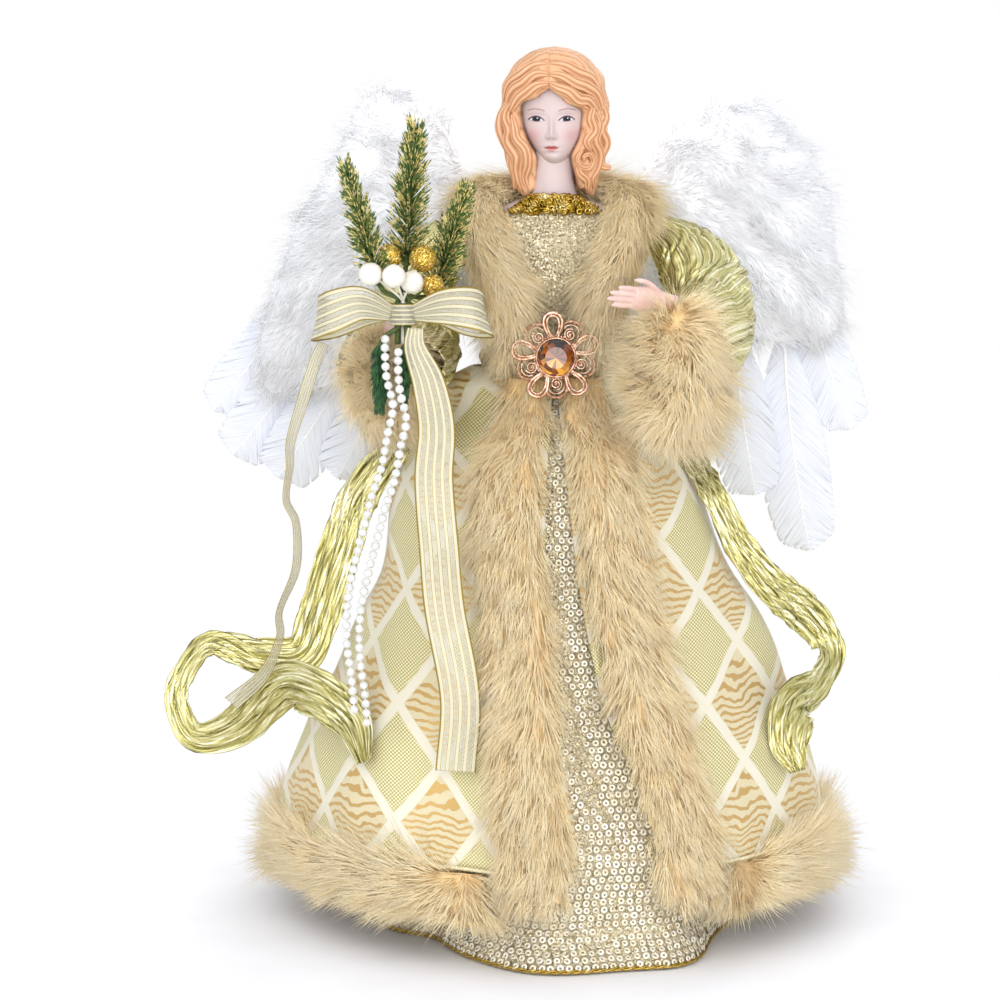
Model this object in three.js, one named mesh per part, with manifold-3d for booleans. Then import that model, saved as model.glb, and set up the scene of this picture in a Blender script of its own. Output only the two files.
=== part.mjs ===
// Christmas angel doll: a standing figure in a fur-trimmed brocade coat over a sequined gown,
// with feather wings, a jewelled brooch, and a bouquet tied with a sheer bow.
// Millimetres, +Z up. The doll faces -Y, and its own left hand is towards +X.

import * as THREE from 'three';
import { mergeVertices } from 'three/addons/utils/BufferGeometryUtils.js';
import Module from 'manifold-3d';

const wasm = await Module();
wasm.setup();

// Driving dimensions

// The figure, and the fit between pieces that touch
const figureHeight = 400;
const waistHeight = 252;
const fitGap = 0.3;
const cutOverrun = 60;
const fullTurn = 360;

// Base board and the card cone that holds the skirts up
const boardRadius = 88;
const boardThickness = 3;
const coneFootRadius = 84;
const coneTopRadius = 24;
const coneDrop = 16;
const coneTop = waistHeight - coneDrop;
const coneWall = 2;

// Foam torso
const torsoLength = 66;
const shoulderHeight = waistHeight + torsoLength;
const neckRise = 16;
const neckHeight = shoulderHeight + neckRise;
const shoulderWidth = 84;
const chestDepth = 50;
const plugRadius = 19;
const plugLength = 22;

// Head and moulded hair, each height from the one below it
const chinRise = 11;
const headTall = 51;
const chinHeight = neckHeight + chinRise;
const headTop = chinHeight + headTall;
const faceWidth = 31;
const headDepth = 38;
const neckRadius = 10.5;
const hairThickness = 4;
const hairFall = 13;
const hairTop = headTop + hairThickness;
const hairEnds = chinHeight - hairFall;
const hairWidth = 51;
const hairDepth = 50;
const hairWave = 1.1;

// Cloth thicknesses, and the gown under the coat
const bodiceCloth = 1.5;
const coatCloth = 2;
const gownCloth = 1.5;
const gownHem = 0.5;
const gownHemRadius = 93;
const gownFrontSlack = 1.2;
const gownRipple = 1.4;
const gownFlare = 12;
const gownFlareHeight = 16;

// Brocade coat skirt
const coatHem = 46;
const coatLap = 1.5;
const coatTop = waistHeight + coatLap;
const coatHemRadius = 124.5;
const coatFold = 3.6;
const coatFolds = 9;

// Trims
const necklineRise = 6;
const necklineHeight = shoulderHeight + necklineRise;
const necklineRadius = 2.1;
const beltHeight = 6;
const beltThickness = 1.5;

// Long-pile fur
const collarHalfWidth = 15;
const collarHalfHeight = 13;
const stripHalfWidth = 17;
const stripPile = 13;
const stripFoot = 30;
const hemPile = 13;
const hemFurFoot = 18;
const hemFurProud = 7;
const hemFurReach = coatHemRadius + hemFurProud;

// Arms: wire, sleeve, cuff and hand
const armLength = 120;
const armWireRadius = 1.1;
const wireBallRadius = 2.2;
const armholeRadius = 5;
const armSwing = 15;
const handLength = 25;
const handWidth = 11;
const handThickness = 6.5;
const cuffLeftSize = [21, 26, 36];
const cuffRightSize = [15, 21, 27];

// Brooch
const broochRadius = 19.5;
const broochRise = 8;
const broochHeight = waistHeight + broochRise;
const broochBack = 44.5;
const bezelRadius = 9;
const bezelDepth = 3.4;
const gemRadius = 8.2;
const gemHeight = 5.2;
const filigreeWire = 0.62;

// Bouquet and its bow; the knot is held a little above the hand
const knotAboveHand = 5.4;
const knotForward = 85;
const knotSide = -67;
const stemWireRadius = 1.1;
const stemGap = 0.4;
const stemFoot = 13;
const needleRadius = 1.2;
const needlePitch = 6.4;
const berryRadius = 5.1;
const glitterBallRadius = 5.6;
const knotWall = 1.4;
const knotLength = 9;
const ribbonWidth = 17;
const ribbonThickness = 0.8;
const beadRadius = 2;

// Sash at the back waist
const sashWidth = 19;
const sashThickness = 3;
const sashKnotSize = [30, 17, 18];
const sashKnotDrop = 3;

// Wings
const wingPivotSide = 14;
const wingPivotBack = 38;
const wingPivotDrop = 20;
const wingPivotHeight = shoulderHeight - wingPivotDrop;
const wingSweep = 12;
const wingReach = 130;
const wingCard = 1.2;
const wingWireRadius = 1;
const downDepth = 14;
const featherWidth = 34;
const vaneThickness = 0.8;
const quillRadius = 0.9;
const wingPlateWidth = 36;
const wingPlateHeight = 30;
const wingPlateThickness = 2;

// General helpers

const at = (x, y, z) => new THREE.Vector3(x, y, z);
const cosine = (degrees) => Math.cos(THREE.MathUtils.degToRad(degrees));
const sine = (degrees) => Math.sin(THREE.MathUtils.degToRad(degrees));
const mix = THREE.MathUtils.lerp;
const smooth = THREE.MathUtils.smoothstep;
const bump = (distance, spread) => Math.exp(-((distance / spread) ** 2));

function evenSteps(low, high, count) {
  return Array.from({ length: count + 1 }, (_, i) => mix(low, high, i / count));
}

// A smooth curve through rows of [place, value, value...]; it gives the values at any place.
function curveThrough(rows) {
  return (place) => {
    let next = 1;
    while (next < rows.length - 1 && rows[next][0] < place) next += 1;
    const here = rows[next - 1];
    const there = rows[next];
    const before = rows[Math.max(next - 2, 0)];
    const after = rows[Math.min(next + 1, rows.length - 1)];
    const span = there[0] - here[0];
    const t = THREE.MathUtils.clamp((place - here[0]) / span, 0, 1);
    return here.slice(1).map((start, k) => {
      const end = there[k + 1];
      const leave = ((end - before[k + 1]) / (there[0] - before[0])) * span;
      const arrive = ((after[k + 1] - start) / (after[0] - here[0])) * span;
      const t2 = t * t;
      const t3 = t2 * t;
      return start * (2 * t3 - 3 * t2 + 1) + leave * (t3 - 2 * t2 + t)
        + end * (3 * t2 - 2 * t3) + arrive * (t3 - t2);
    });
  };
}

// Turns a closed surface right side out where its faces point inwards.
function facingOut(geometry) {
  const position = geometry.getAttribute('position');
  const index = geometry.getIndex();
  let volume = 0;
  const [a, b, c] = [at(0, 0, 0), at(0, 0, 0), at(0, 0, 0)];
  for (let i = 0; i < index.count; i += 3) {
    a.fromBufferAttribute(position, index.getX(i));
    b.fromBufferAttribute(position, index.getX(i + 1));
    c.fromBufferAttribute(position, index.getX(i + 2));
    volume += a.dot(b.cross(c));
  }
  if (volume < 0) {
    for (let i = 0; i < index.count; i += 3) {
      const swap = index.getX(i);
      index.setX(i, index.getX(i + 1));
      index.setX(i + 1, swap);
    }
  }
  return geometry;
}

// A closed skin over rings of points. The ends are fans, or strips on a thin open panel, or the
// last ring joins the first, as on a hollow sleeve. Each cell is split along its shorter diagonal,
// so that skins over the same form keep their gap all over.
function skin(rings, ends = 'fan') {
  const sides = rings[0].length;
  const points = rings.flat();
  const faces = [];
  const quad = (a, b, c, d) => {
    const shorter = points[a].distanceTo(points[d]) <= points[b].distanceTo(points[c]);
    faces.push(...(shorter ? [a, b, d, a, d, c] : [a, b, c, b, d, c]));
  };
  const spans = ends === 'joined' ? rings.length : rings.length - 1;
  for (let i = 0; i < spans; i += 1) {
    const below = i * sides;
    const above = ((i + 1) % rings.length) * sides;
    for (let j = 0; j < sides; j += 1) {
      const next = (j + 1) % sides;
      quad(below + j, below + next, above + j, above + next);
    }
  }
  const last = (rings.length - 1) * sides;
  if (ends === 'fan') {
    const foot = points.length;
    points.push(centreOf(rings[0]), centreOf(rings[rings.length - 1]));
    for (let j = 0; j < sides; j += 1) {
      const next = (j + 1) % sides;
      faces.push(foot, next, j, foot + 1, last + j, last + next);
    }
  }
  if (ends === 'strip') {
    for (let j = 0; j < sides / 2 - 1; j += 1) {
      const across = sides - 1 - j;
      quad(j, across, j + 1, across - 1);
      quad(last + j, last + j + 1, last + across, last + across - 1);
    }
  }
  const geometry = new THREE.BufferGeometry();
  geometry.setAttribute('position', new THREE.Float32BufferAttribute(points.flatMap((p) => p.toArray()), 3));
  geometry.setIndex(faces);
  return facingOut(geometry);
}

function centreOf(ring) {
  return ring.reduce((sum, p) => sum.add(p), at(0, 0, 0)).divideScalar(ring.length);
}

// Solids that can be joined and cut
function solid(geometry) {
  const bare = geometry.clone();
  bare.deleteAttribute('normal');
  bare.deleteAttribute('uv');
  const merged = mergeVertices(bare);
  return new wasm.Manifold(new wasm.Mesh({
    numProp: 3,
    vertProperties: Float32Array.from(merged.getAttribute('position').array),
    triVerts: Uint32Array.from(merged.getIndex().array),
  }));
}

function geometryOf(body) {
  const mesh = body.getMesh();
  const geometry = new THREE.BufferGeometry();
  geometry.setAttribute('position', new THREE.BufferAttribute(Float32Array.from(mesh.vertProperties), 3));
  geometry.setIndex(new THREE.BufferAttribute(Uint32Array.from(mesh.triVerts), 1));
  return geometry;
}

const joined = (bodies) => bodies.reduce((sum, body) => sum.add(body));
const without = (body, cutters) => cutters.reduce((rest, cutter) => rest.subtract(cutter), body);

// Only the largest separate body of a cut solid, without its crumbs
function mainBody(body) {
  const bodies = body.decompose();
  return bodies.reduce((best, one) => (one.volume() > best.volume() ? one : best));
}

function blockBetween(low, high) {
  const box = new THREE.BoxGeometry(high.x - low.x, high.y - low.y, high.z - low.z);
  box.translate((low.x + high.x) / 2, (low.y + high.y) / 2, (low.z + high.z) / 2);
  return box;
}

function rodAlong(start, end, radius, sides = 12) {
  const rod = new THREE.CylinderGeometry(radius, radius, start.distanceTo(end), sides);
  const turn = new THREE.Quaternion().setFromUnitVectors(at(0, 1, 0), end.clone().sub(start).normalize());
  rod.applyQuaternion(turn);
  const middle = start.clone().lerp(end, 0.5);
  return rod.translate(middle.x, middle.y, middle.z);
}

function ball(centre, radius, sides = 12) {
  const sphere = new THREE.SphereGeometry(radius, sides, Math.round(sides * 0.7));
  return sphere.translate(centre.x, centre.y, centre.z);
}

// A round wire or cord along a smooth path
function wireAlong(route, radius, sides = 8, steps = 24) {
  const section = new THREE.Shape();
  for (let i = 0; i < sides; i += 1) {
    const turn = (fullTurn * i) / sides;
    if (i === 0) section.moveTo(radius, 0);
    else section.lineTo(radius * cosine(turn), radius * sine(turn));
  }
  section.closePath();
  const extrudePath = new THREE.CatmullRomCurve3(route);
  return new THREE.ExtrudeGeometry(section, { steps, extrudePath, bevelEnabled: false });
}

// A form swept along a path. Each row of sizes is [share of the path, half width, half height, twist
// in degrees]; four sides make a flat band. The width lies across the path and the given up direction.
function sweep(route, sizes, { sides = 12, stations = 14, up = at(0, 0, 1), grow = 0 } = {}) {
  const path = new THREE.CatmullRomCurve3(route);
  const sizeAt = curveThrough(sizes);
  const rings = [];
  for (let i = 0; i <= stations; i += 1) {
    const share = i / stations;
    const centre = path.getPointAt(share);
    const along = path.getTangentAt(share);
    const across = along.clone().cross(up).normalize();
    const over = across.clone().cross(along).normalize();
    const [halfWidth, halfHeight, twist = 0] = sizeAt(share);
    const ring = [];
    for (let j = 0; j < sides; j += 1) {
      const turn = (fullTurn * (j + (sides === 4 ? 0.5 : 0))) / sides;
      const corner = sides === 4 ? Math.SQRT2 : 1;
      const w = (halfWidth + grow) * cosine(turn) * corner;
      const h = (halfHeight + grow) * sine(turn) * corner;
      ring.push(centre.clone()
        .addScaledVector(across, w * cosine(twist) - h * sine(twist))
        .addScaledVector(over, w * sine(twist) + h * cosine(twist)));
    }
    rings.push(ring);
  }
  return skin(rings);
}

// An egg-shaped form with its own three half sizes, its first axis turned along a direction
function egg(centre, halfSizes, along, grow = 0, sides = 12) {
  const form = new THREE.SphereGeometry(1, sides, Math.round(sides * 0.7));
  form.scale(halfSizes[1] + grow, halfSizes[2] + grow, halfSizes[0] + grow);
  const depth = along.clone().normalize();
  const across = at(0, 0, 1).cross(depth).normalize();
  const over = depth.clone().cross(across);
  form.applyMatrix4(new THREE.Matrix4().makeBasis(across, over, depth));
  return form.translate(centre.x, centre.y, centre.z);
}

// Finishes, in the colours of the real pieces
function finish(color, roughness, metalness = 0) {
  return new THREE.MeshStandardMaterial({ color, roughness, metalness });
}

const finishes = {
  card: finish('#B9A27C', 0.9),
  foam: finish('#EFEDE6', 0.9),
  bisque: finish('#E3D3D2', 0.55),
  hair: finish('#F0BC84', 0.55),
  glitterCloth: finish('#D8C08A', 0.45, 0.3),
  sequins: finish('#E2D3A6', 0.25, 0.6),
  goldTrim: finish('#C9A02E', 0.35, 0.8),
  brocade: finish('#E6D9A6', 0.6, 0.15),
  lame: finish('#C8B555', 0.3, 0.8),
  fur: finish('#E6CF9C', 0.95),
  wire: finish('#9A9A94', 0.45, 0.9),
  roseGold: finish('#C98F5E', 0.3, 0.95),
  amber: finish('#A85C0C', 0.1),
  needles: finish('#5F6B3A', 0.7),
  glitterGold: finish('#C9A12F', 0.35, 0.7),
  pearl: finish('#F2EFE6', 0.25),
  ribbon: finish('#E9E0BC', 0.5, 0.2),
  down: finish('#F4F4F6', 0.95),
  feather: finish('#F1F2F5', 0.7),
};

const doll = new THREE.Group();

function addPart(name, geometry, material, parent = doll) {
  const mesh = new THREE.Mesh(geometry, material);
  mesh.name = name;
  parent.add(mesh);
  return mesh;
}

// Body form: an oval section at each height, as shares of the shoulder width and the chest depth.
// Rows are [height share from waist to shoulder, half width share, half depth share, centre share].
const bodyShares = [
  [-0.4, 0.58, 0.86, 0],
  [0, 0.61, 0.84, 0],
  [0.28, 0.67, 0.92, 0],
  [0.58, 0.78, 1, -0.03],
  [0.74, 0.9, 0.98, -0.02],
  [0.88, 0.98, 0.88, 0.02],
  [1, 1, 0.76, 0.07],
  [1.09, 0.81, 0.64, 0.1],
  [1.18, 0.48, 0.52, 0.1],
  [1.242, 0.262, 0.44, 0.08],
];
const bodyAt = curveThrough(bodyShares);

function bodyRing(height, clearance, sides = bodySides) {
  const share = (height - waistHeight) / (shoulderHeight - waistHeight);
  const [width, depth, centre] = bodyAt(share);
  const ring = [];
  for (let i = 0; i < sides; i += 1) {
    const turn = (fullTurn * i) / sides;
    ring.push(at(
      ((width * shoulderWidth) / 2 + clearance) * sine(turn),
      (centre * chestDepth) / 2 - ((depth * chestDepth) / 2 + clearance) * cosine(turn),
      height,
    ));
  }
  return ring;
}

// The levels between two heights at which all the shells over the body have their rings
const bodySides = 20;
const bodiceTopShare = 1.05;
const bodyLevelShares = [-0.2, 0, 0.35, 0.65, 0.86, 1, bodiceTopShare, 1.12];

function bodyLevels(low, high) {
  const levels = bodyLevelShares.map((share) => waistHeight + share * (shoulderHeight - waistHeight));
  const least = (shoulderHeight - waistHeight) * 0.02;
  return [low, ...levels.filter((height) => height > low + least && height < high - least), high];
}

function bodyForm(low, high, clearance) {
  return skin(bodyLevels(low, high).map((height) => bodyRing(height, clearance)));
}

function bodyShell(low, high, inside, outside) {
  const levels = bodyLevels(low, high);
  return skin([
    ...levels.map((height) => bodyRing(height, outside)),
    ...levels.reverse().map((height) => bodyRing(height, inside)),
  ], 'joined');
}

// Base board and card cone
function baseBoard() {
  const disc = new THREE.CylinderGeometry(boardRadius, boardRadius, boardThickness, 24);
  return disc.rotateX(Math.PI / 2).translate(0, 0, boardThickness / 2);
}

function coneFormer() {
  const foot = boardThickness + fitGap;
  const profile = [
    [coneFootRadius - coneWall, foot],
    [coneFootRadius, foot],
    [coneTopRadius, coneTop],
    [coneTopRadius - coneWall, coneTop],
    [coneFootRadius - coneWall, foot],
  ];
  const outline = profile.map(([radius, height]) => new THREE.Vector2(radius, height));
  const cone = new THREE.LatheGeometry(outline, 18);
  return geometryOf(solid(facingOut(mergeVertices(stripped(cone)).rotateX(Math.PI / 2))));
}

function stripped(geometry) {
  geometry.deleteAttribute('normal');
  geometry.deleteAttribute('uv');
  return geometry;
}

// Foam torso: the body form down to the cone's top, with a plug that stands in the cone
function torsoBlock() {
  const seat = coneTop + fitGap;
  const plug = skin([seat - plugLength, seat + plugLength / 2].map((height) => Array.from(
    { length: 16 },
    (_, i) => at(plugRadius * sine(22.5 * i), -plugRadius * cosine(22.5 * i), height),
  )));
  return geometryOf(solid(bodyForm(seat, shoulderHeight - fitGap, 0)).add(solid(plug)));
}

// Head: a cast bust with its shoulder plate. Rows of the skull are [height share from chin to top,
// half width share, face depth share, back depth share].
const skullShares = [
  [-0.045, 0.5, 0.3, 0.36],
  [0, 0.56, 0.62, 0.52],
  [0.07, 0.72, 0.78, 0.66],
  [0.18, 0.9, 0.85, 0.8],
  [0.34, 1, 0.88, 0.92],
  [0.52, 1.1, 0.9, 1],
  [0.7, 1.12, 0.86, 1],
  [0.84, 0.98, 0.7, 0.86],
  [0.94, 0.66, 0.44, 0.56],
  [1, 0.14, 0.06, 0.1],
];
const skullAt = curveThrough(skullShares);

// How far the features stand out of the smooth face: nose, sockets, eyes, cheeks, lips and chin.
// Rows are [side share of the face width, height share, spread across, spread up, relief share].
const faceFeatureShares = [
  [0, 0.27, 0.075, 0.04, 0.105],
  [0, 0.35, 0.05, 0.1, 0.075],
  [0.06, 0.235, 0.05, 0.025, 0.03],
  [-0.06, 0.235, 0.05, 0.025, 0.03],
  [0.22, 0.425, 0.12, 0.055, -0.05],
  [-0.22, 0.425, 0.12, 0.055, -0.05],
  [0.22, 0.42, 0.08, 0.03, 0.03],
  [-0.22, 0.42, 0.08, 0.03, 0.03],
  [0.29, 0.25, 0.14, 0.11, 0.026],
  [-0.29, 0.25, 0.14, 0.11, 0.026],
  [0, 0.155, 0.12, 0.018, 0.04],
  [0, 0.118, 0.1, 0.02, 0.045],
  [0, 0.136, 0.14, 0.009, -0.03],
  [0, 0.045, 0.16, 0.05, 0.045],
];

function faceRelief(x, heightShare) {
  return faceFeatureShares.reduce((sum, [side, height, across, upward, relief]) => (
    sum + relief * headDepth * bump(x / faceWidth - side, across) * bump(heightShare - height, upward)
  ), 0);
}

function headRing(height, clearance, sides) {
  const share = (height - chinHeight) / (headTop - chinHeight);
  const [width, face, back] = skullAt(share);
  const ring = [];
  for (let i = 0; i < sides; i += 1) {
    const even = (i / sides) * 2 - 1;
    const turn = 180 * even * (0.55 + 0.45 * even * even);
    const half = cosine(turn) > 0 ? face : back;
    const x = ((width * faceWidth) / 2 + clearance) * sine(turn);
    const relief = cosine(turn) > 0 ? faceRelief(x, share) * cosine(turn) : 0;
    ring.push(at(x, -((half * headDepth) / 2 + clearance + relief) * cosine(turn), height));
  }
  return ring;
}

function skullForm(clearance) {
  const heights = evenSteps(chinHeight, headTop + clearance, 14);
  const jawUnder = chinHeight + (headTop - chinHeight) * skullShares[0][0];
  return skin([jawUnder, ...heights].map((height) => headRing(height, clearance, 22)));
}

function neckForm(clearance) {
  return rodAlong(
    at(0, neckRadius * 0.2, shoulderHeight + neckRadius),
    at(0, 0, chinHeight + neckRadius),
    neckRadius + clearance,
    20,
  );
}

function headBust() {
  const plate = bodyForm(shoulderHeight, neckHeight, 0);
  return geometryOf(joined([solid(skullForm(0)), solid(neckForm(0)), solid(plate)]));
}

// Moulded hair: waves in rows of [height share from the ends to the top, half width share,
// front depth share, back depth share], cut open over the face and the neck.
const hairShares = [
  [0, 0.7, 0.28, 0.44],
  [0.1, 0.86, 0.4, 0.66],
  [0.3, 0.98, 0.56, 0.86],
  [0.5, 1, 0.7, 0.98],
  [0.7, 0.96, 0.82, 1],
  [0.84, 0.8, 0.74, 0.9],
  [0.94, 0.52, 0.5, 0.6],
  [1, 0.1, 0.1, 0.12],
];
const hairAt = curveThrough(hairShares);

function hairForm(clearance) {
  const sides = clearance ? 12 : 20;
  return skin(evenSteps(hairEnds - clearance, hairTop + clearance, clearance ? 5 : 9).map((height) => {
    const share = (height - hairEnds) / (hairTop - hairEnds);
    const [width, front, back] = hairAt(share);
    return Array.from({ length: sides }, (_, i) => {
      const turn = (fullTurn * i) / sides;
      const wave = hairWave * sine(turn * 8 + 620 * share) * Math.min(1, 4 * (1 - share));
      const grow = clearance ? clearance + hairWave * 3 : wave;
      const depth = cosine(turn) > 0 ? front : back;
      return at(
        ((width * hairWidth) / 2 + grow) * sine(turn),
        -((depth * hairDepth) / 2 + grow) * cosine(turn),
        height,
      );
    });
  }));
}

// The opening that the hair leaves over the face: [side share of the face width, height share]
const faceOpeningShares = [
  [-0.33, -0.4], [-0.36, 0], [-0.47, 0.13], [-0.5, 0.43], [-0.42, 0.62], [-0.16, 0.75],
  [-0.03, 0.72], [0.16, 0.75], [0.4, 0.65], [0.5, 0.43], [0.48, 0.13], [0.37, 0], [0.36, -0.4],
];

function faceOpening() {
  const outline = faceOpeningShares.map(([side, height]) => new THREE.Vector2(
    side * faceWidth,
    chinHeight + height * (headTop - chinHeight),
  ));
  const shape = new THREE.Shape(outline);
  const cutter = new THREE.ExtrudeGeometry(shape, { depth: headDepth, bevelEnabled: false });
  return cutter.rotateX(Math.PI / 2);
}

function mouldedHair() {
  const shoulders = bodyForm(shoulderHeight, neckHeight + fitGap, fitGap);
  return geometryOf(mainBody(without(solid(hairForm(0)), [
    skullForm(fitGap), neckForm(fitGap), faceOpening(), shoulders,
  ].map(solid))));
}

// Bodice and upper coat: shells over the body form, with holes where the arm wires come out
const armOut = shoulderWidth / 2 + fitGap + wireBallRadius;
const armPivot = (side) => at(side * armOut, 0, shoulderHeight - wireBallRadius);

function armhole(side) {
  const pivot = armPivot(side);
  return solid(rodAlong(
    at(pivot.x - side * armholeRadius * 1.5, pivot.y, pivot.z),
    at(pivot.x + side * armholeRadius * 3, pivot.y, pivot.z),
    armholeRadius,
    8,
  ));
}

const bodiceInside = fitGap;
const bodiceOutside = bodiceInside + bodiceCloth;
const coatInside = bodiceOutside + fitGap;
const coatOutside = coatInside + coatCloth;
const bodiceTop = mix(waistHeight, shoulderHeight, bodiceTopShare);

function bodice() {
  const shell = bodyShell(waistHeight, bodiceTop, bodiceInside, bodiceOutside);
  return geometryOf(without(solid(shell), [armhole(1), armhole(-1)]));
}

// The upper coat is open down the front, wider at the neck than at the waist.
const upperCoatTop = neckHeight - fitGap * 10;
const openWaistShare = 0.12;
const openNeckShare = 0.4;

function frontOpening() {
  const below = waistHeight - coatCloth;
  const above = neckHeight + coatCloth;
  const corner = (side, share, height) => new THREE.Vector2((side * share * shoulderWidth) / 2, height);
  const outline = new THREE.Shape([
    corner(-1, openWaistShare, below), corner(1, openWaistShare, below),
    corner(1, openNeckShare, above), corner(-1, openNeckShare, above),
  ]);
  const cutter = new THREE.ExtrudeGeometry(outline, { depth: chestDepth, bevelEnabled: false });
  return cutter.rotateX(Math.PI / 2);
}

function upperCoat() {
  const shell = bodyShell(waistHeight, upperCoatTop, coatInside, coatOutside);
  return geometryOf(mainBody(without(solid(shell), [
    solid(frontOpening()), armhole(1), armhole(-1), solid(necklineTrim(fitGap)),
  ])));
}

// Neckline trim across the front of the bust, and the narrow trim round the waist
function necklineTrim(clearance = 0) {
  const reach = (bodiceInside + necklineRadius) * 1.5;
  const ring = bodyRing(necklineHeight, reach, 36);
  const front = [...ring.slice(-5), ...ring.slice(0, 6)];
  return wireAlong(front, necklineRadius + clearance, 6, 10);
}

function waistBelt() {
  const bottom = waistHeight + coatCloth + fitGap;
  const inside = coatOutside + 2 * fitGap;
  return bodyShell(bottom, bottom + beltHeight, inside, inside + beltThickness);
}

// Coat skirt: its unfolded radius at each height, as shares of the hem radius and of the height
// from the floor to the waist. Angles are degrees from the front towards the doll's left.
const coatRadiusShares = [
  [0, 0.98], [0.18, 1], [0.36, 0.9], [0.44, 0.803], [0.55, 0.71], [0.63, 0.63], [0.76, 0.55],
  [0.87, 0.43], [0.94, 0.33], [1, 0.262],
];
const coatRadiusAt = curveThrough(coatRadiusShares);
const coatOpenLeftShares = [[0, 26], [0.27, 20], [0.43, 12], [0.76, 5], [1, 2]];
const coatOpenRightShares = [[0, 5], [0.27, 3], [0.43, -1], [0.76, -4], [1, -2]];
const coatOpenLeft = curveThrough(coatOpenLeftShares);
const coatOpenRight = curveThrough(coatOpenRightShares);

const skirtShare = (height) => height / coatTop;
const skirtLevelShares = [0, 0.18, 0.33, 0.48, 0.63, 0.77, 0.87, 0.94];

// The levels at which the coat, the gown and the fur have their rings
function skirtLevels(low, high) {
  const least = coatTop * 0.02;
  const levels = skirtLevelShares.map((share) => share * coatTop);
  return [low, ...levels.filter((height) => height > low + least && height < high - least), high];
}

const foldDepth = (height) => coatFold * smooth(coatTop - height, 0, coatTop - coatHem);
const waistBlend = (height) => smooth(height, coatTop * 0.86, coatTop);

// Half sizes of the plain oval that the coat's inner face follows at a height
function coatOval(height) {
  const [share] = coatRadiusAt(skirtShare(height));
  const round = share * coatHemRadius;
  const [width, depth] = bodyAt(0);
  const near = coatOutside + fitGap;
  const blend = waistBlend(height);
  return [
    mix(round - coatCloth, (width * shoulderWidth) / 2 + near, blend),
    mix(round - coatCloth, (depth * chestDepth) / 2 + near, blend),
  ];
}

function skirtPoint(height, turn, clearance) {
  const [halfWidth, halfDepth] = coatOval(height);
  return at((halfWidth + clearance) * sine(turn), -(halfDepth + clearance) * cosine(turn), height);
}

const coatFoldAt = (height, turn) => foldDepth(height) * (cosine(turn * coatFolds + 40) - 1) * 0.5
  + foldDepth(height);

function coatSkirt() {
  const columns = 36;
  const rings = skirtLevels(coatHem, coatTop).map((height) => {
    const share = skirtShare(height);
    const start = coatOpenLeft(share)[0];
    const end = fullTurn + coatOpenRight(share)[0];
    const place = (i, clearance) => {
      const turn = mix(start, end, i / columns);
      return skirtPoint(height, turn, clearance + coatFoldAt(height, turn));
    };
    const steps = Array.from({ length: columns + 1 }, (_, i) => i);
    return [...steps.map((i) => place(i, coatCloth)), ...steps.reverse().map((i) => place(i, 0))];
  });
  return geometryOf(solid(skin(rings, 'strip')));
}

// Gown under the coat: near the cone at the sides and back, and out to the coat's opening in front,
// where the hem runs forward as a tongue and flares out at its foot.
const gownTongueAngle = 8.5;
const gownTongueInner = 12;
const gownTongueOuter = 46;

function gownPoint(height, turn, inward) {
  const [width, depth] = bodyAt(0);
  const share = (height - gownHem) / (waistHeight - gownHem);
  const near = bodiceInside + gownCloth;
  const sideX = mix(gownHemRadius, (width * shoulderWidth) / 2 + near, share);
  const sideY = mix(gownHemRadius, (depth * chestDepth) / 2 + near, share);
  const [frontX, frontY] = coatOval(Math.min(height, coatTop));
  const away = Math.abs(((turn - gownTongueAngle + fullTurn * 1.5) % fullTurn) - fullTurn / 2);
  const forward = 1 - smooth(away, gownTongueInner, gownTongueOuter);
  const ripple = gownRipple * foldDepth(height) / coatFold * cosine(turn * 14);
  const flare = gownFlare * (1 - smooth(height, gownHem, gownFlareHeight)) - gownFrontSlack - gownRipple;
  const spread = (side, front) => mix(side, front + flare, forward) + ripple - inward;
  return at(spread(sideX, frontX) * sine(turn), -spread(sideY, frontY) * cosine(turn), height);
}

function underskirt() {
  const sides = 28;
  const above = skirtLevels(gownFlareHeight, waistHeight - fitGap);
  const heights = [gownHem, ...above];
  const ring = (height, inward) => Array.from(
    { length: sides },
    (_, i) => gownPoint(height, (fullTurn * i) / sides, inward),
  );
  return geometryOf(solid(skin([
    ...heights.map((height) => ring(height, 0)),
    ...heights.reverse().map((height) => ring(height, gownCloth)),
  ], 'joined')));
}

// Fur: each band is a thick crowned strip on the coat. Rows of a strip's course are
// [height share, degrees from the front].
const stripLeftShares = [[0, 26.5], [0.27, 24.5], [0.43, 22], [0.76, 19.5], [0.9, 24], [1, 29]];
const stripRightShares = [[0, -3.5], [0.27, -5], [0.43, -8], [0.76, -17], [0.9, -24], [1, -29]];

const coatFace = (height) => coatCloth + foldDepth(height) + fitGap;

function furStrip(courseShares, grow = 0) {
  const course = curveThrough(courseShares);
  const columns = grow ? 4 : 6;
  const top = coatTop - fitGap;
  const rings = skirtLevels(stripFoot, top).map((height) => {
    const [centre] = course(skirtShare(height));
    const [halfWidth] = coatOval(height);
    const half = THREE.MathUtils.radToDeg((stripHalfWidth + grow) / (halfWidth + coatFace(height)));
    const wide = mix(half, half * 0.62, waistBlend(height));
    const place = (i, crowned) => {
      const across = (2 * i) / columns - 1;
      const crown = 0.25 + 0.75 * Math.sqrt(Math.max(0, 1 - across ** 4));
      return skirtPoint(
        height,
        centre + across * wide,
        coatFace(height) + (crowned ? crown * stripPile + grow : -grow),
      );
    };
    const steps = Array.from({ length: columns + 1 }, (_, i) => i);
    return [...steps.map((i) => place(i, true)), ...steps.reverse().map((i) => place(i, false))];
  });
  return skin(rings, 'strip');
}

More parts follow.
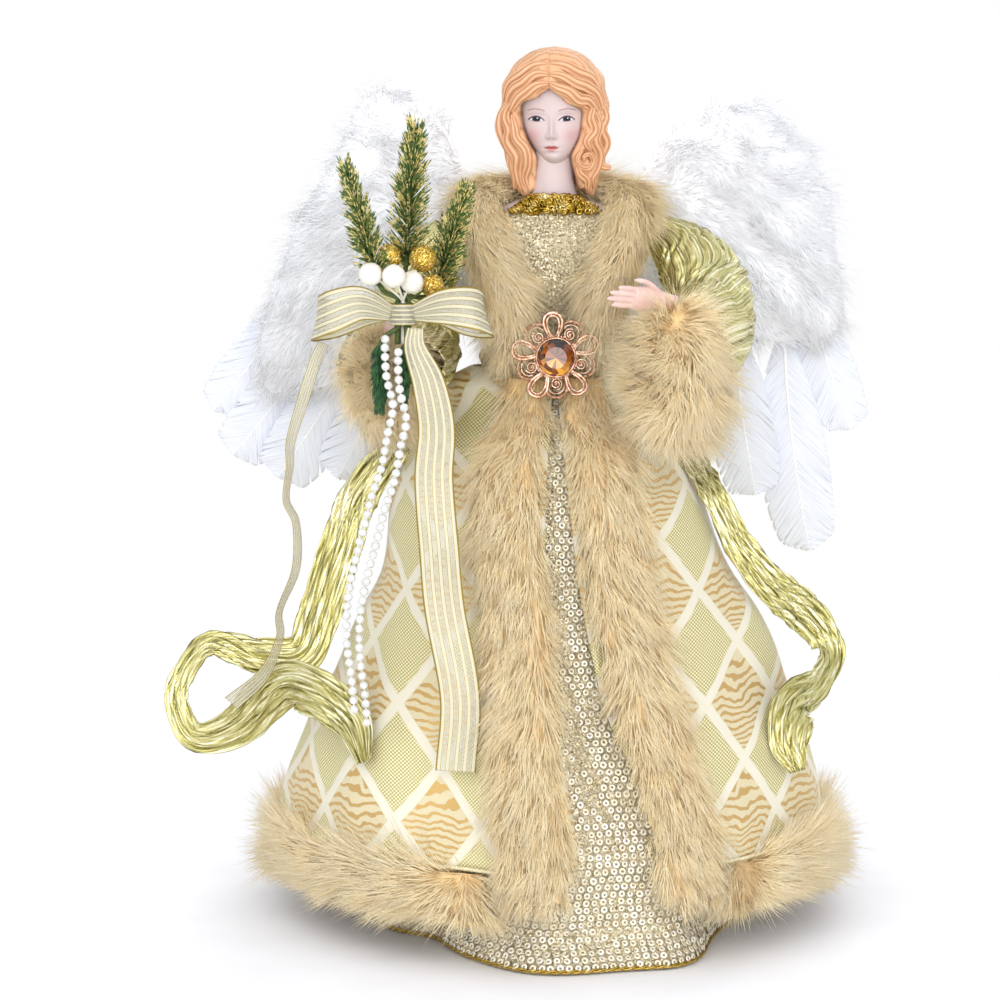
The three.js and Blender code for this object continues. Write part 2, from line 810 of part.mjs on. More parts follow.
function furHem() {
  const halfWide = THREE.MathUtils.radToDeg(stripHalfWidth / coatHemRadius) + 0.6;
  const start = stripLeftShares[0][1] + halfWide;
  const end = fullTurn + stripRightShares[0][1] - halfWide - 1.4;
  const top = coatHem - fitGap;
  const middle = (top + hemFurFoot) / 2;
  const halfHeight = (top - hemFurFoot) / 2;
  const columns = 26;
  const section = 8;
  const rings = Array.from({ length: columns + 1 }, (_, i) => {
    const turn = mix(start, end, i / columns);
    return Array.from({ length: section }, (__, j) => {
      const round = (fullTurn * j) / section;
      const reach = hemFurReach - hemPile / 2 + (hemPile / 2) * cosine(round);
      const square = Math.sign(sine(round)) * Math.abs(sine(round)) ** 0.6;
      return at(reach * sine(turn), -reach * cosine(turn), middle + halfHeight * square);
    });
  });
  return geometryOf(solid(skin(rings)));
}

// Collar halves: from behind the neck over the shoulder and down to the brooch, as shares of the
// shoulder width, the chest depth and the height from the waist to the shoulder
const collarRouteShares = [
  [0, 1.14, 1.2],
  [0.42, 1, 1.24],
  [0.8, 0.3, 1.2],
  [0.86, -0.5, 1.06],
  [0.7, -1.04, 0.74],
  [0.5, -1.22, 0.44],
  [0.36, -1.3, 0.06],
];
const collarSizeShares = [[0, 0.72, 0.9], [0.3, 0.95, 0.92], [0.55, 1, 1], [0.8, 0.92, 1], [1, 0.82, 0.95]];

function furCollar(side) {
  const route = collarRouteShares.map(([x, y, z]) => at(
    (side * x * shoulderWidth) / 2,
    (y * chestDepth) / 2,
    waistHeight + z * (shoulderHeight - waistHeight),
  ));
  const sizes = collarSizeShares.map(([share, w, h]) => [share, w * collarHalfWidth, h * collarHalfHeight]);
  const band = solid(sweep(route, sizes, { sides: 9, stations: 9, up: at(0, 0.3, 1) }));
  const waistline = waistHeight + coatCloth;
  const halves = blockBetween(
    at(side > 0 ? -cutOverrun : -fitGap / 2, -cutOverrun, waistline - cutOverrun),
    at(side > 0 ? fitGap / 2 : cutOverrun, cutOverrun, hairTop),
  );
  const below = blockBetween(
    at(-cutOverrun, -cutOverrun, waistline - cutOverrun),
    at(cutOverrun, cutOverrun, waistline),
  );
  return geometryOf(mainBody(without(band, [
    bodyForm(waistHeight - beltHeight, neckHeight, coatOutside + 2 * fitGap),
    hairForm(fitGap), neckForm(fitGap * 4), necklineTrim(fitGap), beltBlock(), halves, below, broochSpace(),
    sleeveSpace(side, 0), sleeveSpace(side, armSwing),
  ].map(solid))));
}

function beltBlock() {
  const bottom = waistHeight + coatCloth;
  const reach = coatOutside + beltThickness + 3 * fitGap;
  return bodyForm(bottom - fitGap, bottom + beltHeight + 3 * fitGap, reach);
}

// The room that the brooch takes out of the fur behind it
function broochSpace() {
  const centre = at(0, -broochBack, broochHeight);
  return rodAlong(
    at(centre.x, centre.y + fitGap, centre.z),
    at(centre.x, centre.y - broochRadius, centre.z),
    broochRadius + fitGap,
    18,
  );
}

// Sleeves, cuffs and hands. The routes are shares of the arm length from the shoulder pivot.
// Each gives the sleeve's course; the wire then runs on to the hand.
const sleeveLeftShares = [
  [0.03, 0, 0], [0.14, -0.05, -0.1], [0.23, -0.17, -0.25], [0.22, -0.34, -0.36], [0.14, -0.46, -0.41],
];
const sleeveRightShares = [
  [0.03, 0, 0], [0.12, 0.02, -0.13], [0.17, 0.02, -0.3], [0.21, -0.08, -0.46], [0.25, -0.26, -0.52],
];
const sleeveSizeShares = [
  [0, 0.07, 0.07], [0.22, 0.12, 0.13], [0.5, 0.14, 0.16], [0.8, 0.14, 0.18], [1, 0.13, 0.16],
];
const wireLeftShares = [
  [0, 0, 0], [0.14, -0.05, -0.13], [0.21, -0.18, -0.26], [0.19, -0.36, -0.33], [0.1, -0.56, -0.28],
  [-0.01, -0.66, -0.245],
];
const wireRightShares = [
  [0, 0, 0], [0.12, 0.02, -0.14], [0.18, 0, -0.31], [0.21, -0.12, -0.42], [0.235, -0.36, -0.4],
  [0.235, -0.5, -0.345],
];
const cuffLeftShare = [0.05, -0.655, -0.49];
const cuffRightShare = [0.275, -0.42, -0.53];
const handLeftShare = [-0.03, -0.67, -0.24];
const handRightShare = [0.237, -0.52, -0.335];
const cuffLeftAim = at(-0.75, -0.65, 0.1);
const cuffRightAim = at(-0.15, -0.97, 0.2);

function fromShoulder(side, [x, y, z]) {
  return armPivot(side).add(at(side * x * armLength, y * armLength, z * armLength));
}

const armRoute = (side, shares) => shares.map((share) => fromShoulder(side, share));

function armWire(side, grow = 0) {
  const route = armRoute(side, side > 0 ? wireLeftShares : wireRightShares);
  const wire = solid(wireAlong(route, armWireRadius + grow, 6, 9));
  return wire.add(solid(ball(armPivot(side), wireBallRadius + grow, 6)));
}

// Above the pivot the sleeve is cut back by the angle that the arm swings through, so that its
// shoulder stays clear of the coat.
function sleeveSpaceCutters(side) {
  const pivot = armPivot(side);
  const wall = side * (shoulderWidth / 2 + coatOutside + fitGap);
  const block = (degrees) => {
    const slab = blockBetween(at(-cutOverrun, -cutOverrun, -cutOverrun), at(0, cutOverrun, cutOverrun));
    slab.translate(fitGap, 0, 0);
    if (side < 0) slab.rotateZ(Math.PI);
    slab.rotateY(side * THREE.MathUtils.degToRad(degrees));
    return slab.translate(wall, pivot.y, pivot.z);
  };
  return [block(0), block(armSwing + 3)];
}

function sleeve(side, grow = 0) {
  const route = armRoute(side, side > 0 ? sleeveLeftShares : sleeveRightShares);
  const sizes = sleeveSizeShares.map(([share, w, h]) => [share, w * armLength, h * armLength]);
  return solid(sweep(route, sizes, { sides: 11, stations: 8, up: at(0, 0.4, 1), grow }));
}

// The room that a sleeve takes at an angle of the arm's lift
function sleeveSpace(side, lift) {
  const route = armRoute(side, (side > 0 ? sleeveLeftShares : sleeveRightShares).slice(0, 4));
  const sizes = sleeveSizeShares.map(([share, w, h]) => [share, w * armLength, h * armLength]);
  const space = sweep(route, sizes, { sides: 10, stations: 5, up: at(0, 0.4, 1), grow: fitGap * 5 });
  const pivot = armPivot(side);
  space.translate(-pivot.x, -pivot.y, -pivot.z).rotateY(-side * THREE.MathUtils.degToRad(lift));
  return space.translate(pivot.x, pivot.y, pivot.z);
}

function cuffForm(side, grow = 0) {
  const size = side > 0 ? cuffLeftSize : cuffRightSize;
  const aim = side > 0 ? cuffLeftAim : cuffRightAim;
  return egg(fromShoulder(side, side > 0 ? cuffLeftShare : cuffRightShare), size, aim, grow);
}

function finishedSleeve(side) {
  return geometryOf(mainBody(without(sleeve(side), [
    ...sleeveSpaceCutters(side).map(solid),
    solid(cuffForm(side, fitGap)),
    armWire(side, fitGap),
    solid(handSeat(side)),
  ])));
}

function furCuff(side) {
  const strip = furStrip(side > 0 ? stripLeftShares : stripRightShares, fitGap * 2);
  return geometryOf(mainBody(without(solid(cuffForm(side)), [
    armWire(side, fitGap), solid(handSeat(side)), solid(strip), ...bouquetSpace(side),
  ])));
}

// A hand along +X, palm down: the palm, four tapering fingers and the thumb
const fingerShares = [
  [-0.36, 0.86, 0.17], [-0.12, 0.98, 0.18], [0.13, 0.94, 0.175], [0.36, 0.8, 0.155],
];
const palmSizeShares = [[0, 0.28, 0.34], [0.4, 0.38, 0.42], [0.75, 0.49, 0.42], [1, 0.46, 0.3]];
const fingerSizeShares = [[0, 0.9], [0.5, 1], [0.88, 0.82], [1, 0.35]];

function handForm(curl) {
  const palmLength = handLength * 0.46;
  const palm = sweep(
    [at(-palmLength * 0.5, 0, 0), at(palmLength * 0.3, 0, 0), at(palmLength, 0, -handThickness * 0.06)],
    palmSizeShares.map(([share, w, h]) => [share, w * handWidth, h * handThickness]),
    { sides: 10, stations: 4 },
  );
  const digit = (start, middle, end, thick) => sweep(
    [start, middle, end],
    fingerSizeShares.map(([share, size]) => [share, (size * thick) / 2, (size * thick) / 2]),
    { sides: 5, stations: 3 },
  );
  const fingers = fingerShares.map(([spread, reach, thick]) => {
    const length = handLength * reach;
    const drop = handThickness * curl;
    return digit(
      at(palmLength * 0.8, spread * handWidth, 0),
      at(mix(palmLength, length, 0.55), spread * handWidth * 1.04, -drop * 0.3),
      at(length - drop * 0.3, spread * handWidth * 1.06, -drop),
      thick * handWidth,
    );
  });
  const thumb = digit(
    at(palmLength * 0.1, handWidth * 0.3, 0),
    at(palmLength * 0.62, handWidth * 0.66, -handThickness * 0.2),
    at(palmLength * 1.2, handWidth * 0.72, -handThickness * 0.3),
    handWidth * 0.2,
  );
  return joined([palm, ...fingers, thumb].map(solid));
}

function handPlace(side) {
  const aim = side > 0 ? at(-0.95, -0.2, 0.12) : at(0.25, -0.75, 0.25);
  const across = side > 0 ? at(0.1, -0.3, 0.95) : at(0.1, 0.2, 1);
  const along = aim.normalize();
  const palmUp = along.clone().cross(across).normalize();
  const wide = palmUp.clone().cross(along);
  const place = fromShoulder(side, side > 0 ? handLeftShare : handRightShare);
  return new THREE.Matrix4().makeBasis(along, wide, palmUp).setPosition(place);
}

function castHand(side) {
  const hand = geometryOf(handForm(side > 0 ? 0.15 : 0.9)).applyMatrix4(handPlace(side));
  const cutters = [armWire(side, fitGap), ...bouquetSpace(side)];
  return geometryOf(mainBody(without(solid(facingOut(hand)), cutters)));
}

// The room that the hand takes in the cuff: a bore along the palm, a little larger than it
const seatSizeShares = [[0, 0.32, 0.42], [0.35, 0.62, 0.62], [1, 0.8, 0.95]];

function handSeat(side) {
  const seat = sweep(
    [at(-handLength * 0.55, 0, 0), at(0, 0, 0), at(handLength * 1.05, 0, 0)],
    seatSizeShares.map(([share, w, h]) => [share, w * handWidth, h * handThickness]),
    { sides: 8, stations: 3, grow: fitGap },
  );
  return facingOut(seat.applyMatrix4(handPlace(side)));
}

// Brooch: a bezel cup with five double loops and five small scallops of wire round it, and its stone
const broochPlace = new THREE.Matrix4()
  .makeBasis(at(1, 0, 0), at(0, 0, 1), at(0, -1, 0))
  .setPosition(at(0, -broochBack, broochHeight));
const loopAngles = [95, 21, -52, -121, 168];

// A flat cast loop: a teardrop outline with its opening, pointing out of the bezel
function filigreeLoop(angle, reach, halfWidth, depth) {
  const start = bezelRadius * 0.85;
  const teardrop = (inset) => Array.from({ length: 8 }, (_, i) => {
    const turn = 45 * i;
    const out = (1 - cosine(turn)) / 2;
    const across = -sine(turn) * halfWidth * (0.5 + 0.5 * out) * (1 - inset / halfWidth);
    return new THREE.Vector2(mix(start + inset, reach - inset, out), across);
  });
  const shape = new THREE.Shape(teardrop(0));
  shape.holes.push(new THREE.Path(teardrop(2 * filigreeWire)));
  const loop = new THREE.ExtrudeGeometry(shape, { depth, bevelEnabled: false });
  return loop.rotateZ(THREE.MathUtils.degToRad(angle)).translate(0, 0, filigreeWire / 2);
}

function broochSetting() {
  const cup = new THREE.CylinderGeometry(bezelRadius, bezelRadius * 0.94, bezelDepth, 18);
  cup.rotateX(Math.PI / 2).translate(0, 0, bezelDepth / 2);
  const seat = new THREE.CylinderGeometry(gemRadius + fitGap, gemRadius + fitGap, bezelDepth, 18);
  seat.rotateX(Math.PI / 2).translate(0, 0, bezelDepth * 0.9);
  const halfLoop = broochRadius * 0.3;
  const wire = filigreeWire;
  const loops = loopAngles.flatMap((angle) => [
    filigreeLoop(angle, broochRadius, halfLoop, wire * 1.6),
    filigreeLoop(angle - 37, mix(bezelRadius, broochRadius, 0.66), halfLoop * 0.74, wire * 1.2),
  ]);
  const setting = joined([cup, ...loops].map(solid)).subtract(solid(seat));
  return geometryOf(setting).applyMatrix4(broochPlace);
}

// A round stone: table, eight-fold crown and a shallow back
function broochGem() {
  const seat = bezelDepth * 0.4 + fitGap;
  const around = (radius, height, offset) => Array.from({ length: 16 }, (_, i) => at(
    radius * cosine(22.5 * (i + offset)),
    radius * sine(22.5 * (i + offset)),
    seat + height,
  ));
  return skin([
    around(gemRadius * 0.6, 0, 0),
    around(gemRadius, gemHeight * 0.42, 0),
    around(gemRadius, gemHeight * 0.52, 0),
    around(gemRadius * 0.8, gemHeight * 0.84, 0.5),
    around(gemRadius * 0.52, gemHeight, 0),
  ]).applyMatrix4(broochPlace);
}

// Bouquet: the stems pass the knot in a ring of six round one in the middle
const knotHeight = fromShoulder(-1, handRightShare).z + knotAboveHand;
const knotCentre = at(knotSide, -knotForward, knotHeight);
const stemRing = 2 * stemWireRadius + stemGap;

function stemSlot(index, height) {
  const radius = index === 6 ? 0 : stemRing;
  return at(knotCentre.x + radius * cosine(60 * index), knotCentre.y + radius * sine(60 * index), height);
}

// Sprigs: [slot, base, tip, half width], places as shares of the figure's height from the knot
const sprigShares = {
  pine_sprig_tall: [2, [0.002, 0.027, 0.048], [0.013, 0.01, 0.196], 0.027],
  pine_sprig_side: [3, [-0.024, -0.006, 0.03], [-0.061, -0.004, 0.158], 0.021],
  pine_sprig_inner: [1, [0.034, 0.036, 0.022], [0.066, 0.036, 0.13], 0.024],
  pine_sprig_low: [4, [-0.024, -0.008, -0.03], [-0.025, -0.012, -0.1], 0.015],
  pine_sprig_low_inner: [5, [0.004, -0.012, -0.03], [0.001, -0.01, -0.09], 0.012],
};
const needleSlant = 0.75;
const needleTipLean = 1.6;
const needleTaper = 0.35;
const needleTwistShare = 0.5;

const fromKnot = ([x, y, z]) => knotCentre.clone().add(at(x, y, z).multiplyScalar(figureHeight));

// A sprig: the twig's wire, and a leafy stem each of whose facets is drawn out to a needle
function pineSprig([slot, base, tip, halfWidth]) {
  const start = fromKnot(base);
  const end = fromKnot(tip);
  const upward = end.z > start.z;
  const half = knotLength / 2;
  const ends = upward ? [-stemFoot, -half, half, half * 1.6] : [half * 1.1, 0, -half];
  const through = ends.map((height) => stemSlot(slot, knotHeight + height));
  const route = [...through, start, start.clone().lerp(end, 0.1)];
  const wire = solid(wireAlong(route, stemWireRadius, 6, 8));
  return geometryOf(mainBody(wire.add(solid(needledStem(start, end, halfWidth * figureHeight)))));
}

function needledStem(start, end, reach) {
  const along = end.clone().sub(start).normalize();
  const across = along.clone().cross(at(0, 1, 0)).normalize();
  const over = along.clone().cross(across);
  const sides = 4;
  const steps = Math.max(4, Math.round(start.distanceTo(end) / needlePitch));
  const point = (i, j) => {
    const turn = (fullTurn * (j + i * needleTwistShare)) / sides;
    const radius = needleRadius * (i === 0 || i === steps ? 0.6 : 1);
    return start.clone().lerp(end, i / steps)
      .addScaledVector(across, radius * cosine(turn))
      .addScaledVector(over, radius * sine(turn));
  };
  const ring = (i) => Array.from({ length: sides }, (_, j) => point(i, j));
  const stem = skin(evenSteps(0, steps, steps).map(ring));
  const corners = stem.getAttribute('position');
  const index = stem.getIndex();
  const positions = [];
  const corner = (k) => at(corners.getX(k), corners.getY(k), corners.getZ(k));
  for (let i = 0; i < index.count; i += 3) {
    const facet = [0, 1, 2].map((k) => corner(index.getX(i + k)));
    const middle = centreOf(facet);
    const share = middle.clone().sub(start).dot(along) / start.distanceTo(end);
    const outward = middle.clone().sub(start.clone().lerp(end, share));
    const lean = needleSlant + needleTipLean * share ** 3;
    const length = reach * (1 - needleTaper * share);
    const direction = outward.normalize().addScaledVector(along, lean).normalize();
    const tip = middle.clone().addScaledVector(direction, length);
    const drawn = share > 0 && share < 1 && clearOfBalls(middle, tip);
    const faces = drawn ? [0, 1, 2].map((k) => [facet[k], facet[(k + 1) % 3], tip]) : [facet];
    faces.flat().forEach((p) => positions.push(p.x, p.y, p.z));
  }
  const sprig = new THREE.BufferGeometry();
  sprig.setAttribute('position', new THREE.Float32BufferAttribute(positions, 3));
  return facingOut(mergeVertices(sprig));
}

// Berries and glitter balls on their wires: [place as shares from the knot, radius share]
const pearlShares = [
  [[-0.034, -0.022, 0.044], 1], [[-0.009, -0.026, 0.042], 1], [[0.01, -0.009, 0.035], 0.98],
];
const glitterShares = [
  [[-0.0155, 0.01, 0.062], 0.96], [[0.021, 0.014, 0.06], 1.05], [[0.032, 0.015, 0.03], 0.9],
];
const allBalls = [
  ...pearlShares.map(([place, size]) => [fromKnot(place), size * berryRadius]),
  ...glitterShares.map(([place, size]) => [fromKnot(place), size * glitterBallRadius]),
];

// True where a needle keeps clear of every berry and ball
function clearOfBalls(root, tip) {
  const needle = new THREE.Line3(root, tip);
  const nearest = at(0, 0, 0);
  return allBalls.every(([centre, radius]) => {
    needle.closestPointToPoint(centre, true, nearest);
    return nearest.distanceTo(centre) > radius + needleRadius + fitGap;
  });
}

function pick(slot, shares, radius) {
  const through = stemSlot(slot, knotHeight);
  const foot = stemSlot(slot, knotHeight - stemFoot);
  const fork = stemSlot(slot, knotHeight + knotLength * 0.6);
  const stem = solid(wireAlong([foot, through, fork], stemWireRadius, 6, 3));
  const heads = shares.flatMap(([place, size]) => {
    const centre = fromKnot(place);
    const halfway = fork.clone().lerp(centre, 0.5);
    const twig = wireAlong([through, fork, halfway, centre], stemWireRadius * 0.6, 4, 5);
    return [solid(ball(centre, radius * size, 8)), solid(twig)];
  });
  return geometryOf(joined([stem, ...heads]));
}

// Every stem and ball of the bouquet, so that the hand and the cuff stay clear of them
function bouquetSpace(side) {
  if (side > 0) return [];
  const reach = stemRing + stemWireRadius + fitGap;
  const bundle = rodAlong(
    at(knotCentre.x, knotCentre.y, knotHeight - stemFoot - fitGap),
    at(knotCentre.x, knotCentre.y, knotHeight + stemFoot),
    reach,
    16,
  );
  return [solid(bundle), solid(knotBand(fitGap))];
}

// Sheer ribbon: the knot is a band round the stems, and the loops and tails start at it
function knotBand(grow = 0) {
  const inside = stemRing + stemWireRadius + stemGap;
  const outside = inside + knotWall + grow;
  const half = knotLength / 2 + grow;
  const ring = (radius, height) => Array.from({ length: 20 }, (_, i) => at(
    knotCentre.x + radius * cosine(18 * i),
    knotCentre.y + radius * sine(18 * i),
    knotHeight + height,
  ));
  return skin([ring(inside, -half), ring(outside, -half), ring(outside, half), ring(inside, half)], 'joined');
}

// Loops: a closed course in plan, [side share, forward share, height share] of the loop's length
const bowLoopShare = 0.0925;
const bowLoopLength = figureHeight * bowLoopShare;
const bowRightShares = [
  [0.145, 0.02, 0.02], [0.5, -0.2, 0.14], [0.85, -0.24, 0.04], [1.02, -0.06, -0.05], [0.86, 0.12, -0.06],
  [0.5, 0.14, 0.02], [0.195, 0.12, 0.02],
];
const bowLeftShares = [
  [0.13, 0.02, 0.02], [0.5, -0.18, 0.1], [0.84, -0.2, 0.08], [0.98, -0.04, -0.02], [0.84, 0.12, -0.04],
  [0.5, 0.13, 0.04], [0.18, 0.12, 0.02],
];

const bowSizeShares = [[0, 0.4, 0], [0.2, 0.85, 12], [0.5, 1.1, 16], [0.8, 0.85, 8], [1, 0.4, 0]];

function bowLoop(side, shares) {
  const route = shares.map(([x, y, z]) => knotCentre.clone().add(
    at(side * x * bowLoopLength - side * fitGap, y * bowLoopLength - knotLength * 0.55, z * bowLoopLength),
  ));
  const half = ribbonWidth / 2;
  const sizes = bowSizeShares.map(([share, wide, twist]) => (
    [share, ribbonThickness / 2, wide * half, side * twist]));
  return sweep(route, sizes, { sides: 4, stations: 18, up: at(0, 0, 1) });
}

// Tails of the ribbon, as shares of the figure's height from the knot
const longTailShares = [
  [0.014, -0.02, -0.014], [0.0135, -0.0225, -0.035], [0.028, -0.0225, -0.0735], [0.0365, -0.0225, -0.1225],
  [0.0335, -0.025, -0.177], [0.039, -0.03, -0.2525], [0.0448, -0.035, -0.317], [0.0618, -0.0525, -0.4118],
  [0.0573, -0.08, -0.487],
];
const thinTailShares = [
  [-0.086, -0.0075, -0.0305], [-0.0958, -0.0075, -0.0525], [-0.109, -0.0075, -0.0943],
  [-0.122, -0.0075, -0.138],
  [-0.1233, -0.0075, -0.1655], [-0.128, -0.0075, -0.2018], [-0.1178, -0.0075, -0.227],
  [-0.1178, -0.0075, -0.2775],
  [-0.1385, 0.025, -0.33], [-0.1408, 0.0475, -0.3618], [-0.1625, 0.076, -0.4095], [-0.2, 0.094, -0.4455],
];

const longTailSizeShares = [[0, 0.4, 0], [0.15, 0.85, 8], [0.5, 1, 0], [1, 1, 0]];
const thinTailSizeShares = [[0, 0.3, 20], [0.5, 0.3, 60], [0.8, 0.3, 40], [1, 0.45, 10]];

function ribbonTail(shares, sizes) {
  const route = shares.map(fromKnot);
  const rows = sizes.map(([share, wide, twist]) => (
    [share, (wide * ribbonWidth) / 2, ribbonThickness / 2, twist]));
  return sweep(route, rows, { sides: 4, stations: 22, up: at(0, -1, 0) });
}

// Two strings of pearl beads hang side by side from the knot: shares of the figure's height
const beadShares = [
  [-0.0185, -0.0205, -0.0215], [-0.0185, -0.031, -0.042], [-0.0165, -0.0325, -0.068],
  [-0.01, -0.0325, -0.098],
  [-0.0165, -0.0325, -0.13], [-0.0225, -0.0315, -0.1625], [-0.0335, -0.0315, -0.195],
  [-0.0412, -0.0315, -0.225],
  [-0.05, -0.0315, -0.2575], [-0.0573, -0.0325, -0.29], [-0.0613, -0.034, -0.3225],
  [-0.0608, -0.0355, -0.3575],
  [-0.056, -0.0365, -0.395], [-0.053, -0.0375, -0.4325],
];
const beadSpacing = beadRadius * 2.8;

function beadString(number) {
  const shift = at(beadSpacing * number, -beadRadius * 0.3 * number, -beadSpacing * number);
  return wireAlong(beadShares.map((share) => fromKnot(share).add(shift)), beadRadius, 8, 17);
}

// Sash: a knot at the back waist and two tails, as shares of the coat's hem radius and the waist height
const sashLeftShares = [
  [0.1, 0.345, 0.985], [0.3, 0.33, 0.94], [0.44, 0.17, 0.885], [0.49, -0.04, 0.855], [0.57, -0.15, 0.79],
  [0.67, -0.17, 0.69], [0.8, -0.17, 0.61], [0.94, -0.17, 0.55], [1.02, -0.19, 0.49], [0.97, -0.28, 0.44],
  [0.87, -0.43, 0.41], [0.84, -0.51, 0.35], [0.87, -0.54, 0.3],
];
const sashRightShares = [
  [0.1, 0.345, 0.985], [0.3, 0.34, 0.94], [0.47, 0.18, 0.9], [0.58, -0.03, 0.86], [0.72, -0.1, 0.77],
  [0.8, -0.14, 0.66],
  [0.87, -0.17, 0.55], [0.94, -0.19, 0.48], [1.1, -0.2, 0.48], [1.28, -0.21, 0.5], [1.39, -0.23, 0.42],
  [1.33, -0.27, 0.34], [1.17, -0.31, 0.36], [1.0, -0.38, 0.44], [0.86, -0.52, 0.44], [0.73, -0.62, 0.4],
  [0.68, -0.71, 0.335],
];
const sashLeftSizeShares = [
  [0, 0.5, 20], [0.2, 0.75, 30], [0.45, 0.7, 60], [0.7, 0.95, 70], [0.85, 0.9, 40], [1, 0.85, 20],
];
const sashRightSizeShares = [
  [0, 0.5, 20], [0.2, 0.85, 40], [0.4, 0.95, 60], [0.55, 0.9, 75], [0.7, 1, 80], [0.85, 0.85, 70],
  [1, 0.6, 60],
];

function sashTail(side, grow = 0) {
  const shares = side > 0 ? sashLeftShares : sashRightShares;
  const sizes = side > 0 ? sashLeftSizeShares : sashRightSizeShares;
  const route = shares.map(([x, y, z]) => at(side * x * coatHemRadius, y * coatHemRadius, z * waistHeight));
  const rows = sizes.map(([share, wide, twist]) => (
    [share, (wide * sashWidth) / 2, sashThickness / 2, side * twist]));
  return sweep(route, rows, { sides: 6, stations: 24, up: at(0, 0.25, 1), grow });
}

// All the room that the coat takes round the waist and below it
function coatSpace(clearance) {
  const sides = 36;
  const waist = bodyForm(coatTop - fitGap, neckHeight, coatOutside + beltThickness + 2 * clearance);
  const skirt = skin(skirtLevels(coatHem, coatTop).map((height) => Array.from({ length: sides }, (_, i) => {
    const turn = (fullTurn * i) / sides;
    return skirtPoint(height, turn, coatCloth + foldDepth(height) + clearance);
  })));
  return solid(waist).add(solid(skirt));
}

function sashKnot() {
  const [width, depth, height] = sashKnotSize;
  const [, halfDepth] = coatOval(coatTop);
  const centre = at(0, halfDepth + coatCloth + depth / 2, coatTop - sashKnotDrop);
  const form = solid(egg(centre, [depth / 2 + beltThickness * 2, width / 2, height / 2], at(0, 1, 0)));
  return geometryOf(mainBody(without(form, [
    coatSpace(fitGap), solid(sashTail(1, fitGap)), solid(sashTail(-1, fitGap)),
  ])));
}

// Wings, in their own frame: out from the pivot, back, and up. Shares are of the wing's reach.
const wings = {
  left: {
    side: 1,
    down: [
      [0.06, 0.1], [0.2, 0.4], [0.35, 0.55], [0.46, 0.62], [0.61, 0.655], [0.76, 0.58], [0.9, 0.42],
      [0.96, 0.22],
      [1.0, 0], [1.02, -0.24], [0.84, -0.32], [0.6, -0.3], [0.4, -0.26], [0.2, -0.2], [0.08, -0.08],
    ],
    feathers: [
      [[0.28, -0.02], [0.22, -0.48], 0.66],
      [[0.42, -0.06], [0.43, -0.66], 0.8],
      [[0.6, -0.1], [0.68, -0.86], 0.92],
      [[0.78, -0.1], [0.9, -1.08], 1],
      [[0.86, 0.06], [1.05, -0.62], 0.8],
    ],
  },
  right: {
    side: -1,
    down: [
      [0.06, 0.1], [0.24, 0.5], [0.44, 0.73], [0.64, 0.6], [0.74, 0.4], [0.84, 0.24], [0.93, 0.04],
      [1.0, -0.18],
      [1.04, -0.36], [0.98, -0.5], [0.8, -0.5], [0.6, -0.44], [0.4, -0.34], [0.2, -0.22], [0.08, -0.08],
    ],
    feathers: [
      [[0.3, -0.04], [0.44, -0.6], 0.74],
      [[0.42, -0.1], [0.72, -0.8], 0.92],
      [[0.54, -0.1], [0.95, -0.8], 1],
      [[0.66, -0.06], [1.13, -0.72], 0.96],
      [[0.78, 0.06], [1.2, -0.55], 0.8],
    ],
  },
};

function wingRim(shares, count) {
  const outline = new THREE.CatmullRomCurve3(shares.map(([out, up]) => at(out, 0, up)), true);
  return outline.getPoints(count).slice(0, count);
}

function wingDown({ side, down }) {
  const rim = wingRim(down, 26);
  const centre = centreOf(rim);
  const front = -wingWireRadius * 2 - fitGap * 2;
  const rows = [[1, 0], [1, 0.3], [0.93, 0.62], [0.74, 0.88], [0.42, 1]];
  return skin(rows.map(([spread, crown]) => rim.map((p) => {
    const place = centre.clone().lerp(p, spread).multiplyScalar(wingReach);
    return at(side * place.x, front - crown * downDepth, place.z);
  })));
}

// The card behind the down: the same outline drawn in, and cut back from the body
function wingBacking({ side, down }) {
  const rim = wingRim(down, 24);
  const centre = centreOf(rim);
  return skin([0, wingCard].map((back) => rim.map((p) => {
    const place = centre.clone().lerp(p, 0.8).multiplyScalar(wingReach);
    return at(side * place.x, back, place.z);
  })));
}

const wingWireShares = [[0, 0], [0.14, 0.02], [0.4, 0.14], [0.66, 0.2], [0.84, 0.02], [0.8, -0.2]];

function wingWire({ side }) {
  const level = -wingWireRadius - fitGap;
  const route = wingWireShares.map(([out, up]) => (
    at(side * out * wingReach, out === 0 ? 0 : level, up * wingReach)));
  const wire = solid(wireAlong(route, wingWireRadius, 6, 10));
  return geometryOf(wire.add(solid(ball(at(0, 0, 0), wireBallRadius, 6))));
}

// A long feather: a round quill that thins towards the tip, with a cambered vane on both sides.
// Rows are [share along, vane half width share, quill share]. Neighbours lie in two layers.
const vaneShares = [
  [0, 0.02, 0.9], [0.1, 0.03, 1], [0.16, 0.34, 1], [0.28, 0.8, 0.95], [0.45, 1, 0.85],
  [0.65, 0.97, 0.7], [0.82, 0.78, 0.5],
  [0.93, 0.46, 0.35], [1, 0.06, 0.2],
];

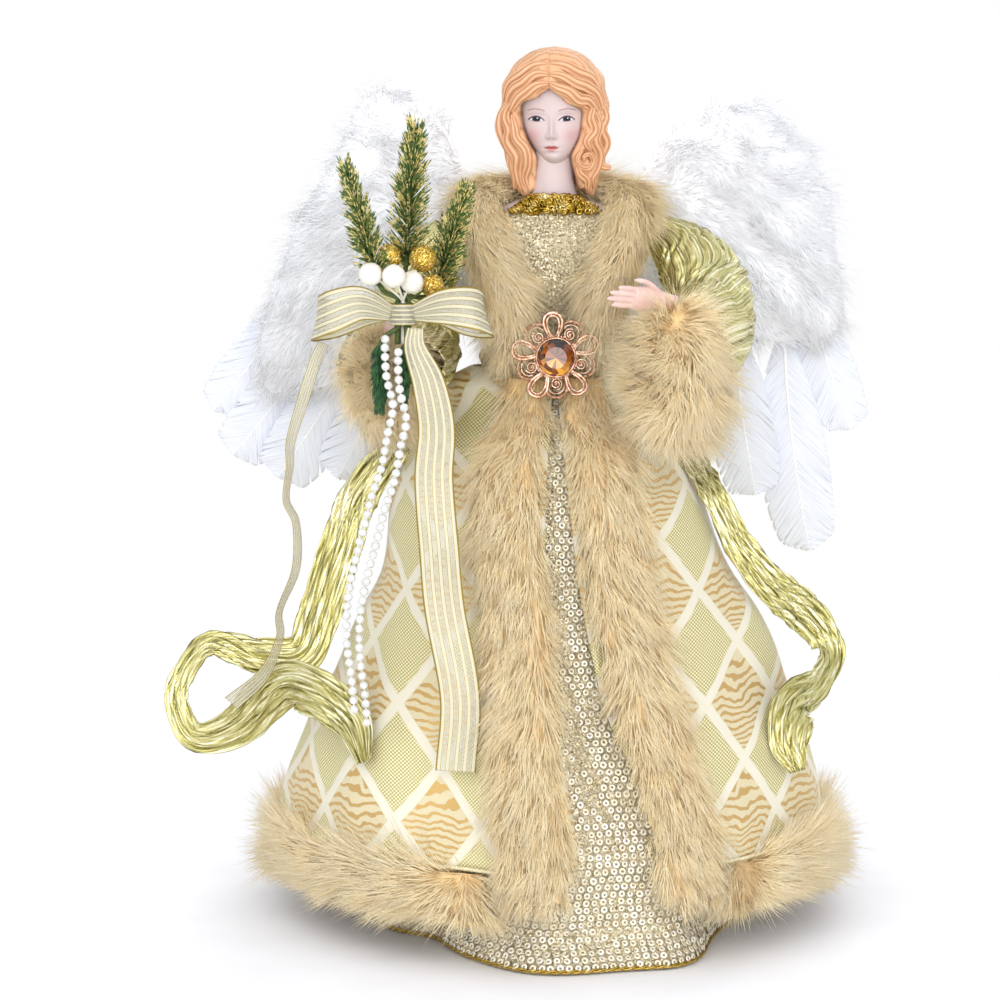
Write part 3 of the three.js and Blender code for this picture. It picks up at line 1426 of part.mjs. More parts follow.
function longFeather({ side, feathers }, index) {
  const [root, tip, size] = feathers[index];
  const start = at(side * root[0], 0, root[1]).multiplyScalar(wingReach);
  const end = at(side * tip[0], 0, tip[1]).multiplyScalar(wingReach);
  const seat = wingCard + fitGap + quillRadius;
  const layer = (quillRadius * 2 + fitGap) * (index % 2);
  const along = end.clone().sub(start).normalize();
  const across = along.clone().cross(at(0, -1, 0)).normalize();
  const vaneAt = curveThrough(vaneShares);
  const stations = 7;
  return skin(evenSteps(0, 1, stations).map((share) => {
    const [vane, quill] = vaneAt(share);
    const half = Math.max((vane * size * featherWidth) / 2, quillRadius * 0.6);
    const bend = side * featherWidth * 0.1 * sine(180 * share);
    const centre = start.clone().lerp(end, share).addScaledVector(across, bend);
    const thick = quillRadius * quill;
    const section = [
      [-half, vaneThickness], [0, -thick], [half, vaneThickness], [thick, thick * 0.5], [0, thick],
      [-thick, thick * 0.5],
    ];
    const level = seat + layer * smooth(share, 0.04, 0.14);
    return section.map(([wide, back]) => (
      centre.clone().addScaledVector(across, wide).add(at(0, level + back, 0))));
  }));
}

// Plate on the back of the coat that carries both wing wires
function wingPlate() {
  const back = wingPivotBack - wireBallRadius - fitGap;
  const plate = solid(blockBetween(
    at(-wingPlateWidth / 2, back - wingPlateThickness * 6, wingPivotHeight - wingPlateHeight / 2),
    at(wingPlateWidth / 2, back, wingPivotHeight + wingPlateHeight / 2),
  ));
  const coat = bodyForm(waistHeight, neckHeight, coatOutside + fitGap);
  return geometryOf(mainBody(plate.subtract(solid(coat))));
}

// Assembly: the fixed pieces
addPart('base_board', baseBoard(), finishes.card);
addPart('cone_former', coneFormer(), finishes.card);
addPart('torso_block', torsoBlock(), finishes.foam);
addPart('head_bust', headBust(), finishes.bisque);
addPart('moulded_hair', mouldedHair(), finishes.hair);
addPart('bodice', bodice(), finishes.glitterCloth);
addPart('neckline_trim', necklineTrim(), finishes.goldTrim);
addPart('upper_coat', upperCoat(), finishes.lame);
addPart('waist_belt', waistBelt(), finishes.goldTrim);
addPart('underskirt', underskirt(), finishes.sequins);
addPart('coat_skirt', coatSkirt(), finishes.brocade);
addPart('fur_front_left', furStrip(stripLeftShares), finishes.fur);
addPart('fur_front_right', furStrip(stripRightShares), finishes.fur);
addPart('fur_hem', furHem(), finishes.fur);
addPart('fur_collar_left', furCollar(1), finishes.fur);
addPart('fur_collar_right', furCollar(-1), finishes.fur);
addPart('brooch_setting', broochSetting(), finishes.roseGold);
addPart('brooch_gem', broochGem(), finishes.amber);
addPart('sash_knot', sashKnot(), finishes.lame);
addPart('sash_tail_left', sashTail(1), finishes.lame);
addPart('sash_tail_right', sashTail(-1), finishes.lame);
addPart('wing_plate', wingPlate(), finishes.card);

// Arms
for (const [side, word] of [[1, 'left'], [-1, 'right']]) {
  const arm = new THREE.Group();
  doll.add(arm);
  addPart(`arm_wire_${word}`, geometryOf(armWire(side)), finishes.wire, arm);
  addPart(`sleeve_${word}`, finishedSleeve(side), finishes.lame, arm);
  addPart(`fur_cuff_${word}`, furCuff(side), finishes.fur, arm);
  addPart(`hand_${word}`, castHand(side), finishes.bisque, arm);
}

// Bouquet
const bouquet = new THREE.Group();
doll.add(bouquet);
for (const [name, sprig] of Object.entries(sprigShares)) {
  addPart(name, pineSprig(sprig), finishes.needles, bouquet);
}
addPart('pearl_berry_pick', pick(6, pearlShares, berryRadius), finishes.pearl, bouquet);
addPart('glitter_ball_pick', pick(0, glitterShares, glitterBallRadius), finishes.glitterGold, bouquet);
addPart('bow_knot', knotBand(), finishes.ribbon, bouquet);
addPart('bow_loop_right', bowLoop(-1, bowRightShares), finishes.ribbon, bouquet);
addPart('bow_loop_left', bowLoop(1, bowLeftShares), finishes.ribbon, bouquet);
addPart('ribbon_tail_long', ribbonTail(longTailShares, longTailSizeShares), finishes.ribbon, bouquet);
addPart('ribbon_tail_thin', ribbonTail(thinTailShares, thinTailSizeShares), finishes.ribbon, bouquet);
addPart('bead_string_one', beadString(0), finishes.pearl, bouquet);
addPart('bead_string_two', beadString(1), finishes.pearl, bouquet);

// Wings
for (const [word, wing] of Object.entries(wings)) {
  const frame = new THREE.Group();
  frame.position.set(wing.side * wingPivotSide, wingPivotBack, wingPivotHeight);
  frame.rotation.z = wing.side * THREE.MathUtils.degToRad(wingSweep);
  doll.add(frame);
  addPart(`wing_wire_${word}`, wingWire(wing), finishes.wire, frame);
  addPart(`wing_card_${word}`, wingBacking(wing), finishes.card, frame);
  addPart(`wing_down_${word}`, wingDown(wing), finishes.down, frame);
  for (let i = 0; i < wing.feathers.length; i += 1) {
    addPart(`wing_feather_${word}_${i + 1}`, longFeather(wing, i), finishes.feather, frame);
  }
}

export default doll;
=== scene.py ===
# %% [markdown]
# # Dressing a christmas angel doll
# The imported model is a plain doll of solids. It stays where it is, as the frame, and this lesson
# dresses it: cloth, fur, feathers, painted bisque and wire work, each piece in the place of its
# solid. Lengths below are in millimetres on the doll, and meshes are made in metres.

# %% Load the frame
import math

import bmesh
import bpy
import numpy as np
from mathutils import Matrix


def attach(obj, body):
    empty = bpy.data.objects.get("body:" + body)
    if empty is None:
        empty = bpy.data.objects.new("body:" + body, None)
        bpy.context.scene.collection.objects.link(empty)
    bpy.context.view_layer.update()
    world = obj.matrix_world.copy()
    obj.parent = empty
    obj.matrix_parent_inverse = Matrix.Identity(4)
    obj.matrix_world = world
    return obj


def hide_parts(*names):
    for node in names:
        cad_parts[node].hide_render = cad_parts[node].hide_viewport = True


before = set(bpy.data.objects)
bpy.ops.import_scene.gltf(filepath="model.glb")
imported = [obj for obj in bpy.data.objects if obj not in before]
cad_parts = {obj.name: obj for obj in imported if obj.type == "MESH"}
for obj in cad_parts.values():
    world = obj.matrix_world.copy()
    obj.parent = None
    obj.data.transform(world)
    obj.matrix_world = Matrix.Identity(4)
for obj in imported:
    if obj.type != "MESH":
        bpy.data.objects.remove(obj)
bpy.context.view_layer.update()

MM = 0.001
print("solids in the frame:", len(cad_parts))

# %% [markdown]
# ## Camera, light and floor
# The photograph was taken from a little over a metre away at the height of the doll's shoulders,
# looking slightly down. Large soft lamps in front and a white surround give plain light. The
# surround is pure white to the camera and a little cooler to the doll.

# %% Camera
VIEW_HEIGHT = 335
VIEW_SIDE = -25
VIEW_DISTANCE = 1300
VIEW_TILT = 6.34
VIEW_LENS = 100.8

scene = bpy.context.scene
camera = bpy.data.objects.new("camera", bpy.data.cameras.new("camera"))
scene.collection.objects.link(camera)
camera.data.lens = VIEW_LENS
camera.location = (VIEW_SIDE * MM, -VIEW_DISTANCE * MM, VIEW_HEIGHT * MM)
camera.rotation_euler = (math.radians(90 - VIEW_TILT), 0, 0)
scene.camera = camera
scene.view_settings.view_transform = "Standard"
print("camera lens:", VIEW_LENS)


# %% Nodes and colours
def colour(code):
    """An sRGB hex colour as the linear colour that shaders use."""
    parts = np.array([int(code[k:k + 2], 16) for k in (1, 3, 5)]) / 255
    linear = np.where(parts <= 0.04045, parts / 12.92, ((parts + 0.055) / 1.055) ** 2.4)
    return (*linear.tolist(), 1.0)


def add(tree, kind, links=None, **settings):
    """Adds a node with its settings; each link is a socket to follow or a value to hold. A kind
    without the word Node is a shader node."""
    made = tree.nodes.new(kind if "Node" in kind else "ShaderNode" + kind)
    for key, value in settings.items():
        setattr(made, key, value)
    for key, value in (links or {}).items():
        if isinstance(value, bpy.types.NodeSocket):
            tree.links.new(value, made.inputs[key])
        else:
            made.inputs[key].default_value = value
    return made


def sums(tree, kind, values, steps):
    """Adds one maths node for each row of a table: result, operation, then what it works on."""
    for result, operation, *given in steps:
        keys = (0, 3) if operation == "SCALE" else range(3)
        links = {key: values.get(value, value) for key, value in zip(keys, given)}
        values[result] = add(tree, kind, links, operation=operation).outputs[0]
    return values


def placed(name, data):
    """An object in the scene from a mesh, a lamp or a camera."""
    piece = bpy.data.objects.new(name, data)
    scene.collection.objects.link(piece)
    return piece


print("half grey in linear light:", round(colour("#808080")[0], 3))

# %% Surround, lamps and floor
world = bpy.data.worlds.new("surround")
world.use_nodes = True
world.node_tree.nodes.clear()
path = add(world.node_tree, "LightPath")
dim = add(world.node_tree, "Background", {"Color": colour("#F4F6FF"), "Strength": 1.0})
bright = add(world.node_tree, "Background", {"Color": (1, 1, 1, 1), "Strength": 1.0})
either = add(world.node_tree, "MixShader", {0: path.outputs["Is Camera Ray"], 1: dim.outputs[0],
    2: bright.outputs[0]})
add(world.node_tree, "OutputWorld", {"Surface": either.outputs[0]})
scene.world = world

# Each lamp: its place, its width and its power. All aim at the middle of the doll.
LAMP_AIM_HEIGHT = 0.2
LAMPS = {"key": ((-0.8, -1.3, 1.2), 1.6, 8.5), "fill": ((0.3, -1.8, 0.45), 1.4, 18.5),
    "rim": ((0.5, 1.1, 1.0), 0.8, 4.0)}
for name, (place, width, power) in LAMPS.items():
    lamp = placed(name, bpy.data.lights.new(name, "AREA"))
    lamp.data.energy = power
    lamp.data.size = width
    lamp.location = place
    aim = -lamp.location
    aim.z += LAMP_AIM_HEIGHT
    lamp.rotation_euler = aim.to_track_quat("-Z", "Y").to_euler()
print("lamps:", list(LAMPS))

# %% [markdown]
# ## Helpers for shapes
# Every cloth, ribbon and lock of hair is a grid of points laid on a formula, so three helpers do
# most of the work: a smooth curve through a table of values, a course that follows a route in
# space, and two kinds of skin, a closed tube and a panel of cloth with a real thickness.


# %% Smooth tables, noise and courses
def mix(low, high, share):
    return low + (high - low) * share


def smooth(value, low, high):
    share = np.clip((value - low) / (high - low), 0, 1)
    return share * share * (3 - 2 * share)


def unit(vectors):
    return vectors / np.maximum(np.linalg.norm(vectors, axis=-1, keepdims=True), 1e-9)


def stacked(*parts):
    """Coordinates side by side, as points."""
    return np.stack(np.broadcast_arrays(*parts), -1)


def seeded(number):
    return np.random.default_rng(number)


def around_line(centre, across, over, wide, tall):
    """Points off a course: so far across it and so far over it."""
    return centre + across * wide[..., None] + over * tall[..., None]


def curve_through(rows):
    """A smooth curve through rows of [place, value, value...], as the part's own source has it."""
    rows = np.asarray(rows, float)
    place, value = rows[:, 0], rows[:, 1:]
    order = np.arange(len(place))
    after, before = np.minimum(order + 1, len(place) - 1), np.maximum(order - 1, 0)
    slope = (value[after] - value[before]) / (place[after] - place[before])[:, None]

    def at(where):
        where = np.clip(np.asarray(where, float), place[0], place[-1])
        k = np.clip(np.searchsorted(place, where, side="right") - 1, 0, len(place) - 2)
        span = (place[k + 1] - place[k])[..., None]
        t = (where - place[k])[..., None] / span
        return (value[k] * (2 * t**3 - 3 * t**2 + 1) + slope[k] * span * (t**3 - 2 * t**2 + t)
            + value[k + 1] * (3 * t**2 - 2 * t**3) + slope[k + 1] * span * (t**3 - t**2))
    return at


def ripples(points, size, seed, octaves=2):
    """Smooth seeded noise from about -1 to 1, with lumps of a given size."""
    draw = seeded(seed)
    total = 0.0
    for octave in range(octaves):
        waves = unit(draw.normal(size=(7, points.shape[-1]))) * 2 * np.pi / size * 2**octave
        total = total + np.sin(points @ waves.T + draw.uniform(0, 6.28, 7)).sum(-1) / (2.6 * 2**octave)
    return total / 1.6


def course(route, up=(0, 0, 1)):
    """A smooth course through points. It gives centre, across, over and along at shares of it."""
    route = np.asarray(route, float)
    knots = np.concatenate([[0], np.cumsum(np.linalg.norm(np.diff(route, axis=0), axis=1) ** 0.5)])
    fine = curve_through(np.column_stack([knots, route]))(np.linspace(0, knots[-1], 60 * len(route)))
    far = np.concatenate([[0], np.cumsum(np.linalg.norm(np.diff(fine, axis=0), axis=1))])
    even = np.linspace(0, far[-1], 400)
    place = np.stack([np.interp(even, far, fine[:, k]) for k in range(3)], 1)
    along = unit(np.gradient(place, axis=0))
    across = unit(np.cross(along, np.asarray(up, float)))
    over = np.cross(across, along)
    table = np.concatenate([place, across, over, along], 1)

    def at(share):
        share = np.clip(np.asarray(share, float), 0, 1) * 399
        low = np.minimum(share.astype(int), 398)
        row = mix(table[low], table[low + 1], (share - low)[..., None])
        return row[..., :3], unit(row[..., 3:6]), unit(row[..., 6:9]), unit(row[..., 9:])
    at.length = far[-1]
    return at


quarter = [(100 * math.sin(a), 100 * math.cos(a), 0) for a in np.radians((0, 30, 60, 90))]
print("a quarter circle of 100 mm by its course:", round(course(quarter).length, 1))

# %% Skins
def facing_out(points, faces):
    """Turns a closed skin right side out. A triangle is a face whose last corner comes twice."""
    a, b, c, d = (points[faces[:, k]] for k in range(4))
    volume = (a * np.cross(b, c)).sum() + (a * np.cross(c, d)).sum()
    return points, (faces if volume > 0 else faces[:, ::-1])


def joined(*skins):
    """Several skins as one: points, faces and the cloth's own coordinates of each point."""
    points, faces, cloth, count = [], [], [], 0
    for skin in skins:
        points.append(skin[0])
        faces.append(skin[1] + count)
        cloth.append(skin[2] if len(skin) > 2 else np.zeros((len(skin[0]), 2)))
        count += len(skin[0])
    return np.concatenate(points), np.concatenate(faces), np.concatenate(cloth)


def tube(rings):
    """A closed skin over rings of points, with a fan at each end."""
    rows, sides = rings.shape[:2]
    index = np.arange(rows * sides).reshape(rows, sides)
    turned = np.roll(index, -1, 1)
    walls = stacked(index[:-1], turned[:-1], turned[1:], index[1:]).reshape(-1, 4)
    foot, head = rows * sides, rows * sides + 1
    fans = [stacked(np.full(sides, foot), turned[0], index[0], index[0]),
        stacked(np.full(sides, head), index[-1], turned[-1], turned[-1])]
    points = np.concatenate([rings.reshape(-1, 3), [rings[0].mean(0)], [rings[-1].mean(0)]])
    return facing_out(points, np.concatenate([walls, *fans]))


def panel(place, columns, rows, thickness, wrap=False):
    """Cloth with a front and a back. place(u, v, depth) gives points, u across and v along."""
    u, v = np.meshgrid(np.linspace(0, 1, columns + 1), np.linspace(0, 1, rows + 1))
    if wrap:
        u, v = u[:, :-1], v[:, :-1]
    layers = [place(u, v, 0.0), place(u, v, thickness)]
    index = np.arange(u.size).reshape(u.shape)
    turned = np.roll(index, -1, 1) if wrap else index[:, 1:]
    index = index if wrap else index[:, :-1]
    front = stacked(index[:-1], turned[:-1], turned[1:], index[1:]).reshape(-1, 4)
    back = front[:, ::-1] + u.size
    walls = [stacked(turned[0], index[0], index[0] + u.size, turned[0] + u.size),
        stacked(index[-1], turned[-1], turned[-1] + u.size, index[-1] + u.size)]
    if not wrap:
        left, right = index[:, 0], turned[:, -1]
        walls += [stacked(left[:-1], left[1:], left[1:] + u.size, left[:-1] + u.size),
            stacked(right[1:], right[:-1], right[:-1] + u.size, right[1:] + u.size)]
    points = np.concatenate([layer.reshape(-1, 3) for layer in layers])
    cloth = np.tile(stacked(u.ravel(), v.ravel()), (2, 1))
    points, faces = facing_out(points, np.concatenate([front, back, *walls]))
    return points, faces, cloth


def rod(route, radius, sides=8, stations=12, up=(0, 0.3, 1)):
    """A round wire along a route; the radius may be a function of the share of its length."""
    share = np.linspace(0, 1, stations + 1)
    centre, across, over, _ = course(route, up)(share)
    turn = np.arange(sides) * 2 * np.pi / sides
    size = radius(share) if callable(radius) else np.full(len(share), radius)
    ring = (across[:, None] * np.cos(turn)[:, None] + over[:, None] * np.sin(turn)[:, None])
    return tube(centre[:, None] + ring * size[:, None, None])


def ball(centre, radius, sides=16, stretch=(1, 1, 1)):
    """A closed round form with poles on the Z axis."""
    rise = np.linspace(-np.pi / 2, np.pi / 2, sides // 2 + 1)[1:-1]
    turn = np.arange(sides) * 2 * np.pi / sides
    ring = stacked(np.cos(rise)[:, None] * np.cos(turn), np.cos(rise)[:, None] * np.sin(turn),
        np.sin(rise)[:, None] + 0 * turn)
    points, faces = tube(ring)
    points[-2:] = ((0, 0, -1), (0, 0, 1))
    return points * radius * np.asarray(stretch) + np.asarray(centre, float), faces


print("faces of a ball with 16 sides:", len(ball((0, 0, 0), 1)[1]))

# %% Making a piece and letting it ride
def settle(piece, body, replaces=()):
    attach(piece, body)
    if replaces:
        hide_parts(*replaces)
    print(f"{piece.name}: {len(piece.data.polygons)} faces, rides on {body}")
    return piece


def mesh_object(name, skin, finishes=(), values=None, flat=False):
    """A Blender object from a skin in millimetres, with its UV map and other values of its points."""
    points, faces = skin[0], skin[1]
    mesh = bpy.data.meshes.new(name)
    corners = [face[:3] if face[2] == face[3] else face for face in faces.tolist()]
    corners = [face[1:] if len(face) == 4 and face[0] == face[1] else face for face in corners]
    mesh.from_pydata((points * MM).tolist(), [], corners)
    if len(skin) > 2:
        layer = mesh.uv_layers.new(name="cloth")
        order = np.zeros(len(mesh.loops), int)
        mesh.loops.foreach_get("vertex_index", order)
        layer.data.foreach_set("uv", skin[2][order].astype(np.float32).ravel())
    for key, value in (values or {}).items():
        kind, field = {1: ("FLOAT", "value"), 3: ("FLOAT_VECTOR", "vector"),
            4: ("FLOAT_COLOR", "color")}[value.shape[1] if value.ndim > 1 else 1]
        mesh.attributes.new(key, kind, "POINT").data.foreach_set(field, value.astype(np.float32).ravel())
    for made in finishes:
        mesh.materials.append(made)
    if not flat and faces.size:
        mesh.shade_smooth()
    return placed(name, mesh)


def make(name, skin, finishes, body, replaces=(), values=None, flat=False):
    """A finished piece on its body."""
    finishes = finishes if isinstance(finishes, (list, tuple)) else [finishes]
    return settle(mesh_object(name, skin, finishes, values, flat), body, replaces)


def modified(piece, steps=()):
    """The plain mesh that a piece's modifiers give. The piece itself is taken away."""
    for kind, values in steps:
        modifier = piece.modifiers.new(kind, kind)
        for key, value in values.items():
            setattr(modifier, key, value)
    graph = bpy.context.evaluated_depsgraph_get()
    mesh = bpy.data.meshes.new_from_object(piece.evaluated_get(graph), preserve_all_data_layers=True,
        depsgraph=graph)
    bpy.data.objects.remove(piece)
    return mesh


def two_finishes(piece, first_faces):
    """Gives a piece's first faces its first finish, and the rest its second."""
    for number, face in enumerate(piece.data.polygons):
        face.material_index = int(number >= first_faces)


def finish(name, shades, roughness, metallic=0.0, grain=1.0, relief=0.02, coords="Object",
    stretch=(1, 1, 1), **shader_values):
    """A procedural finish: shades mixed by a noise of a grain in mm, which also gives the relief."""
    made = bpy.data.materials.new(name)
    made.use_nodes = True
    tree = made.node_tree
    tree.nodes.clear()
    place = add(tree, "TexCoord").outputs[coords]
    place = add(tree, "Mapping", {"Vector": place, "Scale": stretch}).outputs[0]
    noise = add(tree, "TexNoise", {"Vector": place, "Scale": 1 / (grain * MM), "Detail": 4.0})
    ramp = add(tree, "ValToRGB", {"Fac": noise.outputs["Fac"]})
    steps = ramp.color_ramp.elements
    while len(steps) < len(shades):
        steps.new(0.5)
    for k, code in enumerate(shades):
        steps[k].position = mix(0.32, 0.68, k / max(len(shades) - 1, 1))
        steps[k].color = colour(code)
    rough = add(tree, "MapRange", {"Value": noise.outputs["Fac"], "To Min": roughness - 0.07,
        "To Max": roughness + 0.07})
    bump = add(tree, "Bump", {"Height": noise.outputs["Fac"], "Distance": relief * MM})
    shader = add(tree, "BsdfPrincipled", {
        "Base Color": ramp.outputs[0], "Roughness": rough.outputs[0], "Metallic": metallic,
        "Normal": bump.outputs[0], **shader_values})
    add(tree, "OutputMaterial", {"Surface": shader.outputs[0]})
    return made


def nodes_of(material):
    """A material's nodes by kind, the first of each kind."""
    return {node.bl_idname.removeprefix("ShaderNode"): node for node in reversed(material.node_tree.nodes)}


def feed(material, sockets):
    """Links sockets of a material's shader to what drives them."""
    for socket, value in sockets.items():
        material.node_tree.links.new(value, nodes_of(material)["BsdfPrincipled"].inputs[socket])


# %% [markdown]
# ## Repeating small pieces
# Beads, sequins, needles and granules are one small shape set many times on points. One node
# tree does it: each point carries the way the piece faces, its spin and its size. The instances
# are realised, because only a plain mesh can be exported.


# %% The tree that sets pieces on points
def geometry_tree(title, sockets):
    tree = bpy.data.node_groups.new(title, "GeometryNodeTree")
    for label, kind in sockets:
        tree.interface.new_socket(name=label, in_out="INPUT", socket_type="NodeSocket" + kind)
    tree.interface.new_socket(name="Piece", in_out="OUTPUT", socket_type="NodeSocketGeometry")
    return tree, add(tree, "NodeGroupInput").outputs


def finish_tree(tree, geometry, material, also):
    """Realised geometry gets its finish, is joined with what it stands on, and goes out."""
    dressed = add(tree, "GeometryNodeSetMaterial", {"Geometry": geometry, "Material": material})
    both = add(tree, "GeometryNodeJoinGeometry")
    for socket in (also, dressed.outputs[0]):
        tree.links.new(socket, both.inputs[0])
    add(tree, "NodeGroupOutput", {"Piece": both.outputs[0]})


setting, given = geometry_tree("pieces_on_points", [
    ("Points", "Geometry"), ("Unit", "Object"), ("Stands on", "Object"), ("Finish", "Material")])
on_point = {label: add(setting, "GeometryNodeInputNamedAttribute", {"Name": label}, data_type=kind).outputs[0]
    for label, kind in (("facing", "FLOAT_VECTOR"), ("spin", "FLOAT"), ("size", "FLOAT_VECTOR"))}
facing = add(setting, "FunctionNodeAlignRotationToVector", {
    "Vector": on_point["facing"]}, axis="Z")
spin = add(setting, "FunctionNodeAxisAngleToRotation", {
    "Axis": (0, 0, 1), "Angle": on_point["spin"]})
turned = add(setting, "FunctionNodeRotateRotation", {
    "Rotation": facing.outputs[0], "Rotate By": spin.outputs[0]}, rotation_space="LOCAL")
small = add(setting, "GeometryNodeObjectInfo", {"Object": given["Unit"]})
below = add(setting, "GeometryNodeObjectInfo", {"Object": given["Stands on"]})
copies = add(setting, "GeometryNodeInstanceOnPoints", {
    "Points": given["Points"], "Instance": small.outputs["Geometry"],
    "Rotation": turned.outputs[0], "Scale": on_point["size"]})
whole = add(setting, "GeometryNodeRealizeInstances", {"Geometry": copies.outputs[0]})
finish_tree(setting, whole.outputs[0], given["Finish"], below.outputs["Geometry"])


def run_tree(name, tree, base, settings):
    """Runs a tree on an object and gives back one plain mesh object."""
    modifier = base.modifiers.new("nodes", "NODES")
    modifier.node_group = tree
    for item in tree.interface.items_tree:
        if item.in_out == "INPUT" and item.name in settings:
            modifier[item.identifier] = settings[item.name]
    mesh = modified(base)
    mesh.name = name
    for attribute in [a.name for a in mesh.attributes if a.name in (
        "facing", "spin", "size", "comb", "stray", "root", "reach", "pile")]:
        mesh.attributes.remove(mesh.attributes[attribute])
    return placed(name, mesh)


def scatter(name, points, facing_to, size, spin_by, unit_skin, unit_finish, base=None, flat=False,
    unit_values=None):
    """Sets a unit skin on points, over a base object whose geometry is kept."""
    points = np.asarray(points, float)
    size = np.broadcast_to(np.asarray(size, float).reshape(-1, 1) if np.ndim(size) == 1 else size,
        points.shape)
    spots = mesh_object(name + "_spots", (points, np.zeros((0, 4), int)), values={
        "facing": np.broadcast_to(facing_to, points.shape), "size": size,
        "spin": np.broadcast_to(spin_by, len(points)).astype(float)})
    small = mesh_object(name + "_unit", unit_skin, values=unit_values, flat=flat)
    piece = run_tree(name, setting, spots, {"Unit": small, "Stands on": base, "Finish": unit_finish})
    for spare in (small, base):
        if spare:
            bpy.data.objects.remove(spare)
    return piece


print("nodes in the tree:", len(setting.nodes))

# %% [markdown]
# ## Fur and down
# Fur is thousands of flat tapering hairs on a soft core. Particle hair would not export, so a
# node tree grows real mesh hairs: it spreads roots over the core, leans each hair along a comb
# direction that the core carries, bends it, curls it with noise, and draws neighbours together
# into tufts.

# %% The tree that grows hair
pelt, given = geometry_tree("hair_on_a_pelt", [
    ("Skin", "Geometry"), ("Hair", "Object"), ("Density", "Float"), ("Seed", "Int"),
    ("Length", "Float"), ("Lean", "Float"), ("Bend", "Float"), ("Frizz", "Float"),
    ("Curl size", "Float"), ("Tuft size", "Float"), ("Tufting", "Float"), ("Finish", "Material")])
of_hair = {label: add(pelt, "GeometryNodeInputNamedAttribute", {"Name": label}, data_type=kind).outputs[0]
    for label, kind in (("pile", "FLOAT"), ("along", "FLOAT"), ("reach", "FLOAT"), ("comb", "FLOAT_VECTOR"),
    ("root", "FLOAT_VECTOR"), ("stray", "FLOAT_VECTOR"))}
spots = add(pelt, "GeometryNodeDistributePointsOnFaces", {
    "Mesh": given["Skin"], "Density": given["Density"], "Seed": given["Seed"]})
chance = add(pelt, "FunctionNodeRandomValue", {"Seed": given["Seed"]}, data_type="FLOAT")
chance.inputs[2].default_value, chance.inputs[3].default_value = 0.0, 1.0
any_way = add(pelt, "FunctionNodeRandomValue", {0: (-1, -1, -1), 1: (1, 1, 1), "Seed": given["Seed"]},
    data_type="FLOAT_VECTOR")
reach = sums(pelt, "Math", {"chance": chance.outputs[1], "length": given["Length"],
    "pile": of_hair["pile"]}, [
    ("spread", "MULTIPLY_ADD", "chance", 0.5, 0.6), ("own", "MULTIPLY", "spread", "length"),
    ("reach", "MULTIPLY", "own", "pile")])["reach"]
stored = spots.outputs["Points"]
for label, kind, value in (
    ("root", "FLOAT_VECTOR", add(pelt, "GeometryNodeInputPosition").outputs[0]),
    ("stray", "FLOAT_VECTOR", any_way.outputs[0]), ("tint", "FLOAT", chance.outputs[1]),
    ("reach", "FLOAT", reach)):
    stored = add(pelt, "GeometryNodeStoreNamedAttribute", {
        "Geometry": stored, "Name": label, "Value": value}, data_type=kind).outputs[0]
lean = sums(pelt, "VectorMath", {
    "normal": spots.outputs["Normal"], "comb": of_hair["comb"],
    "lean": given["Lean"], "stray": any_way.outputs[0]}, [
    ("laid", "SCALE", "comb", "lean"), ("loose", "SCALE", "stray", 0.22),
    ("both", "ADD", "laid", "loose"), ("way", "ADD", "both", "normal")])["way"]
stand = add(pelt, "FunctionNodeAlignRotationToVector", {"Vector": lean}, axis="Z")
# The flat side of a hair faces away from the pelt, so the pile catches the light.
stand = add(pelt, "FunctionNodeAlignRotationToVector", {
    "Rotation": stand.outputs[0], "Vector": spots.outputs["Normal"]}, axis="Y", pivot_axis="Z")
tall = add(pelt, "CombineXYZ", {"X": 1.0, "Y": 1.0, "Z": reach})
one_hair = add(pelt, "GeometryNodeObjectInfo", {"Object": given["Hair"]})
hairs = add(pelt, "GeometryNodeInstanceOnPoints", {
    "Points": stored, "Instance": one_hair.outputs["Geometry"], "Rotation": stand.outputs[0],
    "Scale": tall.outputs[0]})
grown = add(pelt, "GeometryNodeRealizeInstances", {"Geometry": hairs.outputs[0]})
curl_scale = sums(pelt, "Math", {"size": given["Curl size"], "tuft": given["Tuft size"]}, [
    ("curl", "DIVIDE", 1.0, "size"), ("tufts", "DIVIDE", 1.0, "tuft")])
swirl = add(pelt, "TexNoise", {"Vector": of_hair["root"], "Scale": curl_scale["curl"], "Detail": 1.0})
cells = add(pelt, "TexVoronoi", {"Vector": of_hair["root"], "Scale": curl_scale["tufts"]})
shares = sums(pelt, "Math", {
    "along": of_hair["along"], "reach": of_hair["reach"], "bend": given["Bend"],
    "frizz": given["Frizz"], "tufting": given["Tufting"]}, [
    ("square", "MULTIPLY", "along", "along"), ("far", "MULTIPLY", "square", "reach"),
    ("bent", "MULTIPLY", "far", "bend"), ("curled", "MULTIPLY", "far", "frizz"),
    ("strayed", "MULTIPLY", "curled", 0.35), ("drawn", "MULTIPLY", "along", "tufting")])
moved = sums(pelt, "VectorMath", {
    **shares, "comb": of_hair["comb"], "root": of_hair["root"],
    "stray": of_hair["stray"], "swirl": swirl.outputs["Color"],
    "cell": cells.outputs["Position"]}, [
    ("bow", "SCALE", "comb", "bent"), ("centred", "SUBTRACT", "swirl", (0.5, 0.5, 0.5)),
    ("wave", "SCALE", "centred", "curled"), ("loose", "SCALE", "stray", "strayed"),
    ("inward", "SUBTRACT", "cell", "root"), ("tuft", "SCALE", "inward", "drawn"),
    ("one", "ADD", "bow", "wave"), ("two", "ADD", "loose", "tuft"), ("all", "ADD", "one", "two")])
combed = add(pelt, "GeometryNodeSetPosition", {"Geometry": grown.outputs[0], "Offset": moved["all"]})
finish_tree(pelt, combed.outputs[0], given["Finish"], given["Skin"])


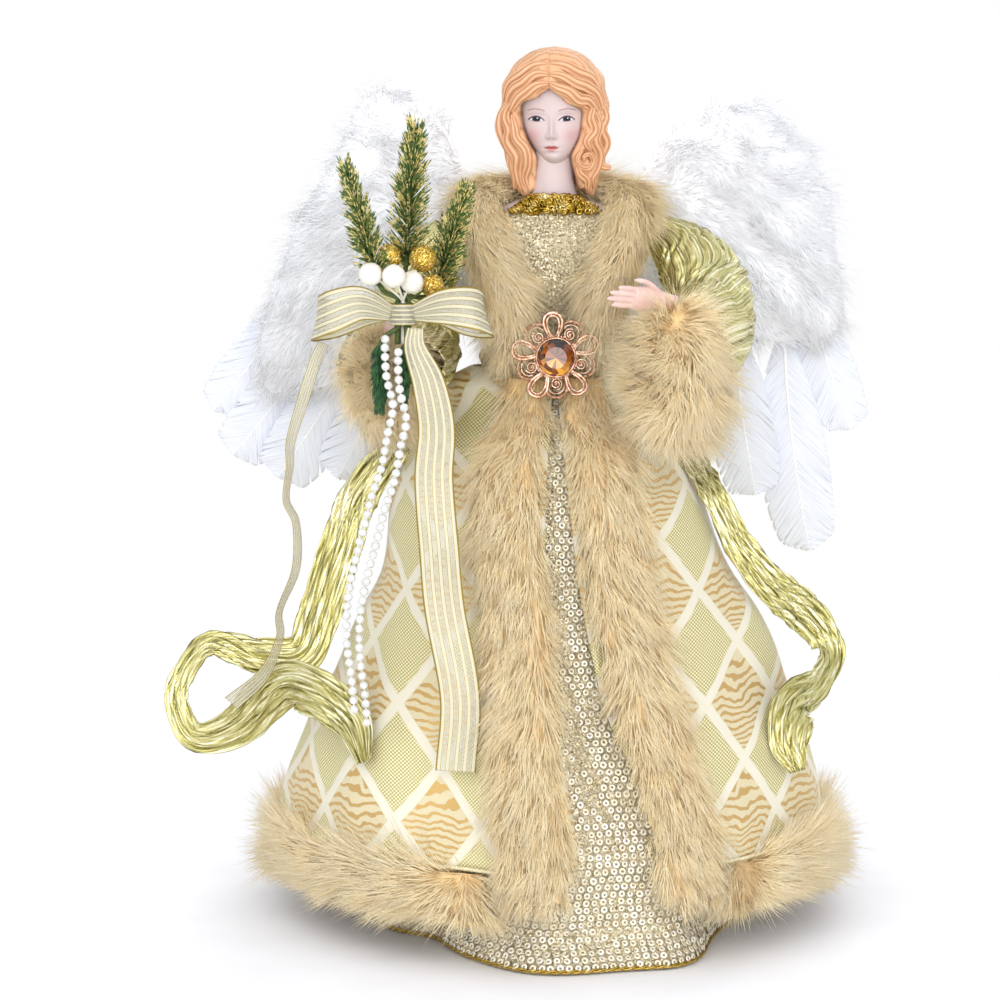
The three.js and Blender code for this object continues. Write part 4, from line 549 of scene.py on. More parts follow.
def one_hair_object(radius):
    """A single hair one metre tall: a flat three-sided spindle. Its reach sets its length."""
    ring = np.array([(radius, 0, 0.45 / MM), (0, 0.3 * radius, 0.45 / MM), (-radius, 0, 0.45 / MM)])
    points = np.concatenate([[(0, 0, 0)], ring, [(0, 0, 1 / MM)]])
    faces = np.array([(0, 2, 1, 1), (0, 3, 2, 2), (0, 1, 3, 3), (1, 2, 4, 4), (2, 3, 4, 4), (3, 1, 4, 4)])
    return mesh_object("one_hair", facing_out(points, faces), values={"along": points[:, 2] * MM})


print("nodes in the tree:", len(pelt.nodes))

# %% Cores for the hair to grow on
def core(node, inset, voxel=3.0, soften=5):
    """A smooth and slightly smaller copy of a solid: its points, normals and faces."""
    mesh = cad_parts[node].data.copy()
    merged = bmesh.new()
    merged.from_mesh(mesh)
    bmesh.ops.remove_doubles(merged, verts=merged.verts, dist=1e-6)
    merged.to_mesh(mesh)
    merged.free()
    made = modified(placed("core", mesh), [
        ("REMESH", {"mode": "VOXEL", "voxel_size": voxel * MM}),
        ("SMOOTH", {"iterations": soften, "factor": 0.5}),
        ("DISPLACE", {"strength": -inset * MM, "mid_level": 0.0})])
    points = np.zeros(len(made.vertices) * 3)
    normals = np.zeros(len(made.vertices) * 3)
    made.vertices.foreach_get("co", points)
    made.vertices.foreach_get("normal", normals)
    faces = np.array([[*face.vertices, *face.vertices[-1:]][:4] for face in made.polygons])
    return points.reshape(-1, 3) / MM, normals.reshape(-1, 3), faces


def grow(name, body, skin, comb, count, fill, radius, replaces, slot, seed, pile=None, **shape):
    """Grows about a number of hairs on a skin that carries its comb directions."""
    points, faces = skin
    corner = points[faces]
    area = np.linalg.norm(np.cross(corner[:, 1] - corner[:, 0], corner[:, 2] - corner[:, 0]), axis=1) / 2
    area += np.linalg.norm(np.cross(corner[:, 2] - corner[:, 0], corner[:, 3] - corner[:, 0]), axis=1) / 2
    pile = np.ones(len(points)) if pile is None else pile
    base = mesh_object(name, (points, faces), [fill], values={
        "comb": comb, "pile": pile, "along": np.zeros(len(points)), "tint": np.full(len(points), 0.5)})
    hair = one_hair_object(radius)
    settings = {"Hair": hair, "Density": count / (area.sum() * MM * MM), "Seed": seed, "Finish": fill}
    piece = run_tree(name, pelt, base, {**settings, **shape})
    bpy.data.objects.remove(hair)
    return settle(piece, body, replaces)


ROOT_SHARE = 0.45


def hairy(name, root_shade, tip_shades, roughness, patch, patch_size, sheen):
    """Fur or down: a shade from root to tip, a tint for each hair, and patches of another shade."""
    made = finish(name, [tip_shades[0], tip_shades[1]], roughness, grain=patch_size, relief=0.0,
        **{"Sheen Weight": sheen, "Sheen Roughness": 0.5, "Sheen Tint": colour(patch)})
    found, tree = nodes_of(made), made.node_tree
    tint, along = (add(tree, "Attribute", attribute_name=name).outputs["Fac"] for name in ("tint", "along"))
    rise = add(tree, "MapRange", {"Value": along, "From Min": 0.0, "From Max": ROOT_SHARE}).outputs[0]
    shade = colour(patch)
    for share, under in ((tint, found["ValToRGB"].outputs[0]), (rise, colour(root_shade))):
        shade = add(tree, "Mix", {0: share, 6: under, 7: shade}, data_type="RGBA").outputs[2]
    feed(made, {"Base Color": shade})
    tree.nodes.remove(found["Bump"])
    return made


FUR_TINTS = ("#FFDA95", "#FFE9B4")
# Long-pile fur, dyed cream: soft, faintly glossy hairs, deeper at the root, with paler patches.
fur = hairy("long_pile_fur", "#FAD79A", FUR_TINTS, 0.62, "#FFEFC8", 22, 0.5)
# Goose down, bleached white: matt and cool in its shadows.
down = hairy("white_down", "#FCFCFD", ("#FEFEFF", "#FFFFFF"), 0.8, "#FFFFFF", 30, 1.0)

# %% [markdown]
# ## Sizes that the pieces share
# These tables repeat the part's source: the oval body, the skirt's width at each height, the
# opening down the front, and the courses of the arms. With them each visible piece has the form
# of its solid, only finer.

# %% Body and skirt forms
WAIST, SHOULDER, NECK = 252, 318, 334
SHOULDER_WIDTH, CHEST_DEPTH = 84, 50
COAT_HEM, COAT_TOP, COAT_HEM_RADIUS, COAT_CLOTH, COAT_FOLD, COAT_FOLDS = 46, 253.5, 124.5, 2, 3.6, 9
GAP, CONE_RADIUS = 0.3, 93
BODICE_OUT = GAP + 1.5
COAT_OUT = BODICE_OUT + GAP + COAT_CLOTH
body_at = curve_through([
    [-0.4, 0.58, 0.86, 0], [0, 0.61, 0.84, 0], [0.28, 0.67, 0.92, 0], [0.58, 0.78, 1, -0.03],
    [0.74, 0.9, 0.98, -0.02], [0.88, 0.98, 0.88, 0.02], [1, 1, 0.76, 0.07], [1.09, 0.81, 0.64, 0.1],
    [1.18, 0.48, 0.52, 0.1], [1.242, 0.262, 0.44, 0.08]])
coat_radius_at = curve_through([
    [0, 0.98], [0.18, 1], [0.36, 0.9], [0.44, 0.803], [0.55, 0.71], [0.63, 0.63], [0.76, 0.55],
    [0.87, 0.43], [0.94, 0.33], [1, 0.262]])
open_left = curve_through([[0, 26], [0.27, 20], [0.43, 12], [0.76, 5], [1, 2]])
open_right = curve_through([[0, 5], [0.27, 3], [0.43, -1], [0.76, -4], [1, -2]])


def sine(degrees):
    return np.sin(np.radians(degrees))


def cosine(degrees):
    return np.cos(np.radians(degrees))


def body_point(height, turn, clearance):
    """A point round the body: turn is in degrees from the front towards the doll's left."""
    shape = body_at((height - WAIST) / (SHOULDER - WAIST))
    width, depth, centre = shape[..., 0], shape[..., 1], shape[..., 2]
    return stacked((width * SHOULDER_WIDTH / 2 + clearance) * sine(turn),
        centre * CHEST_DEPTH / 2 - (depth * CHEST_DEPTH / 2 + clearance) * cosine(turn),
        height)


def fold_depth(height):
    return COAT_FOLD * smooth(COAT_TOP - height, 0, COAT_TOP - COAT_HEM)


def coat_oval(height):
    round_part = coat_radius_at(height / COAT_TOP)[..., 0] * COAT_HEM_RADIUS - COAT_CLOTH
    waisted = smooth(height, COAT_TOP * 0.86, COAT_TOP)
    near = COAT_OUT + GAP
    return (mix(round_part, 0.61 * SHOULDER_WIDTH / 2 + near, waisted),
        mix(round_part, 0.84 * CHEST_DEPTH / 2 + near, waisted))


def skirt_point(height, turn, clearance):
    half_width, half_depth = coat_oval(height)
    return stacked((half_width + clearance) * sine(turn), -(half_depth + clearance) * cosine(turn),
        height)


def coat_fold(height, turn):
    return fold_depth(height) * (cosine(turn * COAT_FOLDS + 40) + 1) * 0.5


def gown_point(height, turn, inward):
    """The gown under the coat: near the cone, and forward to the coat's opening in front."""
    share = (height - 0.5) / (WAIST - 0.5)
    side_x = mix(CONE_RADIUS, 0.61 * SHOULDER_WIDTH / 2 + BODICE_OUT, share)
    side_y = mix(CONE_RADIUS, 0.84 * CHEST_DEPTH / 2 + BODICE_OUT, share)
    front_x, front_y = coat_oval(np.minimum(height, COAT_TOP))
    away = np.abs((turn - 8.5 + 540) % 360 - 180)
    forward = 1 - smooth(away, 12, 46)
    flare = 12 * (1 - smooth(height, 0.5, 16)) - 2.6
    ripple = 1.4 * fold_depth(height) / COAT_FOLD * cosine(turn * 14)
    half_x = mix(side_x, front_x + flare, forward) + ripple - inward
    half_y = mix(side_y, front_y + flare, forward) + ripple - inward
    return stacked(half_x * sine(turn), -half_y * cosine(turn), height)


print("waist half width:", round(float(coat_oval(np.array(COAT_TOP))[0]), 1))

# %% [markdown]
# ## Two strings of pearl beads
# Two strings hang from the bow beside the ribbon and rest on the coat. Each is a thread with round
# beads set along it, a bead's width apart. Their route repeats the part's source, because a cord
# has to lie where its solid lies.

# %% Bead strings
KNOT = np.array((-67, -85, 281.0))
FIGURE = 400
BEAD_RADIUS = 2
BEAD_ROUTE = [
    [-0.0185, -0.0205, -0.0215], [-0.0185, -0.031, -0.042], [-0.0165, -0.0325, -0.068],
    [-0.01, -0.0325, -0.098], [-0.0165, -0.0325, -0.13], [-0.0225, -0.0315, -0.1625],
    [-0.0335, -0.0315, -0.195], [-0.0412, -0.0315, -0.225], [-0.05, -0.0315, -0.2575],
    [-0.0573, -0.0325, -0.29], [-0.0613, -0.034, -0.3225], [-0.0608, -0.0355, -0.3575],
    [-0.056, -0.0365, -0.395], [-0.053, -0.0375, -0.4325]]


def from_knot(shares):
    return KNOT + np.asarray(shares, float) * FIGURE


# Imitation pearl: a plastic bead under a nacre lacquer, so a soft gloss over a warm white.
pearl = finish("pearl_lacquer", ["#DDD7C8", "#EBE6DA"], 0.24, grain=3, relief=0.01,
    **{"Coat Weight": 0.6, "Coat Roughness": 0.12, "Sheen Weight": 0.2})
# Clear-coated beads of the strings: cooler and brighter than the berries.
bead_finish = finish("bead_lacquer", ["#C4C3BE", "#E6E6E2"], 0.16, grain=2.2, relief=0.01,
    **{"Coat Weight": 0.8, "Coat Roughness": 0.08})
# Polyester thread: matt, off-white, twisted.
thread = finish("white_thread", ["#D8D2C2", "#F4F0E4"], 0.7, grain=0.4, relief=0.05)

for number, word in enumerate(("one", "two")):
    shift = np.array((5.6 * number, -0.6 * number, -5.6 * number))
    route = from_knot(BEAD_ROUTE) + shift
    lie = course(route)
    count = int(lie.length / (BEAD_RADIUS * 2.02))
    centre, _, _, along = lie(np.linspace(0.012, 0.988, count))
    base = mesh_object("thread", rod(route, 0.35, 5, 40), [thread])
    draw = seeded(20 + number)
    piece = scatter(f"pearl_string_{word}", centre, along, draw.uniform(0.93, 1.0, count),
        draw.uniform(0, 6.28, count), ball((0, 0, 0), BEAD_RADIUS, 14), bead_finish, base)
    settle(piece, "arm_right", [f"bead_string_{word}"])
    middle_line = lie(np.linspace(0, 1, 40))[0]
    [tuple(p * MM) for p in middle_line]
    print(f"string {word}: {lie.length:.0f} mm, {count} beads")

# %% [markdown]
# ## The gown under the coat
# The gown is champagne glitter mesh cloth, sewn all over with small flat sequins where it shows:
# in the slit of the coat and on the flare at the foot. The cloth is a closed panel on the gown's
# formula, and the sequins are set on it in offset rows by the node tree, each a little tilted.

# %% Gown cloth
FLAKE_SHARE = 0.6


# Glitter mesh: metal flakes bonded to knitted net, so each spot has its own shine and tilt.
def sparkle(material, size, tilt, dark, light):
    """Flakes on a finish: each cell of a fine pattern has its own tilt and its own shade."""
    found, tree = nodes_of(material), material.node_tree
    cell = add(tree, "TexVoronoi", {"Vector": found["TexCoord"].outputs["Object"],
        "Scale": 1 / (size * MM)}).outputs["Color"]
    way = sums(tree, "VectorMath", {"cell": cell, "normal": add(tree, "NewGeometry").outputs["Normal"]}, [
        ("centred", "SUBTRACT", "cell", (0.5, 0.5, 0.5)), ("tilt", "SCALE", "centred", tilt),
        ("leaning", "ADD", "normal", "tilt"), ("way", "NORMALIZE", "leaning")])["way"]
    chance = add(tree, "SeparateColor", {"Color": cell}).outputs[0]
    shade = colour(light)
    for share, under in ((chance, colour(dark)), (FLAKE_SHARE, found["ValToRGB"].outputs[0])):
        shade = add(tree, "Mix", {0: share, 6: under, 7: shade}, data_type="RGBA").outputs[2]
    feed(material, {"Base Color": shade, "Normal": way})
    return material


glitter_cloth = sparkle(finish("champagne_glitter_cloth", ["#A8915C", "#DCC994", "#F8EFD0"], 0.3, 0.5,
    grain=1.6, relief=0.2), 0.55, 1.3, "#7E673A", "#F8F1DA")
# Flat sequins punched from metallised film, silver champagne.
sequin_film = finish("champagne_sequin_film", ["#EFE2BE", "#FFFBEA"], 0.3, 0.3, grain=4, relief=0.02)
# Gold sequins of the neckline and the waist.
gold_film = finish("gold_sequin_film", ["#84691A", "#D0AC42", "#F2E2A0"], 0.22, 0.9, grain=5, relief=0.03)
# Braided gold cord of metallised thread.
gold_braid = finish("gold_braid", ["#8A6A1E", "#D9B95A"], 0.35, 0.8, grain=0.6, relief=0.12)

HEM_LOW = 0.5


def gown_cloth(u, v, depth):
    height = mix(HEM_LOW, WAIST - GAP, v)
    turn = 180 + 360 * u
    return gown_point(height, turn, depth)


def hem_cord(line, radius, sides):
    """A round cord along a hem."""
    turn = np.arange(sides) * 2 * np.pi / sides
    outward = unit(line * (1, 1, 0))
    return tube(around_line(line[:, None], outward[:, None], UPWARD, radius * np.cos(turn),
        radius * np.sin(turn)))


# Two strands twist round each other along the hem.
BRAID_TWISTS, BRAID_HEIGHT, BRAID_SPREAD, STRAND_RADIUS = 90, 1.7, 0.55, 0.6
UPWARD = np.array((0, 0, 1.0))
braid_strands = []
for twist in (0, 180):
    phase = np.linspace(0, 360 * BRAID_TWISTS, 900) + twist
    line = gown_point(np.full(900, BRAID_HEIGHT), np.linspace(0, 360, 900), -0.5)
    line = line + unit(line * (1, 1, 0)) * (BRAID_SPREAD * cosine(phase))[:, None] + UPWARD * (
        BRAID_SPREAD * sine(phase))[:, None]
    braid_strands.append(hem_cord(line, STRAND_RADIUS, 5))
braid = make("gown_hem_braid", joined(*braid_strands), gold_braid, "figure")
gown_mesh = panel(gown_cloth, 170, 60, 0.8, wrap=True)


# %% Sequins
def flat_sequin(radius, hole=0.11, sides=8):
    """A cupped disc with a hole: a ring of thin triangular section."""
    turn = np.arange(sides) * 2 * np.pi / sides
    rows = [(radius, 0.0), (radius * 0.6, radius * 0.09), (radius * hole, radius * 0.05)]
    rings = np.stack([stacked(r * np.cos(turn), r * np.sin(turn), 0 * turn + z)
        for r, z in rows])
    index = np.arange(3 * sides).reshape(3, sides)
    turned, above = np.roll(index, -1, 1), np.roll(index, -1, 0)
    beside = np.roll(turned, -1, 0)
    faces = stacked(index, turned, beside, above).reshape(-1, 4)
    return facing_out(rings.reshape(-1, 3), faces)


# Rows from the foot up. Higher than the foot, the left side of the slit keeps all its sequins,
# and the right side about a quarter.
SEQUIN_RADIUS, SEQUIN_STEP, SEQUIN_RISE, FIRST_ROW, LAST_ROW = 1.95, 3.9, 3.3, 3.0, 250
draw = seeded(5)
spots, normals = [], []
height, row = FIRST_ROW, 0
while height < LAST_ROW:
    low, high = open_right(height / COAT_TOP)[0], open_left(height / COAT_TOP)[0]
    spread = mix(36, 4, smooth(height, 16, 60))
    radius = np.linalg.norm(gown_point(np.array(height), np.array(8.0), 0)[:2])
    step = np.degrees(SEQUIN_STEP / radius)
    turns = np.arange(low - spread, high + spread, step) + (row % 2) * step / 2
    full_side = turns > mix(low, high, 0.45)
    kept_share = mix(1.0, 0.25 + 0.75 * full_side, smooth(height, 40, 75))
    turns = turns[draw.uniform(0, 1, len(turns)) < kept_share]
    here = gown_point(np.full(len(turns), height), turns, -0.25)
    beside = gown_point(np.full(len(turns), height), turns + 0.5, -0.25) - here
    above = gown_point(np.full(len(turns), height + 0.5), turns, -0.25) - here
    spots.append(here)
    normals.append(unit(np.cross(beside, above)))
    slope = np.linalg.norm(above[len(above) // 2]) / 0.5
    height += SEQUIN_RISE / slope
    row += 1
spots, normals = np.concatenate(spots), np.concatenate(normals)
spots = spots + draw.normal(0, 0.14, spots.shape)
normals = unit(normals + draw.normal(0, 0.17, normals.shape))
base = mesh_object("gown", gown_mesh, [glitter_cloth])
gown = scatter("sequin_gown", spots, normals, draw.uniform(0.9, 1.05, len(spots)),
    draw.uniform(0, 6.28, len(spots)), flat_sequin(SEQUIN_RADIUS), sequin_film, base)
settle(gown, "figure", ["underskirt"])
print("sequins on the gown:", len(spots))

# %% [markdown]
# ## The brocade coat
# The coat skirt is a woven brocade: white bands cross in tall diamonds, and the cells are in turn
# a gold dotted ground and cream with wavy gold stripes. The cloth keeps its straight grain along
# the front edge, so its own coordinates run across from there and up in periods of the pattern,
# and the shader draws the weave from them at its real size.

# %% Coat skirt cloth
def bump(distance, spread):
    """A rounded hill: 1 in its middle, near 0 past its spread."""
    return np.exp(-((distance / spread) ** 2))


PATTERN_WIDTH, PATTERN_HEIGHT, PATTERN_SIDE, PATTERN_FOOT = 37.0, 46.5, 66.0, 62.4


def coat_cloth(u, v, depth):
    height = mix(COAT_HEM, COAT_TOP, v)
    share = height / COAT_TOP
    turn = mix(open_left(share)[..., 0], 360 + open_right(share)[..., 0], u)
    wave = fold_depth(height) / COAT_FOLD
    flat = skirt_point(height, turn, 0)
    soft = 1.1 * wave * ripples(flat * (1, 1, 0.35), 34, 3)
    hem = 0.5 * smooth(COAT_HEM + 5 - height, 0, 4)
    pouf = 11 * bump(turn - 268, 50) * smooth(COAT_TOP + 3 - height, 0, 11) * smooth(height, 150, 225)
    pouf = pouf + 7.5 * bump(turn - 268, 40) * bump(height - 247, 10)
    pouf = pouf + 7 * bump(turn - 88, 34) * bump(height - 128, 36)
    point = skirt_point(height, turn, COAT_CLOTH + coat_fold(height, turn) + soft + pouf + hem - depth)
    rise = 2.2 * wave * ripples(flat * (1, 1, 0), 60, 8) * (1 - v)
    point[..., 2] -= (1.5 + 0.6 * np.abs(rise)) * (v < 0.35) * (1 - v / 0.35)
    return point


skin = panel(coat_cloth, 220, 66, 1.3)
u, v = skin[2].T
height = mix(COAT_HEM, COAT_TOP, v)
turn = mix(open_left(height / COAT_TOP)[:, 0], 360 + open_right(height / COAT_TOP)[:, 0], u)
signed = np.where(turn > 180, turn - 360, turn)
off = np.abs(signed + 2)
radius = coat_radius_at(height / COAT_TOP)[:, 0] * COAT_HEM_RADIUS
across = radius * np.where(off < 44, sine(np.minimum(off, 44)), 0.695 + 0.72 * np.radians(off - 44))
pattern_u = (across - PATTERN_SIDE) / PATTERN_WIDTH
cloth = stacked(pattern_u, (height - PATTERN_FOOT) / PATTERN_HEIGHT)

# Rayon and lurex brocade: satin white bands, metallic dotted ground and cream with gold stripes.
brocade = finish("brocade", ["#CDC096", "#D8CBA6"], 0.5, grain=0.7, relief=0.06, coords="UV")
found, tree = nodes_of(brocade), brocade.node_tree
split = add(tree, "SeparateXYZ", {0: found["TexCoord"].outputs["UV"]})
found["Mapping"].inputs["Scale"].default_value = (0.037, 0.0465, 1)
uneven = add(tree, "TexNoise", {"Vector": found["TexCoord"].outputs["UV"],
    "Scale": 3.2, "Detail": 2.0})
weave = sums(tree, "Math", {"u": split.outputs[0], "v": split.outputs[1],
    "uneven": uneven.outputs["Fac"]}, [
    ("bow", "MULTIPLY_ADD", "uneven", 0.05, -0.025), ("ub", "ADD", "u", "bow"),
    ("a", "ADD", "ub", "v"), ("b", "SUBTRACT", "ub", "v"),
    ("fa", "FRACT", "a"), ("fb", "FRACT", "b"), ("ca", "SUBTRACT", "fa", 0.5), ("cb", "SUBTRACT", "fb", 0.5),
    ("aa", "ABSOLUTE", "ca"), ("ab", "ABSOLUTE", "cb"), ("edge", "MAXIMUM", "aa", "ab"),
    ("band", "GREATER_THAN", "edge", 0.434), ("rim", "GREATER_THAN", "edge", 0.424),
    ("na", "FLOOR", "a"), ("nb", "FLOOR", "b"), ("n", "ADD", "na", "nb"), ("half", "MULTIPLY", "n", 0.5),
    ("kind", "FRACT", "half"), ("dotted", "GREATER_THAN", "kind", 0.25),
    ("un", "MULTIPLY_ADD", "uneven", 0.24, -0.12), ("du", "SUBTRACT", "ca", "cb"),
    ("du2", "MULTIPLY", "du", "du"),
    ("vs", "MULTIPLY_ADD", "du2", -0.22, "v"), ("vw", "ADD", "vs", "un"), ("vt", "MULTIPLY", "vw", 88.0),
    ("wave", "SINE", "vt"), ("stripe", "GREATER_THAN", "wave", 0.38), ("plain", "SUBTRACT", 1.0, "dotted"),
    ("gold", "MULTIPLY", "stripe", "plain"),
    ("du_t", "MULTIPLY", "u", 150.0), ("dv_t", "MULTIPLY", "v", 190.0), ("su", "SINE", "du_t"),
    ("sv", "SINE", "dv_t"), ("dots", "MULTIPLY", "su", "sv"), ("dot", "GREATER_THAN", "dots", 0.12),
    ("speck", "MULTIPLY", "dot", "dotted"), ("open", "SUBTRACT", 1.0, "band"),
    ("gold_here", "MULTIPLY", "gold", "open"), ("speck_here", "MULTIPLY", "speck", "open"),
    ("ground", "MULTIPLY", "dotted", "open"), ("metal", "MULTIPLY_ADD", "ground", 0.4, "gold_here"),
    ("shine", "MULTIPLY", "metal", 0.6), ("raise", "MULTIPLY_ADD", "band", 0.7, "gold_here"),
    ("raised", "MULTIPLY_ADD", "speck_here", 0.35, "raise"), ("rough", "MULTIPLY_ADD", "metal", -0.14, 0.56)])
shade = found["ValToRGB"].outputs[0]
for where, code in (("ground", "#B4A968"), ("speck_here", "#F0E9C4"), ("gold_here", "#CBA767"),
    ("rim", "#D8CCA2"), ("band", "#DED8C2")):
    shade = add(tree, "Mix", {0: weave[where], 6: shade, 7: colour(code)}, data_type="RGBA").outputs[2]
raised = add(tree, "Bump", {"Height": weave["raised"], "Distance": 0.25 * MM, "Strength": 0.7,
    "Normal": found["Bump"].outputs[0]})
feed(brocade, {"Base Color": shade, "Metallic": weave["shine"], "Roughness": weave["rough"],
    "Normal": raised.outputs[0]})
coat = make("coat_skirt_brocade", (skin[0], skin[1], cloth), brocade, "figure", ["coat_skirt"])
edge_share = np.linspace(0, 1, 420)
piping_route = coat_cloth(edge_share, np.zeros(420), -0.2)
piping_cloth = finish("cream_piping", ["#C9BB8E", "#EFE6C4"], 0.6, grain=0.8, relief=0.08)
make("coat_hem_piping", hem_cord(piping_route, 0.9, 6), piping_cloth, "figure")

# %% [markdown]
# ## Bodice and upper coat
# The bodice shows as a wedge of champagne glitter between the collars. The upper coat is plain
# metallic cloth and is seen from the back, under the wings. Both are thin panels round the oval
# body, with the small creases that cloth has where it is pulled in at the waist.

# %% Bodice and upper coat
# Metallic knit of the upper coat: pale gold yarn with a soft broken shine.
metal_knit = finish("pale_gold_knit", ["#B9A468", "#DCCB95", "#F0E6C0"], 0.42, 0.45, grain=1.1, relief=0.12)


def bodice_cloth(u, v, depth):
    height = mix(WAIST, 325, v)
    turn = 180 + 360 * u
    flat = body_point(height, turn, 0)
    crease = 0.35 * ripples(flat * (1, 1, 0.4), 9, 12)
    return body_point(height, turn, BODICE_OUT + crease - depth)


def upper_cloth(u, v, depth):
    height = mix(WAIST, NECK - 3, v)
    width = body_at((height - WAIST) / (SHOULDER - WAIST))[..., 0] * SHOULDER_WIDTH / 2 + COAT_OUT
    start = np.degrees(np.arcsin(np.minimum(mix(9.0, 26.0, (height - 250) / 86) / width, 0.95)))
    turn = mix(start, 360 - start, u)
    flat = body_point(height, turn, 0)
    crease = 0.8 * ripples(flat * (1, 1, 0.35), 13, 15) * (1 - 0.5 * v)
    return body_point(height, turn, COAT_OUT + crease - depth)


bodice = make("bodice_cloth", panel(bodice_cloth, 120, 30, 0.8, wrap=True), glitter_cloth, "figure",
    ["bodice"])
upper = make("upper_coat_cloth", panel(upper_cloth, 140, 40, 1.0), metal_knit, "figure",
    ["upper_coat"])

# %% [markdown]
# ## Sequin trims
# The neckline and the waist are edged with gold sequins sewn on edge-to-edge over a cord. A core
# cord follows the body, and the node tree throws sequins over it, each facing roughly outwards.


# %% Neckline and waist trims
TRIM_CORE_RADIUS = 1.3


def trim(name, height, tall, turns, out, count, size, node, seed):
    """Sequins strewn over a cord that follows the body between two angles."""
    draw = seeded(seed)
    line = body_point(np.full(60, height), np.linspace(*turns, 60), out)
    turn = mix(*turns, draw.uniform(0, 1, count))
    level = height + tall * draw.uniform(-1, 1, count)
    centre = body_point(level, turn, out + draw.uniform(0.2, 1.6, count))
    away = unit(centre * (1, 1, 0)) + np.array((0, 0, 1.0)) * ((level - height) / tall * 0.7)[:, None]
    facing_to = unit(unit(away) + draw.normal(0, 0.35, away.shape))
    base = mesh_object("trim_core", rod(line, TRIM_CORE_RADIUS, 8, 60), [gold_braid])
    piece = scatter(name, centre, facing_to, draw.uniform(0.75, 1.15, count), draw.uniform(0, 6, count),
        flat_sequin(size), gold_film, base)
    return settle(piece, "figure", [node])


trim("neckline_sequins", 328.0, 3.8, (-36, 36), 2.4, 330, 1.9, "neckline_trim", 31)
trim("waist_sequins", 257.4, 2.4, (181, 538.5), COAT_OUT + 2.2, 520, 1.7, "waist_belt", 32)

# %% [markdown]
# ## Fur trims
# The coat is edged with long-pile fur: two collar halves, a strip down each front edge, a deep
# band round the hem and a cuff on each sleeve. Each piece grows on a core cut from its solid, and
# is combed its own way, as the maker brushed it: down the strips, outwards and back along the hem.


# %% Combing
def around(points):
    """Outward, along the hem towards the doll's left, and the angle from the front, at each point."""
    outward = unit(points * (1, 1, 0))
    sideways = stacked(-outward[:, 1], outward[:, 0], 0 * outward[:, 0])
    return outward, sideways, np.degrees(np.arctan2(points[:, 0], -points[:, 1]))


def laid(comb, normals):
    """The part of a comb direction that lies on the skin, and a little of what stands off it."""
    stands = (comb * normals).sum(-1, keepdims=True)
    return comb - normals * np.minimum(stands, 0) * 0.9


DOWNWARD = np.array((0, 0, -1.0))
FUR_SHAPE = {"Lean": 2.6, "Bend": 0.5, "Frizz": 1.1, "Curl size": 0.015, "Tuft size": 0.0085,
    "Tufting": 0.72}


def clear_of_brooch(points):
    """Hair is shorter round the brooch, which presses it flat, and at the foot of a strip."""
    foot = mix(0.55, 1.0, smooth(points[:, 2], 34, 60))
    return foot * mix(0.5, 1.0, smooth(np.hypot(points[:, 0], points[:, 2] - 260), 15, 27))


for side, word in ((1, "left"), (-1, "right")):
    points, normals, faces = core(f"fur_front_{word}", 3.2)
    points[:, 0] -= side * 4.0 * smooth(points[:, 2], 219, 238)
    outward, sideways, angle = around(points)
    up_at_top = smooth(points[:, 2], 244, 256)[:, None]
    wave = ripples(points, 26, 40 + side)[:, None]
    way = DOWNWARD * mix(0.95, -0.9, up_at_top) + outward * 0.2 + sideways * (0.12 * side + 0.4 * wave)
    comb = laid(way, normals)
    grow(f"fur_strip_{word}", "figure", (points, faces), comb, 17000, fur, 0.175,
        [f"fur_front_{word}"], "fur", 60 + side, clear_of_brooch(points), **{**FUR_SHAPE, "Length": 0.0148})
    points, normals, faces = core(f"fur_collar_{word}", 4.6)
    points[:, 0] -= side * 3.5 * smooth(points[:, 2], 280, 300) * (1 - smooth(points[:, 2], 322, 334))
    outward, sideways, angle = around(points)
    wave = ripples(points, 24, 50 + side)[:, None]
    inward = side * (0.15 + 0.8 * smooth(points[:, 2], 280, 300))[:, None]
    comb = laid(DOWNWARD * 0.75 + outward * 0.2 + sideways * (0.5 * wave - inward), normals)
    grow(f"fur_collar_half_{word}", "figure", (points, faces), comb, 16500, fur, 0.18,
        [f"fur_collar_{word}"], "fur", 70 + side, clear_of_brooch(points),
        **{**FUR_SHAPE, "Tufting": 0.45, "Length": 0.0145})

points, normals, faces = core("fur_hem", 3.4)
outward, sideways, angle = around(points)
middle = points[faces].mean(1)
sector = np.degrees(np.arctan2(middle[:, 0], -middle[:, 1]))
back = np.cos(np.radians(angle / 2))[:, None]
wave = ripples(points, 30, 77)[:, None]
comb = (outward * 0.3 + DOWNWARD * 0.16 + sideways * np.sign(angle)[:, None] * 0.8 * back
    + sideways * 0.25 * wave + DOWNWARD * 0.3 * wave)
comb = comb - DOWNWARD * 0.9 * smooth(normals[:, 2], 0.1, 0.7)[:, None]
forward = -sideways * np.sign(angle)[:, None]
cut_end = smooth((normals * forward).sum(1), 0.2, 0.7) * (np.abs(angle) < 45)
ends_at = np.where(angle < 0, np.abs(angle[angle < 0]).min(), angle[angle > 0].min())
near_end = np.maximum(cut_end, 1 - smooth(np.abs(angle) - ends_at, 1, 9))[:, None]
comb = laid(mix(comb, forward * 0.9 + outward * 0.35 + DOWNWARD * 0.5, near_end), normals)
low_pile = mix(0.5, 1.0, smooth(points[:, 2], 19, 32)) * mix(1.0, 0.55, smooth(points[:, 1], 50, 108))
for word, chosen in (("right", (sector < 0) & (sector > -110)), ("left", (sector > 0) & (sector < 110)),
    ("back", np.abs(sector) >= 110)):
    used, order = np.unique(faces[chosen], return_inverse=True)
    grow(f"fur_hem_{word}", "figure", (points[used], order.reshape(-1, 4)), comb[used],
        15500 if word != "back" else 9500, fur, 0.185, ["fur_hem"], "fur", 80 + len(word),
        low_pile[used], **{**FUR_SHAPE, "Length": 0.016})

